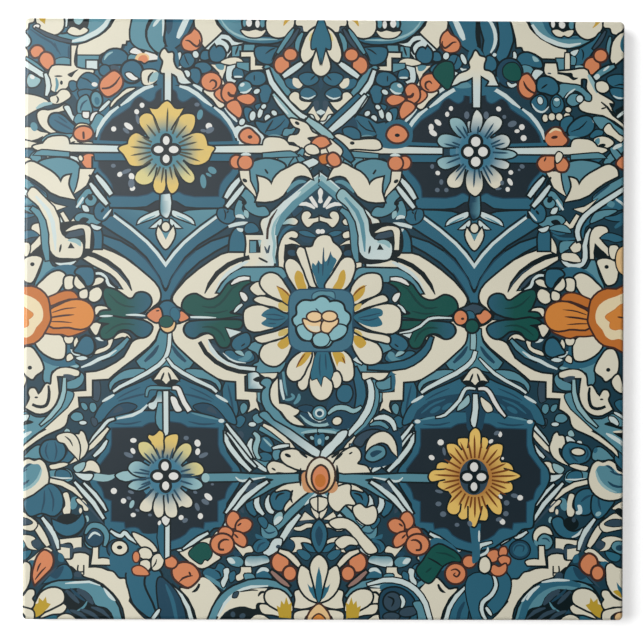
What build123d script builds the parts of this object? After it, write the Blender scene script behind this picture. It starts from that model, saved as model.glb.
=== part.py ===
"""Square glazed wall tile: cushioned face edge, sides that lean in below a straight land, and a keyed back."""

import os
from math import floor, radians, tan

from build123d import *

# Driving dimensions, in millimetres and degrees
tile_side = 152.4  # width and height of the face
tile_thickness = 6.4  # from the foot of the back ribs to the face
corner_radius = 1.3  # rounding of the four corners, seen from above
cushion_radius = 1.0  # rounding of the face's rim
land_height = 2.4  # straight part of each side, from the face down
side_draft = 2.0  # lean of each side below the land, towards the back
back_arris = 0.4  # rounding of the foot of the sides
key_pitch = 20.0  # spacing of the pockets that key the back to its mortar
key_rib = 2.6  # rib left between two pockets
key_depth = 0.8  # depth of each pocket
key_draft = 12.0  # lean of the pocket walls, which lets the die release
key_corner_radius = 1.5  # rounding of each pocket's corners
key_margin = 4.0  # least plain border round the field of pockets

# Sizes that follow from them
leaning_height = tile_thickness - land_height
back_side = tile_side - 2 * (leaning_height * tan(radians(side_draft)) + back_arris)
pocket_side = key_pitch - key_rib
pockets_per_row = floor((back_side - 2 * key_margin + key_rib) / key_pitch)

with BuildPart() as tile:
    # The plan at the foot of the land carries both halves of the body
    with BuildSketch(Plane.XY.offset(leaning_height)) as plan:
        RectangleRounded(tile_side, tile_side, corner_radius)
    extrude(plan.sketch, amount=land_height)
    extrude(plan.sketch, amount=-leaning_height, taper=side_draft)

    # Cushioned rim of the face, and the softer arris round the back
    fillet(tile.faces().sort_by(Axis.Z)[-1].edges(), radius=cushion_radius)
    fillet(tile.faces().sort_by(Axis.Z)[0].edges(), radius=back_arris)

    # Keyed back: a waffle of shallow pockets between ribs
    with BuildSketch(Plane.XY) as pockets:
        with GridLocations(key_pitch, key_pitch, pockets_per_row, pockets_per_row):
            RectangleRounded(pocket_side, pocket_side, key_corner_radius)
    extrude(pockets.sketch, amount=key_depth, taper=key_draft, mode=Mode.SUBTRACT)

tile.part.label = "tile"

os.makedirs("parts", exist_ok=True)
export_step(tile.part, "parts/tile.step")
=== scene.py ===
"""Decorative wall tile, lying face up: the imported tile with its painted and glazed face."""

from math import radians

import bpy
import numpy as np
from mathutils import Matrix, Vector
from mathutils.geometry import delaunay_2d_cdt


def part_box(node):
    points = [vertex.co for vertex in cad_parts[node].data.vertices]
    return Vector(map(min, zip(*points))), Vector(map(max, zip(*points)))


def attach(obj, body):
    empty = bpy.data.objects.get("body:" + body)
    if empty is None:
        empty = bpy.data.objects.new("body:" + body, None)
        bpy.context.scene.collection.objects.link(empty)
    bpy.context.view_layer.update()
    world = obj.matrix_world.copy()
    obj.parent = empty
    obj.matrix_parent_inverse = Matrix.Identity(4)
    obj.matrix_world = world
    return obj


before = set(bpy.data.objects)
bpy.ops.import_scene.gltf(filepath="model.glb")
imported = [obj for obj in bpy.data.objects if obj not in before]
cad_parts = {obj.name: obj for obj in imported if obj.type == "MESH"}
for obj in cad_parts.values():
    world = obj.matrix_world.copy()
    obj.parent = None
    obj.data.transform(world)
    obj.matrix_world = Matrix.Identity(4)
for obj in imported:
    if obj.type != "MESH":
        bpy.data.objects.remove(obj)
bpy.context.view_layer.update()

# The tile's own sizes, in metres; the rim sizes are those of the solid
tile_low, tile_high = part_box("tile")
TILE_SIDE = tile_high[0] - tile_low[0]
FACE_HEIGHT = tile_high[2]
CORNER_RADIUS = 0.0013
CUSHION_RADIUS = 0.001
GLAZE_LIFT = 0.00002
GLAZE_SINK = 0.00004

# The painting is drawn in face units, 600 to the tile's side, from the middle of the face.
# A point is a complex number, x + y j, with y towards the top of the pattern.
FACE_UNITS = 600
UNIT = TILE_SIDE / FACE_UNITS
EDGE = FACE_UNITS / 2
MIDLINE = -4.5  # the pattern mirrors about this x
K = None  # after a point in an outline, leaves that point a corner

OUTLINE = 2.0  # usual width of the dark line round a painted shape
TURN_STEP = radians(16)  # a curve gets a new point each time it has turned by this much


def glaze(red, green, blue):
    """A glaze colour written as it looks, 0 to 255, turned to linear light."""
    srgb = np.array([red, green, blue]) / 255
    return np.where(srgb <= 0.04045, srgb / 12.92, ((srgb + 0.055) / 1.055) ** 2.4)


INK = glaze(6, 25, 29)
GROUND = glaze(26, 62, 77)
FIELD = glaze(26, 41, 50)
SLATE = glaze(50, 73, 88)
NAVY = glaze(28, 69, 90)
BLUE = glaze(44, 101, 123)
SKY = glaze(88, 141, 155)
MIST = glaze(146, 184, 188)
ICE = glaze(204, 219, 217)
CREAM = glaze(224, 219, 198)
WHITE = glaze(226, 226, 220)
TEAL = glaze(42, 105, 126)
GREEN = glaze(13, 81, 73)
MOSS = glaze(8, 60, 57)
CORAL = glaze(216, 135, 92)
RUST = glaze(66, 40, 34)
ORANGE = glaze(216, 136, 60)
AMBER = glaze(196, 114, 48)
GOLD = glaze(199, 160, 58)
YELLOW = glaze(222, 190, 102)
BUTTER = glaze(233, 216, 176)
PEACH = glaze(230, 192, 138)
UMBER = glaze(60, 42, 34)


def trace(points, closed):
    """Samples a smooth curve through the points, with a corner at each point that K follows."""
    knots, corners = [], []
    for point in points:
        if point is K:
            corners[-1] = True
        else:
            knots.append(complex(point))
            corners.append(False)
    count = len(knots)
    if not closed:
        corners[0] = corners[-1] = True
    spans = count if closed else count - 1
    chords = [knots[(i + 1) % count] - knots[i] for i in range(spans)]

    def slope(i):
        before, after = chords[i - 1], chords[i % spans]
        a, b = abs(before), abs(after)
        return (before / a * b + after / b * a) / (a + b)

    samples = []
    for i, chord in enumerate(chords):
        j = (i + 1) % count
        length = abs(chord)
        start = None if corners[i] else slope(i)
        end = None if corners[j] else slope(j)
        if start is None and end is None:
            start = end = chord / length
        elif start is None:
            start = 1.5 * chord / length - 0.5 * end
        elif end is None:
            end = 1.5 * chord / length - 0.5 * start
        turn = abs(np.angle(chord / start)) + abs(np.angle(end / chord))
        steps = int(min(max(np.ceil(turn / TURN_STEP), 1), 10, max(length / 0.8, 1)))
        t = np.arange(steps) / steps
        blend = t * t * (3 - 2 * t)
        samples.append(
            knots[i] * (1 - blend)
            + knots[j] * blend
            + length * (start * (t - 2 * t**2 + t**3) + end * (t**3 - t**2))
        )
    if not closed:
        samples.append([knots[-1]])
    return np.concatenate(samples)


def left_normals(path, closed):
    """At each point of a path, the leftward direction, lengthened at bends so that an offset keeps its width."""
    steps = np.diff(path, append=path[:1]) if closed else np.diff(path)
    steps = steps / np.maximum(abs(steps), 1e-9)
    if closed:
        before, after = np.roll(steps, 1), steps
    else:
        before, after = np.append(steps[:1], steps), np.append(steps, steps[-1:])
    middle = before + after
    middle = np.where(abs(middle) > 0.2, middle, after)
    middle = middle / abs(middle)
    stretch = 1 / np.clip((middle * np.conj(after)).real, 0.6, 1)
    return 1j * middle * stretch


class Ribbon:
    """A painted band between two edges that run side by side."""

    def __init__(self, left, right, closed, paint):
        self.left, self.right, self.closed, self.paint = left, right, closed, paint

    def moved(self, place):
        return Ribbon(place(self.left), place(self.right), self.closed, moved_paint(self.paint, place))

    def loops(self):
        if self.closed:
            return [self.left, self.right]
        return [np.concatenate([self.left, self.right[::-1]])]

    def covers(self, points):
        left, right = self.left, self.right
        if self.closed:
            left, right = np.append(left, left[0]), np.append(right, right[0])
        inside = np.zeros(len(points), bool)
        for a, b, c in ((left[:-1], right[:-1], right[1:]), (left[:-1], right[1:], left[1:])):
            sides = []
            for p, q in ((a, b), (b, c), (c, a)):
                sides.append((np.conj(q - p) * (points[:, None] - p)).imag >= 0)
            inside |= ((sides[0] == sides[1]) & (sides[1] == sides[2])).any(axis=1)
        return inside


class Patch:
    """A painted area inside one outline."""

    def __init__(self, outline, paint):
        self.outline, self.paint = outline, paint

    def moved(self, place):
        return Patch(place(self.outline), moved_paint(self.paint, place))

    def loops(self):
        return [self.outline]

    def covers(self, points):
        a, b = self.outline, np.roll(self.outline, -1)
        x, y = points.real[:, None], points.imag[:, None]
        crosses = (a.imag > y) != (b.imag > y)
        with np.errstate(divide="ignore", invalid="ignore"):
            at = a.real + (y - a.imag) * (b.real - a.real) / (b.imag - a.imag)
        return (crosses & (x < at)).sum(axis=1) % 2 == 1


class Fade:
    """A paint that runs from one colour to another between two points."""

    def __init__(self, first, last, start, end):
        self.first, self.last, self.start, self.end = first, last, start, end

    def moved(self, place):
        return Fade(self.first, self.last, place(self.start), place(self.end))

    def at(self, points):
        run = self.end - self.start
        t = np.clip((np.conj(run) * (points - self.start)).real / abs(run) ** 2, 0, 1)[..., None]
        return self.first * (1 - t) + self.last * t


class Halo:
    """A paint that runs from one colour to another with the distance from a centre."""

    def __init__(self, first, last, centre, near, far):
        self.first, self.last, self.centre, self.near, self.far = first, last, centre, near, far

    def moved(self, place):
        return Halo(self.first, self.last, place(self.centre), self.near, self.far)

    def at(self, points):
        t = np.clip((abs(points - self.centre) - self.near) / (self.far - self.near), 0, 1)[..., None]
        return self.first * (1 - t) + self.last * t


def moved_paint(paint, place):
    return paint if isinstance(paint, np.ndarray) else paint.moved(place)


def outlined(outline, paint, rim, rim_paint):
    """An area and the dark line round it."""
    shapes = [Patch(outline, paint)]
    if rim:
        area = (np.conj(outline) * np.roll(outline, -1)).imag.sum()
        outward = left_normals(outline, True) * (-rim if area > 0 else rim)
        shapes.insert(0, Ribbon(outline, outline + outward, True, rim_paint))
    return shapes


def patch(paint, points, rim=OUTLINE, rim_paint=INK):
    """A smooth-edged area with a dark line round it."""
    return outlined(trace(points, True), paint, rim, rim_paint)


def spot(paint, centre, width, height=None, turn=0, rim=OUTLINE, rim_paint=INK):
    """An oval of the given half sizes."""
    height = height or width
    count = int(np.clip(6 + 1.6 * (width + height), 10, 26))
    angles = np.arange(count) * 2 * np.pi / count
    oval = centre + (width * np.cos(angles) + 1j * height * np.sin(angles)) * np.exp(1j * radians(turn))
    return outlined(oval, paint, rim, rim_paint)


def petal(paint, base, end, width, rim=OUTLINE, rim_paint=INK, fullness=1.0):
    """A drop, pointed at its base and round at its end; width is across its widest part."""
    angles = np.arange(18) * 2 * np.pi / 18
    along = (1 - np.cos(angles)) / 2
    across = np.sin(angles) * np.sin(angles / 2) ** fullness * 0.62 * width
    return outlined(base + (end - base) * (along + 1j * across / abs(end - base)), paint, rim, rim_paint)


def stroke(paint, points, width, tips=(0.35, 0.35), rim=0, rim_paint=INK):
    """A brush stroke along a path; tips are the shares of its width left at its two ends."""
    path = trace(points, False)
    if len(path) < 4:
        path = np.interp(np.linspace(0, len(path) - 1, 6), np.arange(len(path)), path)
    run = np.append(0, np.cumsum(abs(np.diff(path))))
    run = run / run[-1]
    swell = np.minimum(1, 4 * run * (1 - run)) ** 0.7
    tip = tips[0] + (tips[1] - tips[0]) * run
    half = width / 2 * (tip + (1 - tip) * swell)
    normals = left_normals(path, False)
    shapes = [Ribbon(path + normals * half, path - normals * half, False, paint)]
    if rim:
        reach = (path[-1] - path[-2]) / abs(path[-1] - path[-2]) * rim
        back = (path[0] - path[1]) / abs(path[0] - path[1]) * rim
        longer = np.concatenate([[path[0] + back], path[1:-1], [path[-1] + reach]])
        wide = normals * (half + rim)
        shapes.insert(0, Ribbon(longer + wide, longer - wide, False, rim_paint))
    return shapes


def mirrored(points):
    """The same points on the other side of the pattern's midline."""
    return 2 * MIDLINE - np.conj(points)


def both_sides(*groups):
    """Shapes as drawn, and again mirrored about the midline."""
    shapes = [shape for group in groups for shape in group]
    return shapes + [shape.moved(mirrored) for shape in shapes]


def mirror_in(axis):
    """Mirrors points about an upright line."""
    return lambda points: 2 * axis - np.conj(points)


def whole(half, axis=MIDLINE):
    """Half an outline, from the axis round to the axis again, with its mirror image added."""
    pairs = []
    for point in half:
        if point is K:
            pairs[-1][1] = True
        else:
            pairs.append([complex(point), False])
    mirror = mirror_in(axis)
    other = [[mirror(point), corner] for point, corner in reversed(pairs) if abs(point.real - axis) > 0.01]
    return [entry for point, corner in pairs + other for entry in ((point, K) if corner else (point,))]


AXIS = -158.5  # upright axis of the left pair of medallions


def across(shapes, axis):
    """Shapes, and again mirrored about an upright axis."""
    return shapes + [shape.moved(mirror_in(axis)) for shape in shapes]


def group(*parts):
    return [shape for part in parts for shape in part]


def upper_medallion(panel, stem):
    """Domed charcoal field in a blue border, with the V of bands under it; panel is the paint inside the V."""
    return group(
        patch(BLUE, whole([AXIS + 234j, -150 + 233j, -140 + 231j, -130 + 226j, -119 + 217j, -107 + 207j, -98 + 197j,
                           -92 + 187j, -89 + 176j, K, AXIS + 176j], AXIS)),
        patch(FIELD, whole([AXIS + 216j, -153 + 217j, K, -153 + 229j, K, -149 + 226j, -147 + 219j, -142 + 216j, -137 + 218j,
                            -132 + 221j, -127 + 218j, -123 + 211j, -116 + 206j, -105 + 199j, -98 + 191j, -94 + 184j,
                            -92 + 175j, K, AXIS + 175j], AXIS), 1.2, NAVY),
        patch(BLUE, whole([AXIS + 121j, -152 + 125j, -146 + 127j, -100 + 160j, K, -86 + 160j, K, -86 + 147j, K, -91 + 140j,
                           -97 + 131j, -100 + 121j, -100 + 111.5j, K, -128 + 111.5j, -139 + 112.5j, -148 + 118j], AXIS)),
        patch(FIELD, whole([AXIS + 160j, -92 + 160j, K, -92 + 151j, -99 + 143j, -105 + 134j, -106.5 + 123j, K, -130 + 122.5j,
                            -140 + 124.5j, -147 + 127.5j, -152 + 125j, AXIS + 120j], AXIS), 1.2, NAVY),
        patch(FIELD, whole([AXIS + 122j, -151 + 118.5j, -141 + 111.5j, -120 + 110.3j, K, -138 + 108.5j, -150 + 103j,
                            AXIS + 100j], AXIS), 0),
        patch(Fade(panel, BLUE, -130 + 108j, -158 + 66j),
              whole([AXIS + 56j, -150 + 66j, -140 + 77j, -124 + 90.5j, -106 + 103.5j, K, -106 + 109.5j, K, -122 + 109j,
                     -136 + 108j, -146 + 105j, AXIS + 101j], AXIS)),
        patch(BLUE, whole([AXIS + 53j, -148 + 66j, -138 + 76j, -122 + 89j, -105 + 102j, K, -96 + 98j, -95 + 94.5j, K,
                           -108 + 86j, -126 + 75j, -140 + 62j, -150 + 47j, AXIS + 31j], AXIS)),
        patch(BLUE, whole([AXIS + 27j, -151 + 42j, -141 + 56j, -128 + 68j, -113 + 77j, -96 + 82.5j, K, -96 + 75.5j, K,
                           -110 + 68j, -125 + 58j, -138 + 46j, -150 + 30j, AXIS + 12j], AXIS)),
        stroke(INK, whole([-107 + 106j, -125 + 92.8j, -141 + 79.2j, -151.5 + 68.4j, AXIS + 57.6j, K], AXIS), 2.0, (0.8, 0.8)),
        stroke(ICE, whole([-106.5 + 103j, -124 + 90j, -140 + 76.5j, -150 + 65.5j, AXIS + 54j, K], AXIS), 3.2, (0.8, 0.8)),
        across(group(
            stroke(NAVY, [-156 + 34j, -149 + 46j, -138 + 60j, -128 + 69j], 1.6),
            stroke(NAVY, [-154 + 22j, -147 + 34j, -137 + 48j], 1.4),
            patch(ICE, [-152 + 108j, -147 + 107j, -139 + 103.5j, -131 + 97.5j, -130 + 94.5j, K, -139 + 98j, -147 + 101j,
                        -152 + 104j], 1.6),
            stroke(SKY, [-148 + 103j, -141 + 100j, -133 + 96j], 1.6),
            patch(ICE, [-154 + 99.5j, -149 + 96j, -143 + 91j, K, -149 + 91.5j, -154 + 95.5j], 1.6),
            stroke(ICE, [-145.5 + 232.5j, -137 + 230j, -128 + 224.5j, -120 + 217.7j, -113 + 212.5j], 4.2, (0.6, 0.4)),
            stroke(ICE, [-111 + 211.5j, -103 + 205.5j, -96.5 + 198j, -91 + 189j, -89 + 181j], 4, (0.5, 0.3)),
        ), AXIS),
        patch(CREAM, whole([AXIS + 70j, -153 + 76j, -149.5 + 85j, -151 + 92j, K, -154.5 + 87j, AXIS + 79j, K], AXIS), 1.8),
        patch(SKY, whole([AXIS + 80j, -155 + 86.5j, -153.5 + 90j, K, AXIS + 90j], AXIS), 0),
        spot(CREAM, AXIS + 92j, 3.8, 4.4, 0, 1.6),
        patch(Fade(SKY, stem, AXIS - 5, AXIS), [AXIS - 5 + 124j, K, AXIS + 4 + 125j, K, AXIS + 4.5 + 108j, AXIS + 1 + 101j,
                                               AXIS - 4 + 104j, AXIS - 5.5 + 112j], 1.8),
    )


# Arms that carry each upper medallion's middle out to the knots
upper_arms = across(group(
    patch(BLUE, [-126 + 176.5j, K, -86 + 178j, K, -86 + 173j, K, -126 + 172.5j, K], 0),
    patch(BLUE, [-126 + 165.5j, K, -87 + 165.5j, K, -88 + 158j, K, -126 + 158j, K], 1.4),
    patch(Fade(ICE, CREAM, -100 + 170j, -55 + 170j),
          [-126 + 172j, K, -62 + 173.5j, K, -60 + 180j, -50 + 181.5j, -41 + 179.5j, -36 + 174j, K, -26 + 170.5j,
           -31 + 167.8j, -45 + 168.3j, -60 + 166.5j, -126 + 166.5j, K], 1.8),
    patch(SKY, [-62 + 165.5j, K, -46 + 167j, -30 + 166j, -27 + 163j, K, -45 + 162.3j, -62 + 161.5j, K], 1.4),
), AXIS)


def marks(paint, rows, rim=0):
    """Small ovals: centre, half width, half height and turn of each."""
    return group(*(spot(paint, centre, width, height, turn, rim) for centre, width, height, turn in rows))


def rosette(centre, base, fade, heart, plate, petals, streak, streaks, beads):
    """A round flower: petals that fade out from their heart, streaks, and four beads in a dark middle."""
    shapes = spot(base, centre, 26, 26, 0, 0)
    for tip, points in petals:
        shapes += patch(Halo(base, tip, centre, *fade), points, 1.8)
    shapes += spot(Halo(base, petals[0][0], centre, *fade), centre, heart, heart, 0, 0)
    for angle, start, end in streaks:
        ray = np.exp(1j * radians(angle))
        shapes += stroke(streak, [centre + start * ray, centre + end * ray], 2.0, (0.9, 0.1))
    shapes += spot(plate, centre - 1 + 0j, 14.5, 18, 0, 0) + spot(INK, centre, 7, 7, 0, 0)
    for place, width, height in beads:
        shapes += spot(INK, centre + place, width + 3, height + 3, 0, 0)
    for place, width, height in beads:
        shapes += spot(WHITE, centre + place, width, height, 0, 0)
    return shapes


LAGOON = glaze(78, 134, 148)  # base of the blue and yellow petals
DEEP_LAGOON = glaze(64, 122, 146)
STRAW = glaze(224, 194, 110)
PALE_STRAW = glaze(218, 206, 140)
HONEY = glaze(230, 192, 104)
TAN = glaze(180, 124, 60)
FROST = glaze(214, 220, 212)
PALE_BLUE = glaze(150, 188, 192)
OLIVE = glaze(70, 70, 52)
BARK = glaze(120, 66, 24)
DUSK = glaze(92, 108, 122)  # faint blue-grey marks on the charcoal fields

upper_left_rosette = group(
    rosette(
        AXIS + 169j, LAGOON, (18, 34), 20, LAGOON,
        [(STRAW, [-165 + 185j, -171 + 202j, -175 + 210j, K, -167 + 209.5j, -163 + 214j, -157.5 + 217j, -153.5 + 214j,
                  -150.5 + 210j, -141.5 + 210j, K, -144.5 + 205j, -147 + 200j, -151.5 + 185j]),
         (STRAW, [-153 + 180j, -147 + 198j, -143 + 203j, -136 + 204.5j, -131 + 203j, -130 + 197j, -132 + 190j, -136 + 184j,
                  -147 + 176j]),
         (STRAW, [-148.5 + 175j, -136.5 + 183j, -128.5 + 185.5j, -121.5 + 184j, -118.5 + 178j, -117.5 + 173j, K,
                  -110.5 + 170.5j, -113.5 + 166j, -116.5 + 159j, -122.5 + 155j, -130.5 + 154j, -142.5 + 161j]),
         (STRAW, [-168.5 + 175j, -180.5 + 181j, -188.5 + 185j, -194.5 + 181j, -196.5 + 174j, K, -205.5 + 169.5j,
                  -200.5 + 164j, -197.5 + 159j, -194.5 + 154j, -186.5 + 152.5j, -172.5 + 160j]),
         (STRAW, [-164 + 180j, -168 + 192j, -170.5 + 199j, -174 + 204j, -180 + 204.5j, -185 + 200j, -184.5 + 194j,
                  -181 + 189j, -170 + 178j]),
         (PALE_STRAW, [-166 + 158j, -178 + 151.5j, -187 + 146j, -189 + 139j, -185 + 135j, -177 + 134.5j, -171.5 + 138j,
                       -169 + 146j, -165 + 155j]),
         (STRAW, [-163.5 + 154j, -168.5 + 142j, -171 + 133j, -168.5 + 127j, -163.5 + 125.5j, -160 + 129j,
                  -159.5 + 139j, -160.5 + 153j]),
         (STRAW, [-155.5 + 154j, -157.5 + 141j, -156.5 + 131j, -152.5 + 125.5j, -148.5 + 128j, -146 + 135j,
                  -149.5 + 144j, -153.5 + 154j]),
         (PALE_STRAW, [-151 + 157j, -148 + 150j, -144 + 143j, -139 + 137.5j, -134 + 136j, -130.5 + 139j, -131 + 144j,
                       -136 + 150.5j, -146 + 159j])],
        OLIVE, [(88, 16, 42), (50, 14, 32), (68, 13, 37), (112, 13, 36), (128, 14, 32), (27, 14, 30), (14, 14, 32),
                (0, 14, 38), (-10, 14, 27), (-19, 14, 36), (153, 14, 27), (164, 14, 31), (176, 14, 36), (190, 14, 36),
                (202, 14, 30), (215, 13, 30), (236, 14, 33), (251, 14, 29), (262, 14, 34), (282, 14, 31), (296, 13, 31),
                (-47, 14, 36)],
        [(9j, 3.3, 4.4), (-9.3j, 3.4, 4.2), (-7.5 + 0j, 4.8, 3.6), (7.5 + 0j, 4.8, 3.6)]),
    marks(WHITE, [(-182.7 + 213j, 2.4, 2.6, 0), (-188 + 206.5j, 2.4, 2.6, 30), (-196 + 192j, 5.2, 2.6, -36),
                  (-210.8 + 189.2j, 2.6, 2.6, 0), (-204.5 + 144j, 2.8, 2.4, 40), (-192.8 + 142j, 2.8, 3.4, 20),
                  (-191.8 + 130j, 2.8, 2.4, 30), (-116 + 192.5j, 3.2, 3.4, 40)]),
    marks(DUSK, [(-187 + 199j, 1.8, 5.0, 12), (-198.5 + 187.5j, 4.0, 1.8, -40), (-198 + 147j, 5.0, 2.0, 22),
                 (-193 + 135j, 3.2, 4.6, 0), (-211 + 152.5j, 2.4, 2.0, 0), (-115 + 188.5j, 4.6, 2.8, 30),
                 (-121.5 + 188j, 3.0, 1.6, -10), (-128 + 214j, 2.6, 2.0, 0)]),
    marks(SKY, [(-125 + 204j, 2.8, 5.2, -14), (-121.4 + 137.5j, 3.0, 7.0, 6), (-112.5 + 148.5j, 4.6, 3.2, -32),
                (-116 + 144j, 3.2, 1.4, -30)]),
)

upper_right_rosette = group(
    rosette(
        150.5 + 168.5j, DEEP_LAGOON, (18, 36), 20, DEEP_LAGOON,
        [(FROST, [144.5 + 188j, 142.5 + 194j, 143 + 198.5j, 146 + 198.5j, 148 + 192j, 148 + 188j]),
         (FROST, [147 + 188j, 147 + 200j, 149 + 207j, 151.5 + 210j, 154 + 208j, 157 + 202j, 156 + 194j, 154 + 188j]),
         (PALE_BLUE, [140 + 182j, 128 + 190j, 125 + 196j, 125 + 200.5j, 129 + 202j, 136 + 200j, 139.5 + 196j, 142 + 188j]),
         (FROST, [155 + 184j, 158 + 194j, 162 + 201j, 167 + 204j, 173 + 203j, 176.5 + 199j, 174 + 192j, 168 + 187j,
                  160 + 181j]),
         (PALE_BLUE, [137 + 176j, 125 + 173j, 116 + 174j, 112.5 + 179j, 115 + 184j, 121 + 185.5j, 128 + 184j, 138 + 178j]),
         (FROST, [160 + 178j, 168 + 182j, 176 + 185.5j, 182 + 184j, 184.5 + 179j, 182 + 174j, 175 + 172j, 163 + 172j]),
         (PALE_BLUE, [163 + 170j, 178 + 170j, 188 + 168.5j, 191 + 166j, 187 + 163j, 175 + 162j, 163 + 163j]),
         (FROST, [162 + 161j, 172 + 160.5j, 180 + 159j, 184 + 156j, 182 + 152j, 176 + 152j, 168 + 155j, 162 + 159j]),
         (PALE_BLUE, [137 + 163j, 126 + 163j, 117 + 162j, 112.5 + 159j, 114 + 154j, 120 + 151j, 127 + 153j, 137 + 160j]),
         (CREAM, [141 + 160j, 133 + 152j, 125 + 145j, 122 + 139j, 124 + 134j, 130 + 132.5j, 135 + 134j, 137.5 + 139j,
                  139 + 148j]),
         (CREAM, [156 + 156j, 158 + 146j, 162 + 139j, 166 + 134j, 170 + 132j, 175 + 135j, 177 + 142j, 173 + 148j,
                  165 + 154j]),
         (CREAM, [146 + 152j, 142 + 146j, 141 + 138j, 143 + 130j, 147 + 126j, 150 + 124.5j, 154 + 127j, 157 + 132j,
                  157.5 + 138j, 156 + 146j, 153 + 152j])],
        NAVY, [(84, 18, 26), (128, 16, 33), (117, 16, 29), (58, 17, 34), (50, 17, 28), (166, 17, 33), (158, 17, 26),
               (17, 17, 31), (26, 17, 28), (-2, 17, 33), (202, 17, 32), (190, 17, 25), (226, 17, 29), (235, 17, 36),
               (267, 17, 36), (280, 17, 28), (296, 17, 36), (306, 17, 30)],
        [(10j, 4.7, 4.9), (-10j, 4.7, 4.9), (-7.2 + 0j, 4.9, 4.9), (7.2 + 0j, 4.8, 4.8)]),
    marks(WHITE, [(125.6 + 211.6j, 2.1, 2.4, 0), (121.8 + 205.8j, 2.1, 2.6, 0), (112.6 + 197.5j, 2.4, 4.0, 50),
                  (107.8 + 187j, 4.4, 2.6, -34), (105.8 + 192.5j, 2.6, 3.6, 0), (173.3 + 211.4j, 2.6, 2.4, -30),
                  (196.6 + 193.4j, 2.8, 2.9, 0), (191.8 + 189.3j, 2.6, 1.9, 10), (198.4 + 182.4j, 3.0, 3.0, 0),
                  (112.6 + 147j, 2.4, 2.2, -30), (185.7 + 148j, 2.4, 2.3, 0), (185 + 138.5j, 2.2, 4.0, 30),
                  (182.6 + 131j, 2.2, 2.4, 0)]),
    marks(DUSK, [(141.4 + 205j, 2.6, 3.8, 0), (160.8 + 205j, 2.6, 3.8, 0), (179 + 203.5j, 2.0, 2.0, 0),
                 (187 + 196.5j, 4.6, 3.0, 20), (107 + 153.5j, 2.0, 2.4, 0), (116.2 + 138j, 2.0, 2.8, 0),
                 (112.2 + 130j, 2.4, 2.2, 0), (121.3 + 130j, 2.2, 2.2, 0), (197 + 154j, 2.6, 2.2, -20),
                 (194 + 150.5j, 1.4, 1.2, 0), (177 + 137.5j, 2.0, 2.4, 0), (173.5 + 131.5j, 3.2, 1.2, 10)]),
)

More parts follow.
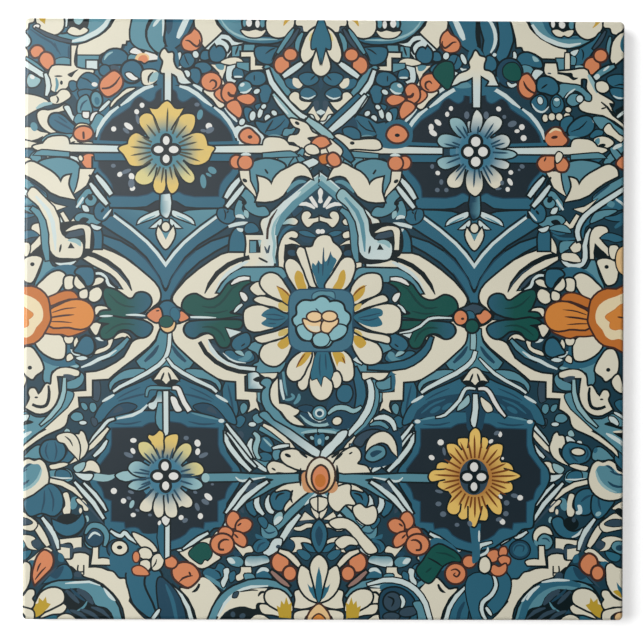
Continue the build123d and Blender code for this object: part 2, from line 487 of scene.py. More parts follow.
lower_left_rosette = group(
    rosette(
        -158 - 156.5j, DEEP_LAGOON, (17, 33), 19, DEEP_LAGOON,
        [(STRAW, [-164 - 143j, -168 - 133j, -172 - 122j, -175 - 117j, -174 - 115.5j, K, -170 - 116.5j, -167 - 114.5j,
                  -163.5 - 111.5j, -161 - 113j, -160 - 120j, -160 - 130j, -161 - 142j]),
         (STRAW, [-159 - 142j, -158 - 128j, -157.5 - 118j, -155 - 116.5j, -150 - 115j, -146 - 115.5j, -145.5 - 119j,
                  -148 - 128j, -152 - 141j]),
         (PALE_STRAW, [-165 - 148j, -172 - 143j, -180 - 137j, -184.5 - 129j, -184 - 124j, -180 - 122.5j, -175 - 123.5j,
                       -171 - 127j, -166 - 136j, -162 - 143j]),
         (PALE_STRAW, [-150 - 146j, -150 - 138j, -146 - 130j, -141 - 125j, -136 - 124j, -133 - 126j, -132 - 130j,
                       -135 - 137j, -141 - 143j, -147 - 149j]),
         (PALE_BLUE, [-170 - 153j, -184 - 152j, -200 - 152j, -207 - 156j, -203 - 160j, -185 - 160j, -170 - 157j]),
         (PALE_BLUE, [-168 - 150j, -176 - 146j, -182 - 142.5j, -188 - 142j, -193 - 145j, -194.5 - 149j, -192 - 152.5j,
                      -170 - 154j]),
         (PALE_BLUE, [-168 - 160j, -180 - 161j, -190 - 162j, -194.5 - 167j, -190 - 169.5j, -183 - 170.5j, -175 - 167j,
                      -168 - 163j]),
         (PALE_STRAW, [-146 - 151j, -140 - 147j, -133 - 143.5j, -127 - 143j, -122 - 146j, -120 - 151j, -122 - 154j,
                       -128 - 155.5j, -146 - 154j]),
         (PALE_BLUE, [-146 - 159j, -128 - 159j, -123 - 162j, -121 - 166j, -125 - 169j, -132 - 169.5j, -138 - 167j,
                      -146 - 162j]),
         (CREAM, [-166 - 166j, -170 - 170j, -177 - 178j, -182 - 184j, -183 - 189j, -179 - 191.5j, -173 - 191j,
                  -170 - 185j, -168 - 175j]),
         (CREAM, [-162 - 171j, -167 - 178j, -169.5 - 188j, -168 - 194j, -165 - 197.5j, -161 - 196j, -159.5 - 188j,
                  -160 - 176j]),
         (CREAM, [-157 - 173j, -158 - 186j, -157 - 194j, -152 - 197.5j, -147 - 196j, -146 - 191j, -149 - 180j,
                  -152 - 171j]),
         (CREAM, [-150 - 170j, -149 - 177j, -145 - 184j, -144 - 187.5j, K, -141 - 186j, -137 - 187.5j, -132 - 186j,
                  -131 - 182j, -135 - 176j, -141 - 171j, -147 - 166j])],
        NAVY, [(97, 16, 27), (108, 16, 30), (74, 16, 30), (84, 16, 22), (132, 17, 32), (122, 17, 27), (55, 17, 31),
               (165, 16, 27), (173, 16, 33), (187, 14, 36), (200, 16, 26), (206, 16, 31), (16, 16, 27), (4, 16, 30),
               (-2, 15, 34), (-17, 16, 29), (228, 17, 31), (247, 17, 25), (277, 17, 28), (303, 16, 30)],
        [(-.3 + 10j, 3.8, 4.5), (.5 - 9.6j, 3.5, 4.4), (-7.3 + 0j, 5, 3.9), (8.3 + 0j, 4.8, 3.8)]),
    marks(WHITE, [(-189.8 - 121j, 3.2, 2.4, 0), (-190.2 - 131.5j, 2.2, 3.2, 30), (-126 - 123.5j, 3.0, 3.6, 20),
                  (-125.8 - 132j, 2.4, 3.4, -10), (-209 - 171.4j, 3.1, 3.0, 0), (-199.3 - 181.2j, 2.7, 2.7, 0),
                  (-189.6 - 195.2j, 2.6, 2.2, 0), (-142 - 197.6j, 2.6, 2.4, 40), (-122.8 - 196.2j, 2.6, 3.0, 0),
                  (-115 - 177j, 4.6, 2.8, -40)]),
    marks(PALE_BLUE, [(-191 - 184.5j, 2.2, 4.2, -20), (-117.8 - 158j, 4.0, 4.6, 0)]),
    marks(DUSK, [(-194.5 - 135.5j, 5.0, 2.2, -24), (-120 - 135.5j, 5.0, 2.2, 24), (-137.3 - 118.4j, 2.6, 2.2, 0),
                 (-192 - 172.5j, 3.2, 1.6, -20), (-194 - 178.5j, 2.4, 1.6, -20), (-185.5 - 190.5j, 2.2, 1.3, -20),
                 (-173 - 195.2j, 2.0, 1.4, 0), (-138 - 200.5j, 3.0, 2.2, 30), (-126 - 187j, 2.2, 4.2, 20),
                 (-118 - 182j, 4.2, 2.4, -30), (-128 - 172.5j, 2.2, 1.4, -20), (-111 - 164.5j, 1.6, 1.2, 0)]),
)

lower_right_rosette = group(
    rosette(
        151 - 156.5j, TAN, (16, 34), 30, SLATE,
        [(HONEY, [139 - 138j, 136 - 130j, 134 - 122j, 134 - 119j, 138 - 118j, 144 - 118.5j, 148 - 122j, 147 - 138j]),
         (HONEY, [154 - 138j, 155 - 120j, 159 - 117j, 163 - 118.5j, 164 - 121j, 162 - 127j, 158 - 138j]),
         (HONEY, [146 - 138j, 145.5 - 120j, 146 - 113j, 149 - 109j, 151 - 108j, 154 - 109.5j, 156 - 114j, 156 - 122j,
                  155 - 138j]),
         (HONEY, [139 - 146j, 131 - 140j, 126 - 135j, 123 - 128j, 123 - 124.5j, 127 - 123.5j, 132 - 124.5j, 137 - 130j,
                  142 - 140j]),
         (HONEY, [160 - 138j, 162 - 131j, 168 - 125j, 173 - 123.5j, 178 - 125j, 178 - 130j, 176 - 137j, 174 - 141j,
                  166 - 143j, 161 - 145j]),
         (HONEY, [137 - 150j, 125 - 144j, 118 - 142j, 114 - 143.5j, 113 - 149j, 115 - 151j, 137 - 154j]),
         (HONEY, [137 - 158j, 120 - 158.5j, 115 - 162j, 114 - 165j, 118 - 168.5j, 126 - 170.5j, 132 - 169j, 139 - 163j]),
         (HONEY, [136 - 151j, 115 - 150j, 110 - 150j, 106 - 153j, 105 - 157j, 107 - 160.5j, 113 - 160j, 120 - 158.5j,
                  136 - 158j]),
         (HONEY, [163 - 148j, 170 - 144.5j, 178 - 142j, 185 - 143j, 188 - 146j, 189 - 152j, 166 - 154j]),
         (HONEY, [164 - 160j, 184 - 160j, 188 - 164j, 188 - 169j, 184 - 171.5j, 177 - 172j, 168 - 168.5j, 163 - 164j]),
         (HONEY, [166 - 151j, 188 - 151j, 192 - 152.5j, 196 - 155.5j, 192 - 158j, 186 - 160j, 166 - 159j]),
         (HONEY, [139 - 166j, 131 - 172j, 126 - 180j, 124 - 190j, 127 - 193j, 133 - 193j, 137 - 188j, 141 - 180j,
                  144 - 172j]),
         (HONEY, [143 - 174j, 138 - 183j, 137 - 191j, 134.5 - 195j, 138 - 198.5j, 142 - 198j, 145 - 192j, 147 - 176j]),
         (HONEY, [154 - 175j, 154 - 199j, 158 - 199.5j, 162 - 199.5j, 164 - 195j, 162 - 186j, 160 - 176j]),
         (HONEY, [147 - 176j, 145 - 190j, 145 - 198j, 147 - 204j, 150.5 - 206j, 153 - 202j, 155 - 196j, 155 - 176j]),
         (HONEY, [158 - 172j, 163 - 182j, 168 - 190j, 172 - 193j, 176 - 193.5j, 178 - 188j, 176 - 180j, 171 - 173j,
                  164 - 167j])],
        BARK, [(91, 19, 42), (79, 19, 36), (101, 19, 36), (113, 19, 38), (125, 19, 36), (137, 19, 36), (150, 17, 36),
               (165, 16, 33), (177, 16, 41), (190, 16, 33), (202, 17, 34), (214, 17, 30), (226, 19, 37), (240, 19, 33),
               (252, 20, 34), (261, 20, 32), (270, 20, 41), (280, 20, 38), (290, 20, 34), (307, 18, 38), (318, 18, 35),
               (330, 18, 36), (340, 18, 34), (350, 17, 36), (2, 17, 42), (12, 17, 37), (24, 17, 34), (40, 18, 34),
               (51, 18, 36), (65, 19, 36)],
        [(-1 + 10j, 4, 4.7), (-1 - 9.6j, 3.3, 4.3), (-7.6 + 0j, 5, 3.9), (6.4 + 0j, 4.8, 3.9)]),
    marks(WHITE, [(116.5 - 122j, 3.2, 3.0, 0), (107.6 - 137.2j, 3.1, 2.4, -30), (166.8 - 120.8j, 2.6, 1.8, 40),
                  (176 - 113.8j, 2.0, 2.8, 0), (178.6 - 137.8j, 1.3, 1.4, 0), (178.5 - 201j, 2.6, 3.2, 40),
                  (196.2 - 177j, 2.9, 2.7, 0), (176.5 - 176j, 2.6, 1.6, -50)]),
    marks(DUSK, [(119.3 - 193.6j, 3.1, 2.8, 0), (114.6 - 183.4j, 3.0, 2.4, 0), (115 - 171j, 4.0, 1.6, -14),
                 (182.7 - 182.2j, 2.8, 2.7, 0), (182 - 193j, 2.8, 2.6, 0), (133.2 - 204.2j, 2.4, 2.0, 0),
                 (190.5 - 175j, 3.6, 2.2, -10), (120 - 131j, 1.6, 4.2, 10), (172.5 - 112.5j, 3.0, 2.0, 30),
                 (175 - 198.6j, 3.2, 2.0, 20), (146 - 203j, 2.4, 3.0, 30)]),
)


LOFT = glaze(137, 187, 194)  # light blue of the middle flower's cloud
MUSTARD = glaze(200, 162, 62)
OCHRE = glaze(190, 158, 50)
HEART = glaze(62, 112, 132)
PALE_PEACH = glaze(238, 205, 156)
DULL_STRAW = glaze(206, 182, 104)


def tongue(points, flame, flame_paint):
    """A cream petal of the middle flower with a coloured flame at its base."""
    return group(patch(CREAM, points), patch(flame_paint, flame, 0))


middle_flower = group(
    patch(NAVY, [-52 + 20j, -40 + 42j, -20 + 50j, 6 + 48j, 28 + 42j, 44 + 20j, 44 - 20j, 26 - 42j, 4 - 50j, -18 - 50j,
                 -40 - 42j, -52 - 20j], 0),
    patch(CREAM, [-74 + 31j, -66 + 37j, -62 + 31j, -58 + 26j, -66 + 24j], 1.6),
    patch(CREAM, [-13 + 33j, -20 + 47j, -26 + 62j, -28 + 67j, -25 + 72j, -20 + 70j, -17 + 60j, -13 + 46j, -8 + 33j]),
    tongue([-4 + 32j, -12 + 48j, -16 + 62j, -19 + 72j, K, -12 + 73j, -10 + 78j, -7 + 82j, -2 + 84j, 5 + 83j, 8 + 77j,
            13 + 73j, 17 + 66j, 14 + 60j, 8 + 50j, 4 + 40j, 0 + 32j],
           [-4 + 31j, -10 + 43j, -13 + 54j, -12 + 57j, K, -9 + 54j, K, -6 + 59j, K, -4 + 56j, -1 + 72j, K, 1 + 58j,
            6 + 68j, K, 8 + 63j, 11 + 61j, 12 + 59j, K, 8 + 50j, 3 + 40j, 0 + 31j], TEAL),
    tongue([1 + 32j, 8 + 45j, 16 + 58j, 20 + 61.5j, 27 + 61j, 30 + 54j, 28 + 44j, 23 + 34j, 16 + 29j, 10 + 28.5j],
           [8 + 30j, 13 + 40j, 16 + 48j, 19 + 50j, 21 + 45j, 20 + 37j, 16 + 30j], MUSTARD),
    tongue([27 + 18j, 26 + 27j, 31 + 38j, 38 + 44j, 47 + 46j, 55 + 44j, 57 + 38j, 55 + 28j, 49 + 24j, 38 + 20j,
            30 + 16j], [28 + 18j, 28 + 24j, 33 + 31j, 40 + 34.5j, 40 + 28j, 36 + 22j], MUSTARD),
    tongue([30 + 8j, 38 + 15j, 50 + 22j, 60 + 24j, 63 + 20j, 56 + 17j, 42 + 13j],
           [30 + 9j, 30 + 13j, 37 + 16j, 36 + 12j], DULL_STRAW),
    tongue([31 + 2j, 45 + 11j, 58 + 15j, 68 + 15j, 75 + 10j, 76 + 0j, 74 - 9j, 68 - 13j, 55 - 12j, 42 - 8j],
           [29 + 3j, 40 + 9j, 50 + 12j, 58 + 9j, 58 + 5j, 54 + 3j, K, 57 - 1j, 58 - 4j, 52 - 7j, 42 - 6j], TEAL),
    tongue([30 - 9j, 44 - 13j, 58 - 15j, 65 - 18j, 65 - 22j, 55 - 21j, 40 - 17j],
           [30 - 10j, 37 - 13j, 38 - 16j, 31 - 14j], DULL_STRAW),
    tongue([28 - 14j, 40 - 20j, 52 - 24j, 57 - 32j, 56 - 40j, 48 - 44j, 40 - 43j, 33 - 35j, 28 - 24j],
           [29 - 16j, 38 - 18j, 42 - 23j, 36 - 28.5j, 31 - 25j], MUSTARD),
    tongue([7 - 31j, 20 - 32j, 26 - 38j, 29 - 50j, 28 - 58j, 24 - 61j, 18 - 60j, 13 - 51j, 9 - 41j],
           [8 - 32j, 19 - 34j, 21 - 44j, K, 15 - 42j, 13 - 47j, K, 10 - 39j], MUSTARD),
    patch(CREAM, [13 - 52j, 17 - 60j, 15 - 66j, 12 - 68j, 7 - 62j, 6 - 57j]),
    patch(CREAM, [-12 - 31j, -10 - 42j, -14 - 52j, -16 - 62j, -18 - 68j, -22 - 70j, -26 - 65j, -25 - 60j, -20 - 50j,
                  -15 - 38j]),
    patch(CREAM, [-14 - 60j, -14 - 66j, -11 - 75j, -4 - 80j, 3 - 78j, 7 - 72j, 8 - 66j, 4 - 58j]),
    patch(TEAL, [-2 - 28j, -8 - 34j, -11 - 45j, -13 - 58j, -12 - 60j, K, -7 - 58j, K, -3 - 66j, K, 0 - 56j, 6 - 60j, K,
                 9 - 51j, 6 - 40j, 3 - 31j], 1.0),
    tongue([-14 - 31j, -28 - 36j, -36 - 46j, -37 - 55j, -31 - 61j, -24 - 59j, -18 - 48j, -13 - 36j],
           [-13 - 32j, -20 - 33j, -25 - 41j, -28 - 48j, K, -23 - 46j, -17 - 40j], MUSTARD),
    tongue([-33 - 16j, -48 - 22j, -60 - 26j, -64 - 36j, -58 - 44j, -48 - 46j, -40 - 40j, -34 - 28j],
           [-34 - 17j, -44 - 21j, -47 - 25j, -43 - 29.5j, -36 - 26j], MUSTARD),
    tongue([-35 - 9j, -50 - 13j, -62 - 16j, -69 - 19j, -66 - 22j, -50 - 20j, -38 - 15j],
           [-35 - 10j, -46 - 13j, -46 - 16j, -37 - 14j], DULL_STRAW),
    tongue([-38 + 4j, -50 + 9j, -62 + 13.5j, -72 + 13j, -79 + 9j, -80 + 0j, -77 - 9j, -70 - 12j, -58 - 10j, -46 - 6j],
           [-36 + 3j, -46 + 10j, -54 + 11j, -60 + 8j, -63 + 4j, -58 + 1j, -63 - 4j, -58 - 7j, -50 - 8j, -42 - 4j], TEAL),
    tongue([-34 + 12j, -48 + 18j, -60 + 22.5j, -67 + 22j, -70 + 20j, -64 + 16j, -50 + 13j, -36 + 8j],
           [-35 + 9j, -46 + 12j, -46 + 16j, -35 + 13j], DULL_STRAW),
    tongue([-33 + 22j, -40 + 35j, -47 + 44j, -55 + 46j, -62 + 42j, -64 + 36j, -60 + 29j, -52 + 23j, -42 + 19j,
            -34 + 15j], [-34 + 15j, -33 + 22j, -40 + 30j, -48 + 33j, K, -45 + 26j, -42 + 19j], MUSTARD),
    tongue([-24 + 28j, -32 + 37j, -38 + 48j, -39 + 56j, -36 + 60j, -30 + 59j, -25 + 54j, -20 + 42j, -17 + 31j],
           [-25 + 29j, -29 + 36j, -30 + 44j, -27 + 49j, -23 + 47j, -20 + 38j, -18 + 31j], MUSTARD),
    stroke(BARK, [-48 + 33.5j, -42 + 30.5j, -34 + 22j], 1.6),
    stroke(BARK, [42 + 34.5j, 35 + 31j, 28 + 23j], 1.6),
    stroke(BARK, [21 - 44j, 18 - 37j], 1.4),
    stroke(BARK, [-28 - 48j, -24 - 40j, -19 - 34j], 1.6),
    *(stroke(NAVY, [-6.5 + 59j, -6 + 46j], 1.6), stroke(NAVY, [-1 + 72j, -1.5 + 60j, -2 + 44j], 1.8),
      stroke(NAVY, [6 + 68j, 3 + 54j], 1.6), stroke(NAVY, [56 + 7j, 44 + 4j, 34 + 2j], 1.4),
      stroke(NAVY, [54 + 2.5j, 44 - 0.5j, 34 + 1j], 1.6), stroke(NAVY, [-59 + 5j, -48 + 5j, -39 + 2j], 1.4),
      stroke(NAVY, [-58 + 1j, -48 - 0.5j, -39 + 1j], 1.6), stroke(NAVY, [-56 - 4j, -48 - 4j], 1.2),
      stroke(NAVY, [-4 - 34j, -5 - 46j, -4 - 57j], 1.6), stroke(NAVY, [1 - 34j, 2 - 50j], 1.6)),
    patch(HEART, [-34 + 23j, -30 + 28j, -18 + 29.5j, -3 + 30.5j, 12 + 29.5j, 23 + 28j, 27.5 + 23j, 28 + 8j, 27.5 - 8j,
                  27 - 24j, 23 - 28.5j, 4 - 31j, -10 - 31j, -29 - 29j, -33.5 - 24j, -35 - 10j, -35 + 10j], 1.4, NAVY),
    patch(SKY, [-12 + 24j, -6 + 28j, 1 + 28j, 9 + 27j, 10 + 21j, K, -1 + 25j, -12 + 21j], 1.2, NAVY),
    patch(LOFT, [-30 - 4j, K, -31 + 0.5j, -27 + 5j, -27 + 13j, -22 + 18j, -14 + 18j, K, -9 + 19j, -5 + 22j, 0 + 22j,
                 5 + 17j, K, 12 + 18j, 18 + 15j, 20 + 9j, 24.5 + 5j, 25 + 0j, 22 - 5j, K, 21 - 12j, 16 - 18j, 8 - 21j,
                 4 - 26j, -3 - 27j, -9 - 26j, -12 - 21j, -22 - 19j, -27 - 12j, -28 - 6j], 2.2),
    patch(LOFT, [-27 - 8j, -21 - 5j, -12 - 15j, -14 - 20j, -21 - 19j, -26 - 13j], 1.6),
    patch(LOFT, [22 - 8j, 14 - 5j, 5 - 15j, 7 - 20j, 15 - 18j, 21 - 13j], 1.6),
    patch(LOFT, [-11 - 18j, -7 - 14j, -3 - 13j, 2 - 14.5j, 5 - 19j, 2 - 25j, -4 - 26.5j, -9 - 25j], 1.4),
    stroke(NAVY, [-9 + 11.5j, -5 + 7.5j], 1.4),
    patch(PALE_PEACH, [-21 + 0j, -16 - 1j, -4 - 2j, -4 - 11j, -8 - 12.5j, -14 - 11j, -20 - 4j], 1.8, UMBER),
    patch(PALE_PEACH, [13 + 0j, 10 - 1.5j, -1 - 2j, -2 - 11j, 4 - 12.5j, 8 - 8j, 13 - 3j], 1.8, UMBER),
    patch(CREAM, [-18 - 5j, -12 - 6.5j, -5 - 7j, -5 - 11j, -8 - 12j, -13 - 10.5j], 0),
    spot(PALE_PEACH, -10 + 3j, 7, 4.4, 0, 1.8, UMBER),
    spot(PALE_PEACH, 5 + 3.4j, 7, 4.4, 0, 1.8, UMBER),
)

# Orange flower that the tile's left and right edges cut through, with its ruff of cream petals
side_flower = group(
    patch(BLUE, [239 + 52j, 255 + 53j, 268 + 46j, 278 + 34j, 284 + 30j, K, 262 + 10j, 262 - 10j, K, 282 - 30j, 268 - 44j,
                 254 - 48j, 238 - 46j, K, 244 - 30j, 244 + 30j], 0),
    patch(CREAM, [250 + 44j, 255 + 47j, 263 + 45j, 271 + 38j, 277 + 31j, 272 + 25j, 267 + 21j, 260 + 24j, 253 + 33j]),
    patch(CREAM, [273 + 60j, 278 + 62j, 286 + 61j, 292 + 57j, 293 + 47j, 290 + 38j, 283 + 36j, 279 + 42j, 275 + 52j]),
    patch(CREAM, [242 + 42j, 249 + 41j, 250 + 34j, 249 + 30j, 243 + 30j]),
    patch(CREAM, [238 + 42j, 236 + 39j, K, 230 + 30j, 236 + 30j, 240 + 34j]),
    patch(CREAM, [213 + 27j, 216 + 31j, 221 + 30j, 226 + 24j, 225 + 19j, 221 + 17j, 215 + 20j]),
    patch(CREAM, [228 + 29j, 235 + 26j, 234 + 21j, 228 + 21j]),
    patch(CREAM, [211 + 39j, 216 + 41j, 220 + 39j, 224 + 33j, 218 + 34j, 213 + 36j]),
    patch(CREAM, [250 - 22j, 254 - 17j, 262 - 16.5j, 270 - 16j, 278 - 24j, 274 - 31j, 266 - 37j, 258 - 40j, 251 - 39j,
                  249 - 31j]),
    patch(CREAM, [271 - 50j, 272 - 45j, 277 - 36j, 283 - 29j, 289 - 29j, 293 - 36j, 294 - 45j, 292 - 53j, 287 - 57j,
                  281 - 60j, 279 - 57j]),
    patch(CREAM, [288 - 60j, 294 - 54j, 297 - 60j, 298 - 72j, 292 - 69j]),
    patch(CREAM, [241 - 19j, 250 - 19j, 248 - 24j, 243 - 24j], 1.4),
    patch(CREAM, [241 - 39j, 244 - 35j, 247 - 37j, 247 - 42j], 1.4),
    patch(CREAM, [202 + 8j, 208 + 11.5j, 219 + 11j, 219 + 5j]),
    patch(CREAM, [214 - 5j, 218 - 4j, 224 - 7j, 221 - 14j, 219 - 16j, 215 - 9j]),
    patch(CREAM, [286 + 75j, 292 + 75j, 293 + 63j, 288 + 62j], 1.4),
    patch(PEACH, [296 + 73j, 302 + 75j, 302 + 45j, 296 + 48j], 1.4),
    spot(INK, 282 + 54j, 2.2, 2.0, 0, 0),
    spot(INK, 284 - 49j, 2.2, 2.0, 0, 0),
    patch(BLUE, [221 + 42j, 223 + 50j, 230 + 51j, 236 + 50j, 239 + 46j, 234 + 43j, 230 + 38j, 227 + 33j, 223 + 35j]),
    patch(BLUE, [221 - 25j, 224 - 19j, 229 - 18j, 233 - 21j, 237 - 28j, 240 - 32j, 234 - 34j, 228 - 36j, 222 - 33j]),
    patch(AMBER, [237 + 21j, 241 + 26j, 250 + 27j, 260 + 23j, 267 + 19j, 265 + 14j, 255 + 17j, 246 + 20j], 1.8, RUST),
    patch(AMBER, [228 - 10j, 236 - 8.5j, 250 - 7j, 264 - 8j, 269 - 13j, 260 - 15j, 252 - 15j, 246 - 17j, 238 - 15j], 1.8,
          RUST),
    patch(ORANGE, [264 + 8j, 255 + 13j, 243 + 18j, 233 + 18j, 225 + 14j, 221 + 6j, 222 - 2j, 227 - 8j, 234 - 10j,
                   245 - 8j, 264 - 7j], 2.0, RUST),
    stroke(RUST, [240 + 4j, 252 + 3j, 264 + 1j], 2.0, (0.2, 0.8)),
    stroke(RUST, [238 + 11j, 250 + 10j, 262 + 6j], 1.4, (0.2, 0.6)),
    stroke(RUST, [242 - 4j, 254 - 3j, 264 - 3j], 1.4, (0.2, 0.6)),
    patch(AMBER, [304 + 38j, 292 + 31j, 283 + 31.5j, 274 + 28j, 267 + 20j, 265 + 8j, 264 + 0j, 267 - 8j, 272 - 17j,
                  280 - 24j, 290 - 26j, 304 - 34j], 2.0, RUST),
    patch(BUTTER, [304 + 30j, 293 + 25j, 284 + 22j, 275 + 16j, 271 + 6j, 272 - 2j, 278 - 9j, 281 - 15j, 287 - 19j,
                   295 - 18j, 304 - 22j], 0.6, AMBER),
    patch(ORANGE, [304 + 18j, 296 + 16j, 291 + 11.5j, K, 287 + 9j, 281 + 4j, 286 - 1j, K, 286 - 7j, 291 - 9j, K, 297 - 8j,
                   304 - 12j], 0.6, AMBER),
    stroke(RUST, [293 + 4j, 300 + 3j], 1.8),
)

# Green leaves and the coral bud on the cross axis, either side of the middle flower
LAKE = glaze(38, 92, 112)

green_leaves = group(
    patch(Fade(LAKE, GREEN, 170 + 18j, 190 + 18j), [164 + 17j, 166 + 23j, 172 + 26j, 178 + 25j, 182 + 20j, 186 + 19.5j, 190 + 22j, 197 + 27j, 205 + 30j,
                  209 + 30j, 211 + 24j, 209 + 18j, 207 + 13j, 203 + 9j, 214 + 6.5j, 216 + 4j, K, 200 + 2j, 180 + 4j,
                  172 + 7j, 168 + 10j]),
    patch(Fade(LAKE, GREEN, 170 - 10j, 192 - 10j), [163 - 8j, 166 - 15j, 173 - 18j, 178 - 16j, 184 - 11j, 190 - 10j, 197 - 12j, 201 - 17j, 206 - 19.5j,
                  212 - 19j, 214 - 14j, 211 - 8j, 205 - 5j, 216 - 2j, 212 + 1j, 190 + 0j, 172 - 2j]),
    patch(GREEN, [-141 + 10j, -141 + 16j, -138 + 21j, -128 + 24.5j, -122 + 21j, -117 + 19j, -110 + 20j, -104 + 24j,
                  -101 + 28j, -97 + 34j, -90 + 39j, -80 + 40j, -74 + 37j, K, -81 + 33j, -85 + 26j, -84 + 18j, -88 + 12j,
                  -95 + 7j, -82 + 4j, K, -105 + 1j, -125 + 3j, -136 + 6j]),
    patch(Fade(LAKE, GREEN, -132 - 11j, -112 - 11j), [-139 - 12j, -135 - 17j, -129 - 18j, -124 - 14j, -116 - 13j, -110 - 16j, -107 - 22j, -103 - 27j,
                  -97 - 27j, -94 - 22j, -95 - 15j, -99 - 8j, -90 - 9j, -84 - 8j, -82 - 4j, -100 - 1j, -125 - 2j,
                  -137 - 5j]),
    stroke(MOSS, [180 + 12j, 190 + 13j, 198 + 17j, 206 + 25j], 2.0),
    stroke(MOSS, [180 - 6j, 192 - 5j, 202 - 9j, 209 - 15j], 2.0),
    stroke(MOSS, [-122 + 13j, -110 + 12j, -100 + 20j, -92 + 31j, -84 + 36j], 2.4),
    stroke(MOSS, [-120 + 7j, -108 + 6j, -96 + 9j], 1.8),
    stroke(MOSS, [-122 - 8j, -112 - 8j, -103 - 14j, -99 - 22j], 2.2),
    stroke(WHITE, [-93 + 35j, -85 + 40j, -75 + 41j], 4, (0.3, 0.6), 1.4),
    patch(WHITE, [-84 + 27j, -80 + 26j, -77 + 20j, -79 + 18j, -83 + 22j], 1.4),
    stroke(ICE, [-90 + 7j, -86 + 12j, -82 + 15j], 3, (0.3, 0.5), 1.2),
    patch(ICE, [-98 - 9j, K, -83 - 12.5j, K, -94 - 18j, K], 1.4),
)

# Bud in the middle of each cross axis
left_bud = group(
    stroke(ICE, [-178 + 3j, -186 + 4j, -198 + 4j], 2.2),
    stroke(ICE, [-224 + 2.5j, -211 + 3j], 2.2),
    stroke(ICE, [-141 + 2j, -126 + 2j, -108 + 1.5j], 2.2),
    patch(BLUE, [-166 + 10j, -160 + 17j, -153 + 17j, -148 + 12j, -141 + 8j, -142 - 2j, -150 - 4j, -164 - 4j], 2.0),
    patch(CORAL, [-176.5 + 3j, -171 + 9j, -165 + 11j, -162.5 + 6j, -163 + 0j, -167 - 3j, -172 - 1j]),
    patch(CORAL, [-143 + 7.5j, -138 + 4.5j, -135.5 + 1.5j, -139 - 1j, -144 - 2j, -145 + 3j]),
    patch(PEACH, [-163 - 3j, -162 - 9.5j, -156.5 - 13j, -151 - 10.5j, -149 - 4j]),
    spot(TEAL, -149 + 5j, 4.4, 6.4, 14, 1.0, NAVY),
    patch(GREEN, [-164 - 1j, -160 + 2.5j, -154 + 2j, -151 - 2j, -153 - 6.5j, -158 - 8j, -163 - 6j], 1.0),
    stroke(RUST, [-168 + 8j, -164.5 + 8.5j], 1.6),
)

right_bud = group(
    stroke(ICE, [132 + 2j, 114 + 2.5j, 104 + 1j, 96 - 6j, 86 - 11j, 75 - 13j], 2.4, (0.4, 0.4), 1.4),
    patch(SLATE, [129 + 4j, 134 + 10j, 141 + 13j, 148 + 16j, 156 + 14j, 163 + 9j, 168 + 5j, 162 - 2j, 155 - 5j, 140 - 6j]),
    patch(BLUE, [140 + 4j, 143 + 9j, 148 + 8j, 150 + 3j, 146 - 1j], 1.0),
    spot(CORAL, 136 + 2.6j, 6.2, 6.8),
    patch(CORAL, [152 + 5j, 156 + 6j, 160 + 10j, 164 + 8j, 166.5 + 4.5j, 163 - 0j, 157 - 3j, 154 + 1j]),
    spot(GREEN, 147.5 - 6j, 6, 6),
    spot(RUST, 138 + 1.5j, 1.8, 1.3, 0, 0),
)


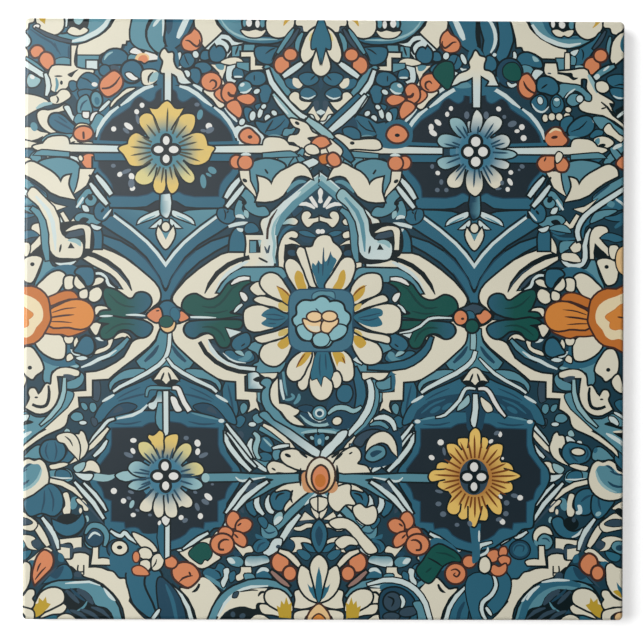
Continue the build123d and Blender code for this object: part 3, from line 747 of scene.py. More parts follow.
# Upper inner quarter: scroll, stepped frame and the hooks round the middle flower
upper_scroll = group(
    patch(SKY, [-110 + 25j, K, -105 + 36j, -97 + 45j, -88 + 50.5j, -75 + 52j, -50 + 52j, -43 + 51j, -37 + 38j, -36 + 28j,
                -50 + 38j, -60 + 38j, -72 + 38j, -84 + 40j, -96 + 34j, -104 + 26j], 1.6),
    patch(CREAM, [-75 + 61j, K, -75 + 68j, K, -91 + 67.5j, -103 + 64j, -113 + 58j, -125 + 49.5j, -138 + 38.5j, -147 + 28j,
                  -151 + 20j, -148 + 14j, -140 + 9j, K, -141 + 16j, -137 + 23j, -129 + 26j, -123 + 24j, -118 + 20j,
                  -112 + 20.5j, -105 + 25j, K, -110 + 25.5j, K, -104 + 36j, -97 + 44.5j, -90 + 49.5j, -82 + 53j, K,
                  -75 + 54j, K]),
    patch(Fade(CREAM, ICE, -66, -50), [-82 + 53j, K, -51 + 53.5j, K, -49.5 + 62j, -48 + 72j, -48.5 + 82j, -46 + 92j,
                                       -40 + 103j, -30 + 114j, -15 + 127j, -4 + 135j, K, -4 + 147j, K, -18 + 137j,
                                       -30 + 127j, -41 + 118j, -47 + 112j, -53 + 107j, -57 + 102j, -62 + 100j, -64 + 95j,
                                       -62 + 88j, -61 + 84j, K, -79 + 84j, K, -79 + 61j, K]),
    patch(ICE, [-82 + 53j, K, -104 + 36.5j, -110 + 26j, K, -106 + 36j, -98 + 47j, -89 + 53.5j, -80 + 58j, K, -76 + 58j], 0),
    stroke(INK, [-119.5 + 25.5j, -115 + 35j, -107 + 46j, -96 + 54.5j, -86 + 59j, -75 + 62j], 5, (0.2, 0.9)),
    stroke(SKY, [-48.5 + 84j, -46.5 + 93j, -41 + 103.5j, -31 + 114.5j, -16 + 128j, -4 + 138j], 7, (0.4, 1)),
    stroke(MIST, [-36 + 117j, -28 + 123.5j, -19 + 131j, -4 + 143j], 5, (0.2, 1)),
    stroke(ICE, [-40 + 115j, -33 + 120j, -24 + 128j], 4, (0.3, 0.2)),
    stroke(MIST, [-49.5 + 56j, -51 + 64j, -50 + 76j, -52 + 86j, -50 + 96j, -44 + 105j], 3, (0.6, 0.3)),
    stroke(UMBER, [-57.5 + 80j, -57 + 90j, -54 + 100j, -47.5 + 110j], 2.6, (0.9, 0.3)),
    patch(INK, [-75.5 + 79.5j, K, -64 + 79.5j, K, -64 + 66.5j, K, -75.5 + 66j, K], 0),
    patch(SKY, [-74.5 + 78j, K, -68.5 + 78j, K, -68.5 + 67j, K, -74.5 + 66.5j, K], 0),
    patch(MIST, [-66.5 + 79j, K, -63 + 79j, K, -65 + 72j, K], 0),
    stroke(SLATE, [-60 + 73j, -57 + 65.5j, K, -55 + 74j], 2.2, (0.4, 0.6)),
    stroke(INK, [-66 + 61.5j, -57 + 57j], 2.2, (0.6, 0.8)),
    patch(Fade(BLUE, TEAL, 90j, 68j), [-95 + 68j, K, -94.5 + 78j, -92 + 86j, -88 + 90.5j, -83 + 88j, -80.5 + 82j,
                                       -80.5 + 68j, K]),
    patch(ICE, [-88 + 90.5j, -86 + 88j, -82 + 87.5j, -81.5 + 90.5j, K], 0),
    patch(BLUE, [-106 + 109.5j, -98 + 110j, -91 + 108j, -89.5 + 101j, -95 + 96j, -104 + 99j, -107 + 104j], 1.6),
    stroke(INK, [-101 + 110j, -99 + 105j, -100 + 99j], 1.6),
    stroke(INK, [-96 + 108j, -98 + 106j], 1.6),
    patch(SKY, [-89 + 103j, -89.5 + 111j, -86 + 119j, K, -82 + 117j, -83 + 110j, -80 + 104j], 1.4),
    patch(SKY, [-85 + 126j, -80 + 129.5j, -74 + 127j, -70 + 119j, -68 + 112j, -60 + 112j, -56 + 105j, -62 + 103j,
                -70 + 104.5j, -76 + 108j, -80 + 112.5j, -79 + 119j, -83 + 123j], 1.6),
    spot(INK, -80.5 + 116.5j, 2.6, 2.6, 0, 0),
    stroke(ICE, [-89 + 102.5j, -84 + 103j, -80 + 100.5j], 3.6, (0.6, 0.2)),
    stroke(ICE, [-96 + 92.5j, -88 + 95j, -77 + 96.5j], 3.8, (0.7, 0.4)),
    patch(BLUE, [-80 + 91j, -78 + 94.5j, -73 + 96j, -68 + 93j, -66 + 88.5j, -72 + 86.5j, -79 + 87j], 1.2),
    patch(MIST, [-80 + 109j, -77 + 108j, -77 + 101j, -80 + 103j], 0),
    stroke(ICE, [-99 + 121j, -93 + 131j, -84.5 + 141j], 5, (0.7, 0.5), 2.0),
    stroke(ICE, [-98 + 112j, -90 + 122j, -80.5 + 134j], 4.6, (0.7, 0.5), 2.0),
    patch(SKY, [-76 + 152j, -76 + 141j, -72 + 133j, -68 + 125j, K, -66 + 131j, -67.5 + 142j, K, -60 + 140j, -53.5 + 135j,
                K, -50 + 141j, -44 + 148j, -40 + 152j, -55 + 160j]),
    patch(CREAM, [-85 + 148j, K, -76 + 148j, K, -75 + 138j, -70 + 128j, -68.5 + 122j, K, -74 + 128j, -80 + 134j,
                  -84 + 141j], 1.6),
    spot(INK, -80 + 138.5j, 2.6, 1.8, -30, 0),
    patch(CREAM, [-67 + 142.5j, K, -61 + 141j, -56 + 138j, -53.5 + 134j, K, -51 + 140j, -44 + 147.5j, -35 + 152j,
                  -27 + 156j, -20 + 153j, -12.5 + 140.5j, K, -24 + 144j, -30 + 142j, -35 + 134j, -42 + 124j, -52 + 118.5j,
                  -68.5 + 118j, K, -65.5 + 128j]),
    stroke(SKY, [-38 + 127j, -33 + 133j, -26 + 137.5j, -19 + 137.5j], 4.4, (0.3, 0.3)),
    stroke(NAVY, [-40 + 119j, -30 + 128j, -18 + 137.5j], 2, (0.3, 0.5)),
    stroke(INK, [-60 + 150j, -57 + 145.5j], 2, (0.6, 0.9)),
)

# Dark panel over the middle flower with its curls, fan and small leaves
upper_panel = group(
    stroke(BLUE, [-46 + 52j, -46.5 + 66j, -45 + 78j, -41 + 88j, -35 + 92.5j, -28 + 94j], 3.6, (0.8, 0.4)),
    patch(CREAM, [-40 + 52j, K, -45.5 + 52j, K, -46 + 66j, -43.5 + 78j, -38 + 86j, -31 + 88j, -27 + 85j, -28 + 82j,
                  -33.5 + 82.5j, K, -36 + 81j, -30 + 78j, -24 + 74j, K, -33 + 76j, -40 + 74.5j, K, -41 + 62j], 1.6),
    patch(INK, [-40 + 75j, K, -29 + 74j, K, -28 + 60j, -41 + 60j, K], 0),
    spot(NAVY, -32.5 + 66.5j, 4.6, 3.0, -10, 0),
    patch(Fade(MIST, CREAM, -40, -28), [-42 + 95j, -38 + 99.5j, -30 + 101j, -27 + 98j, -29 + 95j, -36 + 95.5j], 1.6),
    patch(CREAM, [-23 + 103j, -21 + 107j, -16 + 107.5j, -14 + 105j, -17 + 100.5j, K, -10 + 101j, -4 + 103j, K, -4 + 99j, K,
                  -11 + 97j, -17 + 92.5j, -20 + 95j], 1.6),
    patch(WHITE, [-5 + 131j, -7 + 128j, -6 + 122j, -6.5 + 117j, -4 + 116j, K, -4 + 131.5j, K], 0),
    stroke(WHITE, [-14.5 + 122.5j, -11 + 117j, -7.5 + 112j], 4, (0.9, 0.3)),
    stroke(WHITE, [-26 + 114.5j, -19 + 115.5j, -10 + 111j], 4, (0.3, 0.5)),
    patch(NAVY, [-33 + 107j, -28 + 112j, -22 + 111j, -26 + 106j, -31 + 103j], 1.0),
    patch(BLUE, [-26 + 87.5j, -19 + 88.5j, -12 + 85.5j, -9 + 83j, -16 + 83j, -22 + 84.5j], 1.0),
    patch(NAVY, [-25 + 82j, -18 + 82j, -12 + 79j, -18 + 76.5j, -22 + 78j], 0),
    spot(WHITE, -2.5 + 88j, 2.6, 2.4, 0, 0),
)

# Upper inner quarter, the flowered part above the arm
upper_garden = group(
    patch(BLUE, [-160 + 302j, K, -130 + 302j, K, -137 + 287j, -143 + 277j, -150 + 271j, -157 + 268j, -160.5 + 275j], 1.6),
    stroke(ICE, [-147.5 + 280j, -143 + 290j, -138 + 301j], 6, (0.5, 0.9)),
    patch(CREAM, [-130 + 302j, K, -112 + 302j, K, -109 + 294j, -103.5 + 287.5j, K, -120 + 271j, K, -124 + 277j,
                  -125 + 285j, -130 + 292j]),
    patch(CORAL, [-143 + 275j, -139 + 282j, -134 + 285j, -131 + 289j, K, -127 + 286j, -124.5 + 280j, -125 + 274j,
                  -129 + 269j, -136 + 268j, -141 + 270j], 2.0, RUST),
    stroke(RUST, [-140 + 278j, -136 + 277.5j, -132 + 274j, -128 + 272j, -125.5 + 275j, -126 + 279j], 2.2),
    patch(ICE, [-119 + 270j, K, -104 + 284j, K, -97 + 283j, -91 + 277j, -82 + 276j, K, -90 + 273j, -95 + 266j,
                -100 + 259j, K, -126 + 258j, K, -125 + 261j, -119 + 262j]),
    stroke(INK, [-104 + 279.5j, -98 + 277j, -95 + 272j, -98 + 265j], 3, (0.4, 0.6)),
    patch(BLUE, [-145 + 256j, -141 + 264j, -136 + 265j, -131 + 258j, -135 + 252j, -141 + 251j]),
    stroke(INK, [-141 + 264j, -139 + 258j, -136 + 253j], 1.4),
    patch(BLUE, [-124 + 260j, -122 + 267j, -117 + 267j, -115 + 262j, -119 + 259j]),
    patch(BLUE, [-113 + 258j, -115 + 268j, -111 + 273j, K, -109 + 270j, K, -106 + 272j, -103 + 271j, K, -100 + 264j,
                 -104 + 258j]),
    patch(BLUE, [-130 + 253j, -118 + 255j, -114 + 250j, -120 + 246j, -128 + 247j]),
    patch(BLUE, [-134 + 249j, -127 + 249j, -125 + 240j, -128 + 235j, -132 + 238j, -135 + 244j]),
    marks(ICE, [(-147 + 261j, 2.2, 5.4, -24), (-138.5 + 244.5j, 3.4, 3.6, 30), (-129.5 + 264j, 2.8, 3.4, 20)], 1.4),
    stroke(ICE, [-150 + 251j, -147 + 250j, -144 + 252j], 2.4),
    patch(SKY, [-93 + 272j, K, -84 + 273j, K, -84 + 263j, K, -93 + 262j, K], 1.4),
    stroke(INK, [-87 + 273j, -90 + 264j], 2.0),
    patch(SKY, [-81 + 274j, K, -71 + 274j, K, -71 + 266j, K, -82 + 266j, K], 1.2),
    patch(CREAM, [-104 + 257j, -98 + 260j, -84 + 259j, -82 + 256.5j], 1.4),
    patch(CREAM, [-114 + 254j, K, -99 + 253j, K, -100 + 248j, -103 + 240j, -101 + 234j, -104 + 235j, K, -106 + 246j,
                  -112 + 252j], 1.4),
    patch(SKY, [-110 + 253.5j, -101 + 253j, -102 + 249j, -107 + 249.5j], 0),
    patch(ICE, [-98 + 252j, K, -90 + 254j, K, -91 + 247j, -94 + 241j, -89 + 238j, K, -93 + 235j, -98 + 238j, -99 + 246j],
          1.4),
    patch(BLUE, [-92 + 243j, -91 + 249j, -87 + 251j, -83 + 248j, -82 + 242j], 1.4),
    stroke(ICE, [-91 + 242j, -83 + 242j], 2.0, (0.8, 0.5)),
    patch(SKY, [-88 + 256j, K, -75 + 256j, K, -75 + 247j, K, -83 + 250j, -88 + 252j], 1.2),
    stroke(CREAM, [-84 + 264.3j, K, -72.5 + 264.5j, K, -72.5 + 251j, K, -58 + 251.5j], 4.2, (1, 0.6), 2.0),
    stroke(ICE, [-132 + 234j, -125 + 230j, -118 + 224.5j], 3.4, (0.5, 0.4)),
    patch(CREAM, [-121 + 228j, -113 + 228j, -107 + 219j, -101 + 213j, -104 + 211j, -112 + 219j]),
    stroke(ICE, [-100 + 211j, -94 + 204j, -88 + 197j], 3.4, (0.6, 0.4)),
    patch(CORAL, [-110 + 225j, -106 + 230j, -102 + 226j, -101 + 217j], 1.8, RUST),
    spot(CORAL, -114 + 237j, 9.5, 8.5, 0, 2.0, RUST),
    stroke(RUST, [-115.5 + 236j, -113 + 238.5j, -109.5 + 237j, -109.5 + 232j, -113 + 229.5j], 2.2),
    patch(CORAL, [-101 + 232j, -98 + 235j, -93 + 235j, -89 + 230j, -91 + 224j, -92 + 219j, -97 + 217j, -102 + 221j], 2.0,
          RUST),
    stroke(RUST, [-97 + 227j, -95 + 223.5j, -90.5 + 223j], 3.2, (0.5, 0.9)),
    patch(CORAL, [-88 + 221j, -82 + 224j, -75 + 224j, -70.5 + 219.5j, -75 + 215j, -82 + 216j], 2.0, RUST),
    patch(CORAL, [-98 + 214j, -93 + 217.5j, -89 + 218j, -85 + 213j, -83.5 + 208j, -86 + 201.5j, -90 + 204j], 2.0, RUST),
    patch(ICE, [-90 + 191j, -84 + 194j, -74 + 193j, -66 + 188.5j, -60.5 + 181j, -60 + 174.5j, K, -86 + 174j, K, -89 + 181j],
          1.6),
    patch(CORAL, [-85 + 183j, -82 + 188j, -76 + 190j, -71 + 186j, -66 + 180j, -67 + 175.5j, -75 + 175.5j, -82 + 178j], 2.2,
          RUST),
    spot(RUST, -75 + 182j, 2.4, 1.9, 0, 0),
    patch(BLUE, [-66 + 231j, -58 + 234j, -54 + 230j, -56 + 222j, -58 + 217j, -63 + 217j, -65 + 223j]),
    patch(BLUE, [-80 + 240j, -74 + 246j, -62 + 245.5j, -60 + 238j, -66 + 234j, -74 + 235j]),
    stroke(INK, [-71 + 244j, -71 + 238j], 1.4),
    spot(SKY, -80.5 + 231.5j, 6.4, 5.6, 20, 1.8),
    spot(ICE, -83 + 234j, 2.6, 1.8, 30, 0),
    stroke(ICE, [-85 + 226.5j, -79 + 226.5j, -73.5 + 231j], 2.2),
    patch(BLUE, [-80 + 211j, -74 + 210j, -72 + 202j, -76 + 197j, -80 + 203j], 1.6),
    patch(BLUE, [-70 + 213j, -64 + 215j, -60 + 210j, -66 + 208j], 1.4),
    marks(ICE, [(-72.5 + 203j, 2.8, 4.6, -10), (-65 + 206j, 2.2, 5.0, -16), (-57.6 + 201j, 2.8, 3.4, -20),
                (-51 + 206j, 3.0, 2.2, -40), (-68.5 + 227.5j, 3.2, 2.2, 30), (-83 + 197j, 2.6, 3.4, -30),
                (-61.5 + 212.5j, 2.6, 2.0, 40)], 1.6),
    patch(BLUE, [-69 + 197j, -64 + 188j, -58 + 184j, -50 + 183j, -42 + 186j, -37 + 194j, -36 + 203.5j, -46 + 203j,
                 -54 + 200j, -60 + 196j], 2.0),
    stroke(INK, [-52 + 199j, -56 + 193j, -60 + 186j], 2.0),
    stroke(INK, [-60 + 188j, -50 + 190j, -40 + 200j], 1.4),
    patch(SKY, [-40 + 190j, -34 + 190j, -30 + 192j, -35 + 184j, -42 + 184j], 1.4),
    patch(Fade(SKY, CREAM, 184j, 179j), [-60 + 181j, -54 + 184.5j, -46 + 184j, -40 + 180j, -50 + 179j], 0),
    stroke(SKY, [-60 + 253j, -52 + 247j, -45 + 237j, -37 + 226j, -31 + 220j], 6, (0.6, 0.3), 2.0),
    stroke(ICE, [-58 + 249j, -54 + 237j, -46 + 225.5j, -36 + 213.5j, -24 + 203.5j, -17 + 200.5j], 5.4, (0.6, 0.6), 2.0),
    stroke(MIST, [-52 + 225j, -44 + 214.5j, -35 + 204j, -22 + 193j, -8 + 183j], 5.4, (0.4, 0.8), 2.0),
    stroke(ICE, [-51 + 222j, -44 + 212.5j, -37 + 205j], 2.6, (0.4, 0.4)),
    stroke(ICE, [-20 + 199j, -12 + 192j, -4 + 185j], 4.6, (0.5, 1), 1.6),
    stroke(ICE, [-14 + 205j, -8 + 198j, -3 + 193j], 4, (0.6, 1), 1.4),
    patch(CREAM, [-36 + 222j, -31 + 227j, -27 + 226j, -26 + 220j, -14 + 217j, K, -23 + 209j, -29 + 214j], 1.6),
    patch(CREAM, [-17 + 206j, K, -12 + 213j, K, -9 + 206j, -4 + 199j, K, -8 + 199j, -12 + 205j], 1.4),
    patch(BLUE, [-40 + 240j, -33 + 240j, -24 + 233j, -30 + 230j, -38 + 233j], 1.4),
    patch(CREAM, [-32 + 241j, -27 + 240j, -23 + 234j, -26 + 231j, -32 + 234j], 0),
    patch(BLUE, [-26 + 243j, -20 + 246j, -12 + 245j, -7 + 240j, -12 + 235j, -19 + 234j], 1.4),
    stroke(INK, [-10 + 244j, -15 + 239j], 1.6),
    patch(BLUE, [-25 + 226j, -21 + 231j, -14 + 230j, -9 + 225j, -15 + 220j, -22 + 221j], 1.4),
    stroke(ICE, [-24 + 222.5j, -17 + 220.5j, -10 + 224j], 1.8),
    patch(NAVY, [-4 + 242j, K, -7 + 236j, -4 + 229j, K], 0),
    patch(SLATE, [-11 + 218j, -8 + 219j, -7 + 211j, -9 + 208j], 0),
    patch(ICE, [-9 + 207j, -4 + 210j, K, -4 + 204j, K], 0),
    patch(CREAM, [-35 + 200j, -31 + 193j, -25 + 190j, -27 + 185j, -36 + 182.5j, -37 + 178j, -31 + 177j, -27 + 173.5j,
                  -24 + 171j, -22 + 166j, -15 + 163.5j, -13 + 166j, -20 + 171j, -13 + 176j, -18 + 181j, -7 + 184j,
                  -13 + 187j, -18 + 195j, -25 + 198j], 1.8),
    spot(INK, -28 + 196j, 2.6, 1.6, -30, 0),
    spot(INK, -31.5 + 174.5j, 3.4, 1.8, -10, 0),
    patch(CREAM, [-19 + 170j, -13 + 174j, -5 + 170j, -5 + 166j, -12 + 165j], 1.8),
    patch(SKY, [-70 + 165j, K, -25 + 165j, -32 + 156j, -38 + 150j, -52 + 149j, -46 + 157j, -50 + 162j], 1.4),
    patch(CREAM, [-70 + 157j, -67 + 160j, -62 + 158j, -58 + 160j, -47 + 161.5j, K, -57 + 152j, -62 + 150j, -66 + 152j],
          1.6),
    stroke(SKY, [-22 + 170j, -27 + 161j, -34 + 153j], 6, (0.4, 0.6), 1.4),
    stroke(SKY, [-27 + 163j, -20 + 155j, -14 + 150j], 6, (0.4, 0.6), 1.4),
    patch(ICE, [-22 + 157j, K, -12 + 161j, K, -7 + 158j, -18 + 151j, K], 1.6),
    patch(Fade(SKY, BLUE, -96 + 300j, -60 + 277j), [-110 + 302j, K, -104 + 293j, -97 + 286j, -88 + 280j, -76 + 276.5j,
                                                   -62 + 275.5j, -48 + 277j, -38 + 282j, -30 + 292j, K, -36 + 288j,
                                                   -46 + 282j, -60 + 282j, -80 + 283j, -84 + 292j, -83 + 302j, K]),
    stroke(MIST, [-105 + 300j, -97 + 289j, -85 + 282.5j, -66 + 279.5j, -48 + 279.5j], 2.4),
    patch(INK, [-84 + 302j, K, -84 + 292j, -80 + 287j, -70 + 287j, -60 + 289j, K, -58 + 302j, K], 0),
    patch(CREAM, [-84 + 288j, -80 + 283.5j, -72 + 281.5j, -64 + 283j, -60 + 289j, -64 + 287.5j, -70 + 289j, -76 + 287.5j],
          1.6),
    marks(WHITE, [(-76.5 + 296j, 3.0, 4.0, 0), (-68 + 295j, 2.2, 4.0, 0)]),
    marks(SKY, [(-63 + 296j, 2.4, 4.6, 0), (-81 + 296j, 1.6, 4.0, 0)]),
    patch(CREAM, [-58 + 302j, K, -59 + 291j, -55 + 284j, -47 + 281.5j, -38 + 284.5j, -33 + 291j, -31 + 302j, K], 2.0),
    patch(MUSTARD, [-42 + 293j, -37 + 298j, -32 + 302j, K, -40 + 302j, K], 0),
    patch(CREAM, [-29 + 302j, K, -29 + 294j, -23 + 293j, -22 + 288j, -16 + 288j, -9 + 293j, -4 + 296j, K, -4 + 302j, K],
          1.8),
    patch(SLATE, [-29 + 292j, -23 + 291j, -22 + 287j, -26 + 287j], 0),
    patch(BLUE, [-70 + 270j, -68 + 260j, -62 + 256j, -54 + 256j, -52 + 262j, -46 + 270j, -55 + 272j], 1.8),
    stroke(INK, [-60 + 265j, -55 + 269j, -50 + 271j], 1.6),
    stroke(INK, [-54 + 258j, -50 + 267j, -42 + 276j], 1.6),
    stroke(SKY, [-32 + 290j, -40 + 278j, -48 + 266j], 4, (0.3, 0.5), 1.4),
    stroke(SLATE, [-27 + 290j, -34 + 278j, -40 + 271j], 3.4, (0.4, 0.4), 1.4),
    stroke(SKY, [-23 + 286j, -28 + 276j, -28 + 267j], 4.4, (0.4, 0.3), 1.4),
    spot(CORAL, -43.5 + 254j, 7, 8, 0, 2.2, RUST),
    spot(CORAL, -35 + 264.5j, 6, 5.4, 0, 2.2, RUST),
    stroke(ICE, [-42 + 242.5j, -33 + 249j, -22 + 257j], 5.4, (0.7, 0.5), 2.0),
    patch(CREAM, [-8 + 292j, -16 + 287j, -22 + 275j, -24.5 + 264j, -21 + 257j, -17 + 259j, -11 + 268j, -12 + 280j], 2.2),
    stroke(PALE_STRAW, [-13 + 286j, -16 + 278j], 3.4, (0.6, 0.2)),
)

# Middle petal that hangs from the top edge
top_petal = group(
    patch(CREAM, whole([-4.5 + 243.5j, -10 + 246j, -13.5 + 252j, -12 + 260j, -8 + 271j, MIDLINE + 280j])),
    patch(TEAL, whole([MIDLINE + 302j, -10 + 290j, -14 + 277j, -13 + 270j, -9 + 272j, K, -6.5 + 262j, -5.5 + 255j, K,
                       MIDLINE + 262j]), 1.4),
)


# Upper outer quarter, drawn on the right side of the face
upper_outer_scroll = group(
    patch(SKY, [192 + 28j, K, 200 + 38j, 208 + 45j, 219 + 51j, 232 + 52j, 262 + 52j, 268 + 62j, 274 + 46j, 279 + 33j,
                262 + 40j, 240 + 40j, 226 + 46j, 214 + 40j, 205 + 31j], 1.6),
    patch(INK, [196 + 31j, 206 + 42j, 216 + 49j, 222 + 50j, 222 + 40j, 226 + 32j, 214 + 26j], 0),
    patch(SLATE, [194 + 31j, 200 + 34j, 205 + 40j, 210 + 46j, 204 + 43j], 0),
    stroke(ICE, [199 + 30j, 206 + 34j, 209 + 41j, 214 + 45j, 219 + 45j], 3, (0.3, 0.7)),
    patch(CREAM, [226 + 70.5j, K, 212 + 69.5j, 202 + 66j, 190 + 60j, 178 + 51j, 166 + 41j, 157 + 31j, 155 + 22j, 157 + 17j,
                  162 + 13j, 170 + 5j, K, 164 + 12j, 163 + 20j, 166 + 25j, 172 + 27.5j, 178 + 26j, 183 + 21j, 187 + 20j,
                  191 + 24j, 197 + 29.5j, K, 191 + 29j, K, 196 + 37j, 204 + 45j, 214 + 50j, 222 + 54j, 233 + 61j, K,
                  233 + 67j, K]),
    stroke(INK, [183 + 28j, 187 + 37j, 196 + 48j, 208 + 57j, 220 + 63j, 233 + 66.5j], 5.4, (0.2, 0.9)),
    stroke(SLATE, [185 + 32j, 190 + 40j, 198 + 48j, 209 + 55.5j], 1.4),
    patch(CREAM, [225.5 + 70j, K, 226 + 84j, K, 229 + 79j, 231.5 + 73j, 231.5 + 67j, K], 1.6),
    patch(BLUE, [213.5 + 70j, K, 213 + 80j, 215 + 89j, 224 + 89j, 225 + 80j, 225 + 70j, K], 1.8),
    patch(SKY, [236 + 78j, 246 + 79.5j, 254 + 79j, 248 + 74j, 240 + 70j, 236.5 + 67.5j], 1.6),
    patch(CREAM, [245.5 + 73j, K, 253 + 78.5j, 256 + 76j, 255 + 70j, K, 249 + 68.5j], 1.6),
    stroke(ICE, [238 + 61j, 242 + 56.5j, 250 + 54.5j, 257 + 56.5j, 260.5 + 63j, 260 + 75j, 262.5 + 86j, 265.5 + 92j], 4.6,
           (0.7, 0.3), 1.8),
    patch(CREAM, [237 + 66j, 245 + 67.5j, 251 + 66.5j, 255 + 62j, 256 + 60j, 248 + 59j, 243 + 60j, 237.5 + 61.5j], 1.4),
    patch(CREAM, [265.5 + 62j, K, 265 + 78j, 266.5 + 88j, 270 + 93j, 276 + 94.5j, 282 + 92.5j, 283 + 89.5j, 279 + 86.5j,
                  274 + 83j, K, 279 + 77j, 285 + 70j, 286 + 66j, 282 + 65j, 275 + 73j, 270 + 78j, K, 269 + 70j,
                  269 + 62j, K], 1.8),
    patch(INK, [270.5 + 76j, K, 283 + 63j, 274 + 62j, 270 + 64j], 0),
    patch(CREAM, [287 + 74.5j, 292 + 75.5j, 294 + 68j, 292 + 60.5j, 288 + 61.5j, 287 + 68j], 1.6),
    patch(BLUE, [258 + 82j, 261 + 94j, 268 + 99j, 276 + 104j, 290 + 110j, 302 + 113j, K, 302 + 128j, K, 288 + 120j,
                 272 + 110j, 261 + 101j, 255 + 92j], 1.4),
    patch(SKY, [268 + 122j, 275 + 130j, 284 + 136j, 302 + 146j, K, 302 + 133j, K, 285 + 125j, 272 + 116j], 1.4),
    stroke(ICE, [254.5 + 80j, 252.5 + 89j, 256 + 99j, 264 + 108.5j, 276 + 117j, 290 + 126j, 302 + 134j], 4.8, (0.8, 0.8),
           2.0),
    stroke(NAVY, [268 + 122j, 275 + 129j, 285 + 136j], 2.2),
    patch(SKY, [271 + 108j, 280 + 110.5j, 292 + 110j, 284 + 105.5j, 274 + 101j, 266 + 98j], 1.4),
    patch(BLUE, [280 + 103j, 290 + 105j, 302 + 109j, 302 + 102j, 290 + 100j], 1.2),
    stroke(BLUE, [290 + 93j, 295 + 97j, 302 + 101j], 4, (0.5, 0.9)),
    patch(BLUE, [276 + 82.5j, 283 + 87.5j, 292 + 86j, 300 + 82j, 290 + 79j, 284 + 81j], 1.2),
    stroke(ICE, [291 + 122j, 296 + 118.5j, 302 + 114j], 2.4, (0.8, 0.8)),
    patch(SKY, [282 + 116j, 286 + 120j, 290 + 117.5j, 288 + 113.5j], 0),
    stroke(CREAM, [238 + 101.5j, 245 + 92j, K, 253 + 105.5j], 4, (0.6, 0.8), 1.4),
    patch(CREAM, [249 + 111.5j, K, 260 + 114j, 272 + 121.5j, K, 264 + 113j, 258 + 108j, K], 1.6),
    patch(SKY, [222 + 128j, 228 + 129j, 233 + 124j, 238 + 115j, 235 + 110j, 230 + 118j, 224 + 124j], 1.4),
    stroke(ICE, [231.5 + 121j, 235 + 115.5j, 238.5 + 110.5j], 2.6, (0.8, 0.6)),
    patch(SKY, [218.5 + 119j, 222 + 123j, 226 + 122j, 230 + 117j, 227 + 113j, 222 + 113j], 1.4),
    spot(INK, 225 + 121j, 2.6, 3.6, -30, 0),
    patch(ICE, [226 + 107j, 228 + 112j, 232.5 + 113j, 230.5 + 107j], 1.4),
    patch(SKY, [213 + 98j, 219 + 102j, 227 + 104.5j, 237 + 104j, 240 + 100j, 236 + 96j, 226 + 93.5j, 218 + 94j], 1.4),
    patch(INK, [226 + 99j, 232 + 101j, 236 + 97j, 230 + 95.5j], 0),
    patch(SKY, [224 + 92j, 230 + 95j, 240 + 95j, 246 + 88j, 240 + 88.5j, 232 + 90j], 1.2),
    patch(ICE, [213.5 + 91j, 218 + 92.5j, 224 + 94j, 222 + 90j, 217 + 88.5j], 1.4),
    stroke(BLUE, [228 + 86j, 234 + 82.5j, 242 + 81.5j, 250 + 82j], 3, (0.4, 0.6)),
    stroke(BLUE, [226 + 90j, 233 + 87j, 240 + 87j], 2.4),
    patch(BLUE, [207 + 113j, 212 + 117j, 217 + 115j, 220.5 + 108j, 218 + 100j, 212 + 98j, 206 + 104j], 1.6),
    stroke(ICE, [204 + 109j, 208 + 104j, 212 + 99.5j], 2.2),
    stroke(INK, [211 + 110j, 214 + 106j], 2.4),
    stroke(ICE, [204 + 124j, 210.5 + 133j, 219 + 143j], 4.8, (0.8, 0.5), 2.0),
    stroke(ICE, [208 + 114j, 216 + 123j, 225 + 135j], 4.6, (0.7, 0.5), 2.0),
    patch(SKY, [236 + 152j, 236 + 141j, 239 + 132j, 242 + 125j, K, 246 + 132j, 246.5 + 143j, K, 251 + 141j, 254 + 136j, K,
                258 + 142j, 266 + 148j, 276 + 154j, 255 + 160j]),
    patch(CREAM, [221 + 149j, K, 235 + 149j, K, 236 + 140j, 238 + 131j, 241 + 124.5j, K, 234 + 129j, 229 + 133j,
                  226 + 140j], 1.6),
    stroke(INK, [221 + 136j, 226 + 143.5j], 3, (0.3, 0.7)),
    patch(CREAM, [245 + 143j, K, 251 + 141j, 254 + 135j, K, 257 + 140j, 265 + 147j, 274 + 152j, 284 + 156j, 292 + 151j,
                  293 + 145j, K, 280 + 138.5j, 272 + 133j, 264 + 126j, 255 + 122j, 240 + 119j, K, 244 + 126j, 247 + 134j]),
)

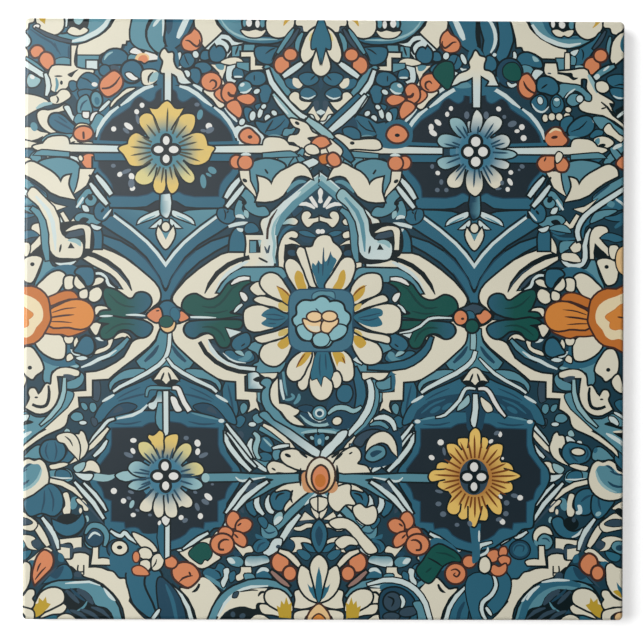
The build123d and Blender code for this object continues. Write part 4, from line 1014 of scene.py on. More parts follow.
upper_outer_garden = group(
    patch(BLUE, [153 + 302j, K, 163 + 302j, K, 167.5 + 290j, 168.5 + 280j, 166 + 270j, 160.5 + 263j, 157.5 + 270j,
                 159 + 280j, 156 + 290j]),
    stroke(ICE, [162.5 + 302j, 168.5 + 291j, 170 + 281j, 168 + 272.5j, 165 + 267.5j], 3.6, (0.8, 0.4)),
    patch(BLUE, [172 + 302j, K, 183 + 302j, K, 186 + 290j, 187 + 279j, 184 + 270j, 180 + 262j, 174 + 259j, 171 + 264j,
                 174 + 275j, 174 + 288j]),
    patch(BLUE, [160 + 257j, 163 + 264j, 167 + 263j, 170.5 + 258j, 170 + 252j, 164 + 249j], 1.8),
    spot(ICE, 169 + 265.5j, 2.0, 1.8, 0, 0),
    patch(CREAM, [185 + 302j, K, 199 + 302j, K, 204 + 292j, 212 + 284j, 222 + 278j, 232 + 273.5j, 240.5 + 271.5j, K,
                  241 + 262j, K, 217 + 262.5j, K, 210 + 267j, 203 + 269.5j, 198 + 270j, 197 + 273j, 191.5 + 273.5j, K,
                  190.5 + 282j, 188 + 292j]),
    patch(SKY, [203 + 302j, K, 207.5 + 292j, 216 + 283j, 228 + 276.5j, 240 + 273j, 254 + 275j, 264 + 280j, 272 + 287j,
                278 + 294j, K, 268 + 288j, 260 + 284j, 250 + 285j, 236 + 284j, 229 + 287j, 224 + 295j, 222 + 302j, K]),
    stroke(ICE, [206.5 + 296j, 212 + 288j, 221 + 281.5j, 232 + 277j, 244 + 275j, 255.5 + 277.5j], 4.4, (0.6, 0.3)),
    patch(BLUE, [216 + 302j, K, 219 + 293j, 226 + 284.5j, 236 + 281.5j, 250 + 281.5j, 262 + 283j, 250 + 284.5j, 236 + 284j,
                 229 + 287j, 224 + 295j, 223 + 302j, K], 0),
    patch(INK, [223 + 302j, K, 224 + 294j, 229 + 288j, 248 + 288j, 251 + 294j, 250 + 302j, K], 0),
    patch(CREAM, [227 + 290j, 231 + 285j, 236 + 284j, K, 238 + 285.5j, 243 + 284j, 247 + 287j, 248 + 290j, 242 + 290j,
                  238 + 288.5j, 232 + 291j], 1.6),
    marks(WHITE, [(227.5 + 297j, 2.0, 4.0, 0), (236.5 + 296j, 3.2, 3.8, 20)]),
    marks(SKY, [(246 + 296j, 2.6, 4.4, 0)]),
    patch(CREAM, [251 + 302j, K, 250.5 + 291j, 255 + 285j, 262 + 282j, 270 + 285j, 276 + 292j, 277.5 + 302j, K], 2.0),
    patch(MUSTARD, [267 + 293j, 270 + 299j, 268 + 302j, K, 277 + 302j, K, 275 + 299j], 0),
    patch(CREAM, [279.5 + 302j, K, 279 + 294j, 285 + 293j, 287 + 288j, 293 + 287j, 298 + 293j, 302 + 297j, K, 302 + 302j,
                  K], 1.8),
    patch(BLUE, [250 + 262j, 252 + 270j, 258 + 274j, 268 + 280j, 275 + 288j, 273 + 277j, 266 + 268j, 257 + 257j,
                 251 + 256j], 1.8),
    stroke(INK, [257 + 261j, 258 + 268j, 256 + 272j], 1.6),
    stroke(SLATE, [280 + 290j, 274 + 279j, 268 + 272j], 3.4, (0.4, 0.4), 1.4),
    stroke(SKY, [285 + 284j, 283 + 274j, 283 + 266j], 3.4, (0.4, 0.3), 1.4),
    patch(CREAM, [302 + 290j, K, 294 + 286.5j, 288 + 279j, 286 + 268j, 286 + 260j, 289 + 257j, 294 + 260j, 302 + 267j, K],
          2.2),
    patch(TEAL, [302 + 290j, K, 296 + 282j, 295.5 + 272j, 302 + 266j, K], 0),
    spot(CORAL, 266.8 + 254.8j, 7.2, 8, 0, 2.2, RUST),
    spot(CORAL, 275.3 + 265.3j, 6, 5.6, 0, 2.2, RUST),
    patch(SKY, [246 + 265j, K, 250 + 263j, 249.5 + 256j, K, 245 + 256j, K], 1.2),
    patch(ICE, [245 + 268j, 253 + 271j, 249 + 265j], 1.0),
    patch(MIST, [250 + 255j, K, 258 + 254j, 258.5 + 250j, K, 250 + 250j, K], 0),
    patch(SKY, [231 + 262j, K, 239.5 + 262j, K, 239.5 + 249j, K, 232.5 + 249j, K], 1.4),
    stroke(CREAM, [242 + 267.5j, 242 + 258j, 242 + 249j], 4.6, (0.8, 1), 1.4),
    patch(CREAM, [220 + 257j, K, 230.5 + 257j, K, 232 + 249j, K, 244 + 250j, 262 + 250j, 264 + 243j, 268 + 233j, 274 + 227j,
                  283 + 222j, 288 + 218j, 286 + 212j, 292 + 204j, 302 + 197j, K, 302 + 191j, K, 290 + 200j, 278 + 206j,
                  262 + 208.5j, 255 + 212j, 254 + 215j, 258 + 219.5j, 266 + 221j, K, 266 + 226j, 262 + 232j, 261.5 + 242j,
                  256 + 242j, 256 + 237j, 244 + 237j, 234 + 239.5j, 226 + 243j, 220 + 247j]),
    patch(INK, [232 + 249j, K, 241 + 248j, 247 + 247.5j, 248 + 244j, 253 + 243j, 248 + 240.5j, 243 + 244j, 232 + 246.5j,
                K], 0),
    stroke(SLATE, [222 + 247.5j, 226 + 247j], 1.6),
    patch(SKY, [234 + 235.5j, 246 + 236j, 255 + 234.5j, 261 + 229j, 265.5 + 225j, 265 + 220.5j, 260.5 + 221j, 258 + 226j,
                250 + 230.5j, 243 + 229j, 236 + 222j, 232 + 230j], 1.6),
    stroke(INK, [256.5 + 242j, 256.5 + 233j], 2.4, (0.8, 0.8)),
    stroke(ICE, [240 + 223j, 245 + 228.5j, 250 + 232j], 2.2),
    patch(SKY, [242 + 219j, 246 + 226j, 252 + 226.5j, 258 + 223j, 253 + 217j, 247 + 215j], 1.8),
    spot(ICE, 254.5 + 222j, 3.2, 3.4, 0, 1.2),
    stroke(INK, [276 + 219j, 282 + 214j, 288 + 206j, 302 + 195j], 2.6, (0.5, 0.8)),
    patch(INK, [284 + 218j, 289 + 217j, 287 + 212.5j], 0),
    stroke(INK, [276 + 212j, 281 + 213.5j], 1.8),
    patch(INK, [290 + 211j, K, 302 + 218j, K, 302 + 203j, 293 + 204j], 0),
    stroke(ICE, [292 + 203.5j, 296 + 207j, 302 + 211j], 3, (0.5, 0.9)),
    stroke(SKY, [269 + 243j, 278 + 250j, 289 + 255j], 5.6, (0.6, 0.4), 2.0),
    stroke(ICE, [269.5 + 242.5j, 274 + 246j], 5, (0.8, 0.5)),
    stroke(ICE, [278 + 250j, 284 + 255j], 2.4),
    stroke(MIST, [263 + 246j, 268 + 237j, 272 + 228j], 4, (0.6, 0.4)),
    patch(BLUE, [282 + 242j, 290 + 246j, 302 + 245j, K, 302 + 232j, K, 290 + 234j, 284 + 237j], 1.4),
    stroke(INK, [289 + 235j, 294 + 236.5j, 302 + 236j], 1.6),
    patch(BLUE, [285 + 231j, 302 + 231j, K, 302 + 222j, K, 290 + 222.5j], 1.4),
    stroke(ICE, [288 + 225.5j, 293 + 223j, 300 + 223.5j], 1.8),
    patch(CREAM, [271.5 + 238j, 277 + 239.5j, 282 + 237j, 283.5 + 232j, 279 + 228.5j, 272.5 + 230.5j], 1.8),
    patch(BLUE, [192 + 261j, 195 + 266j, 202 + 267.5j, 209 + 265j, 215 + 260j, 216.5 + 254j, 205 + 254.5j, 196 + 256j],
          2.0),
    patch(MIST, [207 + 264.5j, 211 + 263j, 213.5 + 259.5j, 209 + 259j], 0),
    stroke(ICE, [187.5 + 259.5j, 189.5 + 264j, 188.5 + 268.5j], 3.2, (0.5, 0.5), 1.2),
    patch(SKY, [196 + 254j, 206 + 253j, 208 + 249j, 203 + 246j, 197 + 249j], 1.0),
    patch(ICE, [207 + 243j, 209.5 + 250.5j, 217.5 + 248.5j, 213 + 244j, 210 + 241j], 1.6),
    spot(NAVY, 184 + 247.5j, 12.6, 14, 0, 1.8),
    stroke(ICE, [182 + 238j, 186 + 234.5j, 191 + 236.5j], 3.2, (0.3, 0.5), 1.2),
    patch(CORAL, [202 + 246j, 206 + 242j, 210 + 235j, 209 + 228j, 204 + 223j, 198 + 225j, 194 + 231j, 194 + 238j,
                  197 + 244j], 2.4, RUST),
    stroke(RUST, [198 + 239.5j, 201 + 233j, 205.5 + 229j, 210 + 227j], 2.4, (0.3, 0.8)),
    patch(BLUE, [212 + 236j, 214 + 242j, 221 + 243.5j, 228 + 241j, 232 + 236j, 232.5 + 230j, 228 + 226j, 220 + 228j,
                 213 + 230j], 2.0),
    stroke(INK, [216 + 232j, 222 + 236.5j], 1.8),
    patch(BLUE, [206 + 218j, 211 + 224j, 216 + 225.5j, 221 + 221j, 221 + 214j, 217 + 209.5j, 211 + 211j], 1.8),
    stroke(ICE, [206.5 + 217j, 211 + 210.5j, 217 + 208.5j, 223.5 + 214j], 2.0),
    spot(ICE, 214.8 + 220j, 2.6, 3.8, 12, 1.0),
    patch(BLUE, [226 + 213j, 227 + 222j, 231 + 225.5j, 236 + 222j, 238 + 213j, 235 + 208.5j, 228 + 208.5j], 1.8),
    spot(SKY, 231.4 + 218.5j, 3.6, 4.6, 0, 1.0),
    spot(ICE, 231.4 + 221j, 2.6, 1.6, 0, 0),
    marks(CREAM, [(220 + 202.4j, 2.6, 3.6, 0), (226.6 + 203.8j, 3.1, 3.4, 0), (234 + 203.8j, 3.1, 3.3, 0),
                  (241.8 + 204.2j, 3.0, 3.6, 0), (243 + 211j, 2.8, 2.4, -20)], 1.6),
    patch(BLUE, [236 + 199j, 240 + 203j, 247 + 203.5j, 246 + 196j, 240 + 189j, 236 + 193j], 1.6),
    patch(BLUE, [243 + 190j, 248 + 198j, 255 + 203j, 264 + 204j, 268 + 200j, 268 + 192j, 262 + 186j, 252 + 184j,
                 244 + 186j], 2.0),
    stroke(INK, [246 + 189j, 254 + 192j, 262 + 200j], 1.6),
    patch(ICE, [267 + 203.5j, 273 + 201j, 272 + 197j, 268.5 + 198j], 0),
    patch(SKY, [268 + 203j, 280 + 203j, 290 + 196j, 302 + 188j, K, 302 + 183j, K, 290 + 190j, 282 + 196j, 276 + 192j,
                272 + 196j], 1.4),
    patch(BLUE, [265 + 184j, 272 + 191j, 278 + 189j, 275 + 184j], 1.4),
    patch(CORAL, [220 + 181j, 223 + 188j, 229 + 192j, 235 + 191.5j, 238 + 186j, 242 + 180j, 240 + 177j, 222 + 177j], 2.4,
          RUST),
    stroke(BUTTER, [224 + 187.5j, 230 + 191.5j, 236 + 189.5j], 2.4),
    spot(RUST, 229.3 + 183.4j, 3.4, 1.6, 10, 0),
    patch(SKY, [243 + 184j, 255 + 183.5j, 266 + 178j, 268 + 174j, 258 + 178j, 248 + 180j], 0),
    stroke(SKY, [198 + 168.5j, 206 + 166.5j, 222 + 166.5j, 246 + 166.5j], 4.6, (0.4, 1)),
    patch(BLUE, [242 + 163j, K, 278 + 162.5j, K, 266 + 154j, 244 + 152j], 1.6),
    patch(CREAM, [279 + 191j, 284 + 197j, 288 + 192j, 294 + 186j, 302 + 182j, K, 302 + 177j, 294 + 180j, 287 + 185j,
                  282 + 187j], 1.6),
    patch(CREAM, [269 + 181j, 275 + 184j, 283 + 183j, 288.5 + 178j, 284 + 174j, 276 + 173.5j, 271 + 176j], 1.8),
    spot(INK, 277 + 175.5j, 3.8, 1.8, 10, 0),
    patch(SKY, [270 + 181j, 274 + 183j, 274 + 177j, 271 + 176j], 0),
    stroke(SKY, [280 + 157j, 288 + 165j, 302 + 178j], 7, (0.5, 0.9), 1.6),
    stroke(SKY, [286 + 173j, 292 + 166j, 300 + 155j], 6, (0.4, 0.7), 1.6),
    stroke(ICE, [288 + 172j, 292 + 174.5j, 297 + 176.5j], 4, (0.4, 0.6)),
    patch(CORAL, [292 + 157j, 296 + 163j, 304 + 166j, 304 + 152j, 296 + 153j], 2.0, RUST),
)

# Differences between copies of the quarters
green_flower = patch(GREEN, [178 + 252j, 183 + 257j, 190 + 257j, 195 + 250j, 194 + 241j, 185 + 240j, 179 + 244j], 1.2)


# Lower medallion: stepped charcoal field in a blue border, under the V of bands
lower_medallion = group(
    patch(LAGOON, whole([AXIS - 8j, -152 - 9j, K, -150 - 22j, -142 - 31j, -130 - 42j, K, -138 - 51j, -150 - 50j, AXIS - 47j], AXIS), 1.6),
    patch(BLUE, whole([AXIS - 52j, -150 - 56j, -135 - 63j, -118 - 70j, -108 - 76j, -97 - 84j, -90 - 95j, -88 - 104j,
                       -100 - 100j, -115 - 97j, -130 - 92j, -138 - 88j, -146 - 78j, AXIS - 70j], AXIS), 1.6),
    patch(BLUE, whole([AXIS - 92j, -150 - 92j, -134 - 92j, -120 - 95j, -103 - 99j, -98 - 101.5j, -100 - 108j, -100 - 122j,
                       -97 - 132j, -91 - 141j, -85 - 148j, -83 - 158j, -86 - 166j, -91 - 174j, -97 - 183j, -99 - 196j,
                       -100 - 206j, -110 - 208j, -116 - 214j, -128 - 219j, -138 - 226j, -150 - 229j, AXIS - 231j], AXIS)),
    patch(FIELD, whole([AXIS - 102j, -151 - 103j, -143 - 104j, -136 - 108j, K, -106 - 109j, K, -106 - 125j, -104 - 133j,
                        -98 - 141j, -92 - 149j, K, -92 - 163j, K, -96 - 168j, -99 - 178j, K, -106 - 181j, K, -106 - 201j, K,
                        -119 - 202j, K, -120 - 208j, K, -133 - 208j, -138 - 214j, -150 - 220j, AXIS - 222j], AXIS), 1.2,
          NAVY),
    across(group(
        stroke(NAVY, [-152 - 26j, -147 - 34j, -138 - 42.5j], 4, (0.3, 0.6)),
        patch(SKY, [-138 - 51j, -128 - 50j, -118 - 52j, -109 - 58j, -103 - 66j, -104 - 71j, K, -108 - 64j, -118 - 59.5j,
                    -130 - 57j], 1.6),
        stroke(ICE, [-108 - 75.5j, -102 - 79j, -96 - 82.5j], 3, (0.5, 0.4)),
        stroke(NAVY, [-142 - 74j, -128 - 77j, -112 - 82j], 2.2),
        stroke(NAVY, [-134 - 68j, -120 - 74j, -110 - 80j], 1.6),
        patch(NAVY, [-130 - 87j, -121 - 84j, -112 - 86j, -104 - 93j, -99 - 100j, -112 - 95.5j, -122 - 93j], 1.2),
        patch(SLATE, [-117 - 90j, -114 - 87j, -110 - 89j, -107 - 94j, -112 - 93j], 0),
        stroke(SKY, [-132 - 93.5j, -118 - 97j, -104 - 100j], 2.2),
        stroke(NAVY, [-135 - 102j, -122 - 105j, -108 - 104j], 2.0),
        spot(ICE, -102.3 - 101.2j, 3.0, 2.0, 0, 0),
    ), AXIS),
)

# Arm from the lower medallion to the roundel, and the white lines round the medallion
lower_arms = group(
    patch(SKY, [-24 - 154j, K, -24 - 161j, K, -40 - 163j, -52 - 168j, -62 - 174j, -76 - 181j, -84 - 186j, -76 - 175j,
                -62 - 165j, -50 - 160j, -70 - 158j, -88 - 161j, -118 - 161.5j, K, -118 - 154j, K, -88 - 153.5j,
                -60 - 155j], 1.8),
    stroke(ICE, [-88 - 157j, -84 - 160.5j, -74 - 160j, -58 - 157j], 2.6),
    stroke(ICE, [-56 - 161.5j, -66 - 168j, -78 - 177.5j, -88 - 188j, -94 - 199j, -99 - 209j], 5, (0.5, 0.7), 2.0),
    stroke(ICE, [-73 - 160.5j, -78 - 167j, -84 - 174j, -91 - 184j, -97.5 - 193j], 4.2, (0.5, 0.4), 2.0),
    patch(SLATE, [-66 - 164j, -72 - 163j, -78 - 172j, -72 - 170j], 0),
    stroke(ICE, [-98 - 112j, -97 - 121j, -91 - 131j, -83 - 141j, -73 - 151j], 4.6, (0.5, 0.6), 2.0),
    stroke(ICE, [-96.5 - 113j, -90 - 120j, -83 - 129.5j, -77 - 138j, -68 - 147j], 3.2, (0.3, 0.5), 1.8),
    stroke(ICE, [-97.5 - 104j, -92 - 111.5j, -85 - 120j, -78 - 129j, -72 - 138j], 3.4, (0.5, 0.3), 1.8),
    stroke(ICE, [-115 - 213j, -124 - 218j, -131 - 223j, -140 - 229j], 3.6, (0.6, 0.3), 1.8),
)

# Lower inner quarter: scroll, stepped frame and hooks under the middle flower
lower_scroll = group(
    patch(SKY, [-76 - 28j, -69 - 22.5j, -60 - 24j, -50 - 30j, -40 - 30j, -33 - 28j, -37 - 38j, -40 - 46j, -44 - 52j,
                -68 - 52j, -71 - 46j, -65 - 42j, -67 - 34j], 1.6),
    stroke(ICE, [-46.5 - 44j, -38 - 37.5j, -29 - 30.5j], 4, (0.2, 0.5), 1.4),
    patch(CREAM, [-151 - 16j, -149 - 23j, -142 - 30.5j, -130 - 41.5j, -118 - 51j, -106 - 58.5j, -100 - 60.5j, -87.5 - 61.5j,
                  K, -87 - 79.5j, K, -75 - 80j, K, -73.5 - 86j, -76 - 92.5j, K, -68 - 88j, K, -64.5 - 91j, K, -66.5 - 84j,
                  -68 - 81j, K, -67 - 73j, K, -79.5 - 72j, K, -80 - 56.5j, K, -70 - 52j, K, -69 - 48j, K, -85 - 46.5j,
                  -97 - 42j, -106 - 35j, -112 - 27j, -116 - 20j, K, -109 - 19j, K, -113 - 15.5j, -120 - 16j, -125 - 18.5j,
                  -131 - 20.5j, -138 - 17.5j, -141.5 - 11j, -140 - 5.5j, -134 - 2j, K, -143 - 2j, -150 - 7j]),
    patch(ICE, [-116 - 20j, K, -112 - 27j, -106 - 35j, -97 - 42j, -85 - 46.5j, -69 - 48j, K, -69 - 51j, -85 - 49.5j,
                -98 - 45j, -108 - 38.5j, -114 - 31j], 0),
    stroke(INK, [-124.5 - 22.5j, -118 - 33.5j, -108 - 42.5j, -97 - 48.5j, -85 - 52j, -68 - 53.5j], 4.6, (0.9, 0.9)),
    patch(SLATE, [-113 - 24j, -107 - 27j, -104 - 31.5j, -108 - 31j], 0),
    patch(BLUE, [-92 - 26j, -90 - 20j, -84 - 16j, -77 - 14j, -74 - 19j, -75 - 25j, -80 - 29j, -88 - 30.5j], 1.6),
    stroke(INK, [-83 - 27j, -79 - 24j], 1.6),
    patch(BLUE, [-99 - 32.5j, -92 - 31.5j, -87 - 36j, -80 - 37j, -72 - 34j, -70 - 39j, -76 - 42.5j, -86 - 42.5j,
                 -94 - 39j], 1.4),
    stroke(ICE, [-101 - 33.5j, -95 - 39j, -87 - 42.5j, -78 - 43.5j], 1.8),
    patch(MIST, [-89 - 32j, -83 - 31.5j, -80 - 36.5j, -84 - 35.5j], 0),
    patch(SKY, [-80 - 37j, -78.5 - 33j, -74.5 - 31.5j, -72 - 35j, -75 - 40j, -82 - 42j, -86 - 40j], 0),
    patch(Fade(SKY, ICE, -76, -70), [-76 - 54j, K, -66 - 54j, -64 - 58j, -60 - 63j, -62 - 69j, K, -75.5 - 69j, K], 1.6),
    patch(CREAM, [-64 - 54j, K, -47 - 53.5j, K, -49 - 58j, -56 - 59j, K], 1.4),
    patch(INK, [-71 - 60j, -66 - 57j, -58 - 57.5j, -54 - 60j, -62 - 61j, -66 - 62.5j], 0),
    patch(Fade(MIST, SKY, -68, -64), [-66.5 - 73j, K, -62 - 73j, K, -62.5 - 84j, K, -66 - 81j, K], 1.2),
    patch(SKY, [-63 - 63j, -60 - 59.5j, -54 - 60j, -52 - 65j, -53.5 - 75j, -51 - 86j, -46 - 91j, -41 - 98j, -33 - 105j,
                -20 - 108.5j, -4 - 109j, K, -4 - 113j, K, -20 - 114j, -14 - 122j, -8 - 128j, -18 - 122j, -32 - 114j,
                -42 - 107j, -50 - 102j, -56 - 97j, -58 - 90j, -61 - 84j, -62 - 75j, -61 - 71j, -58 - 68j]),
    patch(CREAM, [-46.5 - 59j, K, -46 - 75j, -45 - 84j, K, -34 - 86j, -30 - 88.5j, -25 - 91j, -27 - 94j, -31 - 96j, K,
                  -26 - 100j, -20 - 105.5j, K, -30 - 104j, -37 - 99j, -42 - 92j, -47 - 88j, -51.5 - 83j, -53.5 - 75j,
                  -51.5 - 65j]),
    stroke(ICE, [-43.5 - 60j, -42.5 - 70j, -40 - 80j], 3, (0.6, 0.6)),
    stroke(SKY, [-41 - 52j, -39.5 - 65j, -37 - 76j], 2.6, (0.9, 0.3)),
    stroke(SKY, [-39 - 80j, -33.5 - 79.5j, -30.5 - 77j, -33 - 74j], 3, (0.5, 0.5)),
    stroke(SKY, [-25 - 74j, -25.5 - 79j, -30 - 84j], 4, (0.4, 0.5)),
    patch(NAVY, [-26 - 88j, -19 - 85.5j, -11 - 88j, -13 - 91.5j, -20 - 92j], 1.0),
    patch(NAVY, [-24 - 93j, -18 - 93j, -12 - 100j, -16 - 103j, -21 - 98j], 0),
    stroke(MIST, [-24 - 95j, -18 - 101j, -10 - 105j, -3 - 105.5j], 3, (0.3, 0.9)),
    stroke(ICE, [-16 - 92j, -11 - 98j, -3 - 101.5j], 2.2, (0.3, 0.9)),
    stroke(MIST, [-23 - 113j, -14 - 111.5j, -3 - 110.5j], 3, (0.3, 0.9)),
    patch(INK, [-21 - 115.5j, K, -4 - 113j, K, -4 - 132j, K, -12 - 124j], 0),
    patch(BLUE, [-8.5 - 114j, -5.5 - 114j, -5 - 124j, -8 - 126j, -9.5 - 121j], 0),
    marks(MIST, [(-12 - 118j, 2.2, 1.6, -40), (-4.5 - 121.5j, 2.0, 3.0, 0)]),
    stroke(MIST, [-4 - 131j, -8 - 135j], 4.4, (0.9, 0.3)),
)

lower_clutter = group(
    patch(BLUE, [-98 - 62j, K, -88 - 62.5j, K, -88 - 80j, -86 - 90j, -88 - 97j, -92 - 100j, -97 - 90j, -100 - 80j,
                 -101 - 70j], 1.4),
    stroke(NAVY, [-96 - 65j, -93 - 78j, -90 - 94j], 2.2),
    patch(SKY, [-83 - 86j, -80 - 83.5j, -77 - 86j, -78.5 - 92j, -81 - 94j], 1.2),
    patch(BLUE, [-89 - 104j, -85 - 107.5j, -79 - 98.5j, -83 - 96j], 1.2),
    patch(SKY, [-71 - 97.5j, -66 - 94j, -60.5 - 97j, -61 - 101j, -67 - 103.5j], 1.2),
    marks(ICE, [(-71.5 - 104.6j, 3.6, 2.1, 0)], 1.2),
    marks(SLATE, [(-83 - 115j, 3.0, 4.0, 20), (-90 - 105j, 2.0, 4.0, 0)]),
    stroke(SKY, [-64 - 108.5j, -54 - 113j, -44 - 118.5j, -34 - 126j], 5.6, (0.7, 0.3), 1.4),
    stroke(CREAM, [-58.5 - 97.5j, -52 - 103.5j, -44 - 111j], 4, (0.6, 0.6), 1.4),
    stroke(CREAM, [-60.5 - 105j, -52 - 109.5j, -42 - 117j, -34 - 124.5j, -28.5 - 130.5j], 4.6, (0.5, 0.4), 1.4),
    stroke(ICE, [-49.5 - 102j, -38 - 109.5j, -24 - 119.5j, -14 - 126.5j, -3 - 138j], 5, (0.4, 1), 2.0),
    stroke(INK, [-46 - 106j, -30 - 118.5j, -14 - 132j], 2.6, (0.3, 0.5)),
    patch(BLUE, [-63.5 - 119j, -58 - 117j, -51 - 124j, -51 - 131j, -58 - 131.5j, -64 - 127j], 1.8),
    stroke(MIST, [-60.5 - 118.5j, -56 - 123j, -51 - 128j], 2.2),
    patch(BLUE, [-64 - 134j, -57 - 133j, -52 - 136.5j, -55 - 142j, -62 - 141j], 1.4),
    patch(SKY, [-50 - 131j, -44 - 130.5j, -44 - 137j, -48 - 140j, -51 - 136j], 1.4),
    stroke(ICE, [-51 - 128.5j, -44 - 126.5j, -35 - 125.5j], 3.2, (0.5, 0.5), 1.4),
    stroke(MIST, [-70 - 113j, -66 - 117j, -68 - 127j, -68 - 134j, -64 - 139j], 5, (0.5, 0.5), 1.4),
    stroke(ICE, [-72 - 119j, -74.5 - 127j, -73 - 134j, -69 - 140j], 4.6, (0.4, 0.5), 1.4),
    patch(SKY, [-70 - 139j, -60 - 142j, -52 - 142j, -56 - 150j, -62 - 150j], 1.2),
    stroke(ICE, [-70.5 - 141j, -64 - 146.5j, -57 - 151j], 4, (0.5, 0.6), 1.4),
    patch(CREAM, [-56 - 146j, -52 - 142j, -44 - 143j, -34 - 146.5j, -27 - 151j, -36 - 153j, -46 - 152j, -52 - 154j], 1.8),
    patch(CREAM, [-43 - 137j, -42 - 132.5j, -36 - 130j, -28 - 130j, -20 - 134j, -9 - 138.5j, K, -11 - 143j, -14 - 148.5j,
                  -22 - 150j, -28 - 148.5j, -36 - 145j, -41 - 141j], 2.0),
    spot(INK, -36 - 135.5j, 3.4, 1.7, -25, 0),
    stroke(INK, [-25 - 131j, -21 - 134.5j, -16.5 - 137.5j], 2.6, (0.3, 0.7)),
    stroke(INK, [-52 - 148j, -48 - 150.5j], 2.0),
)

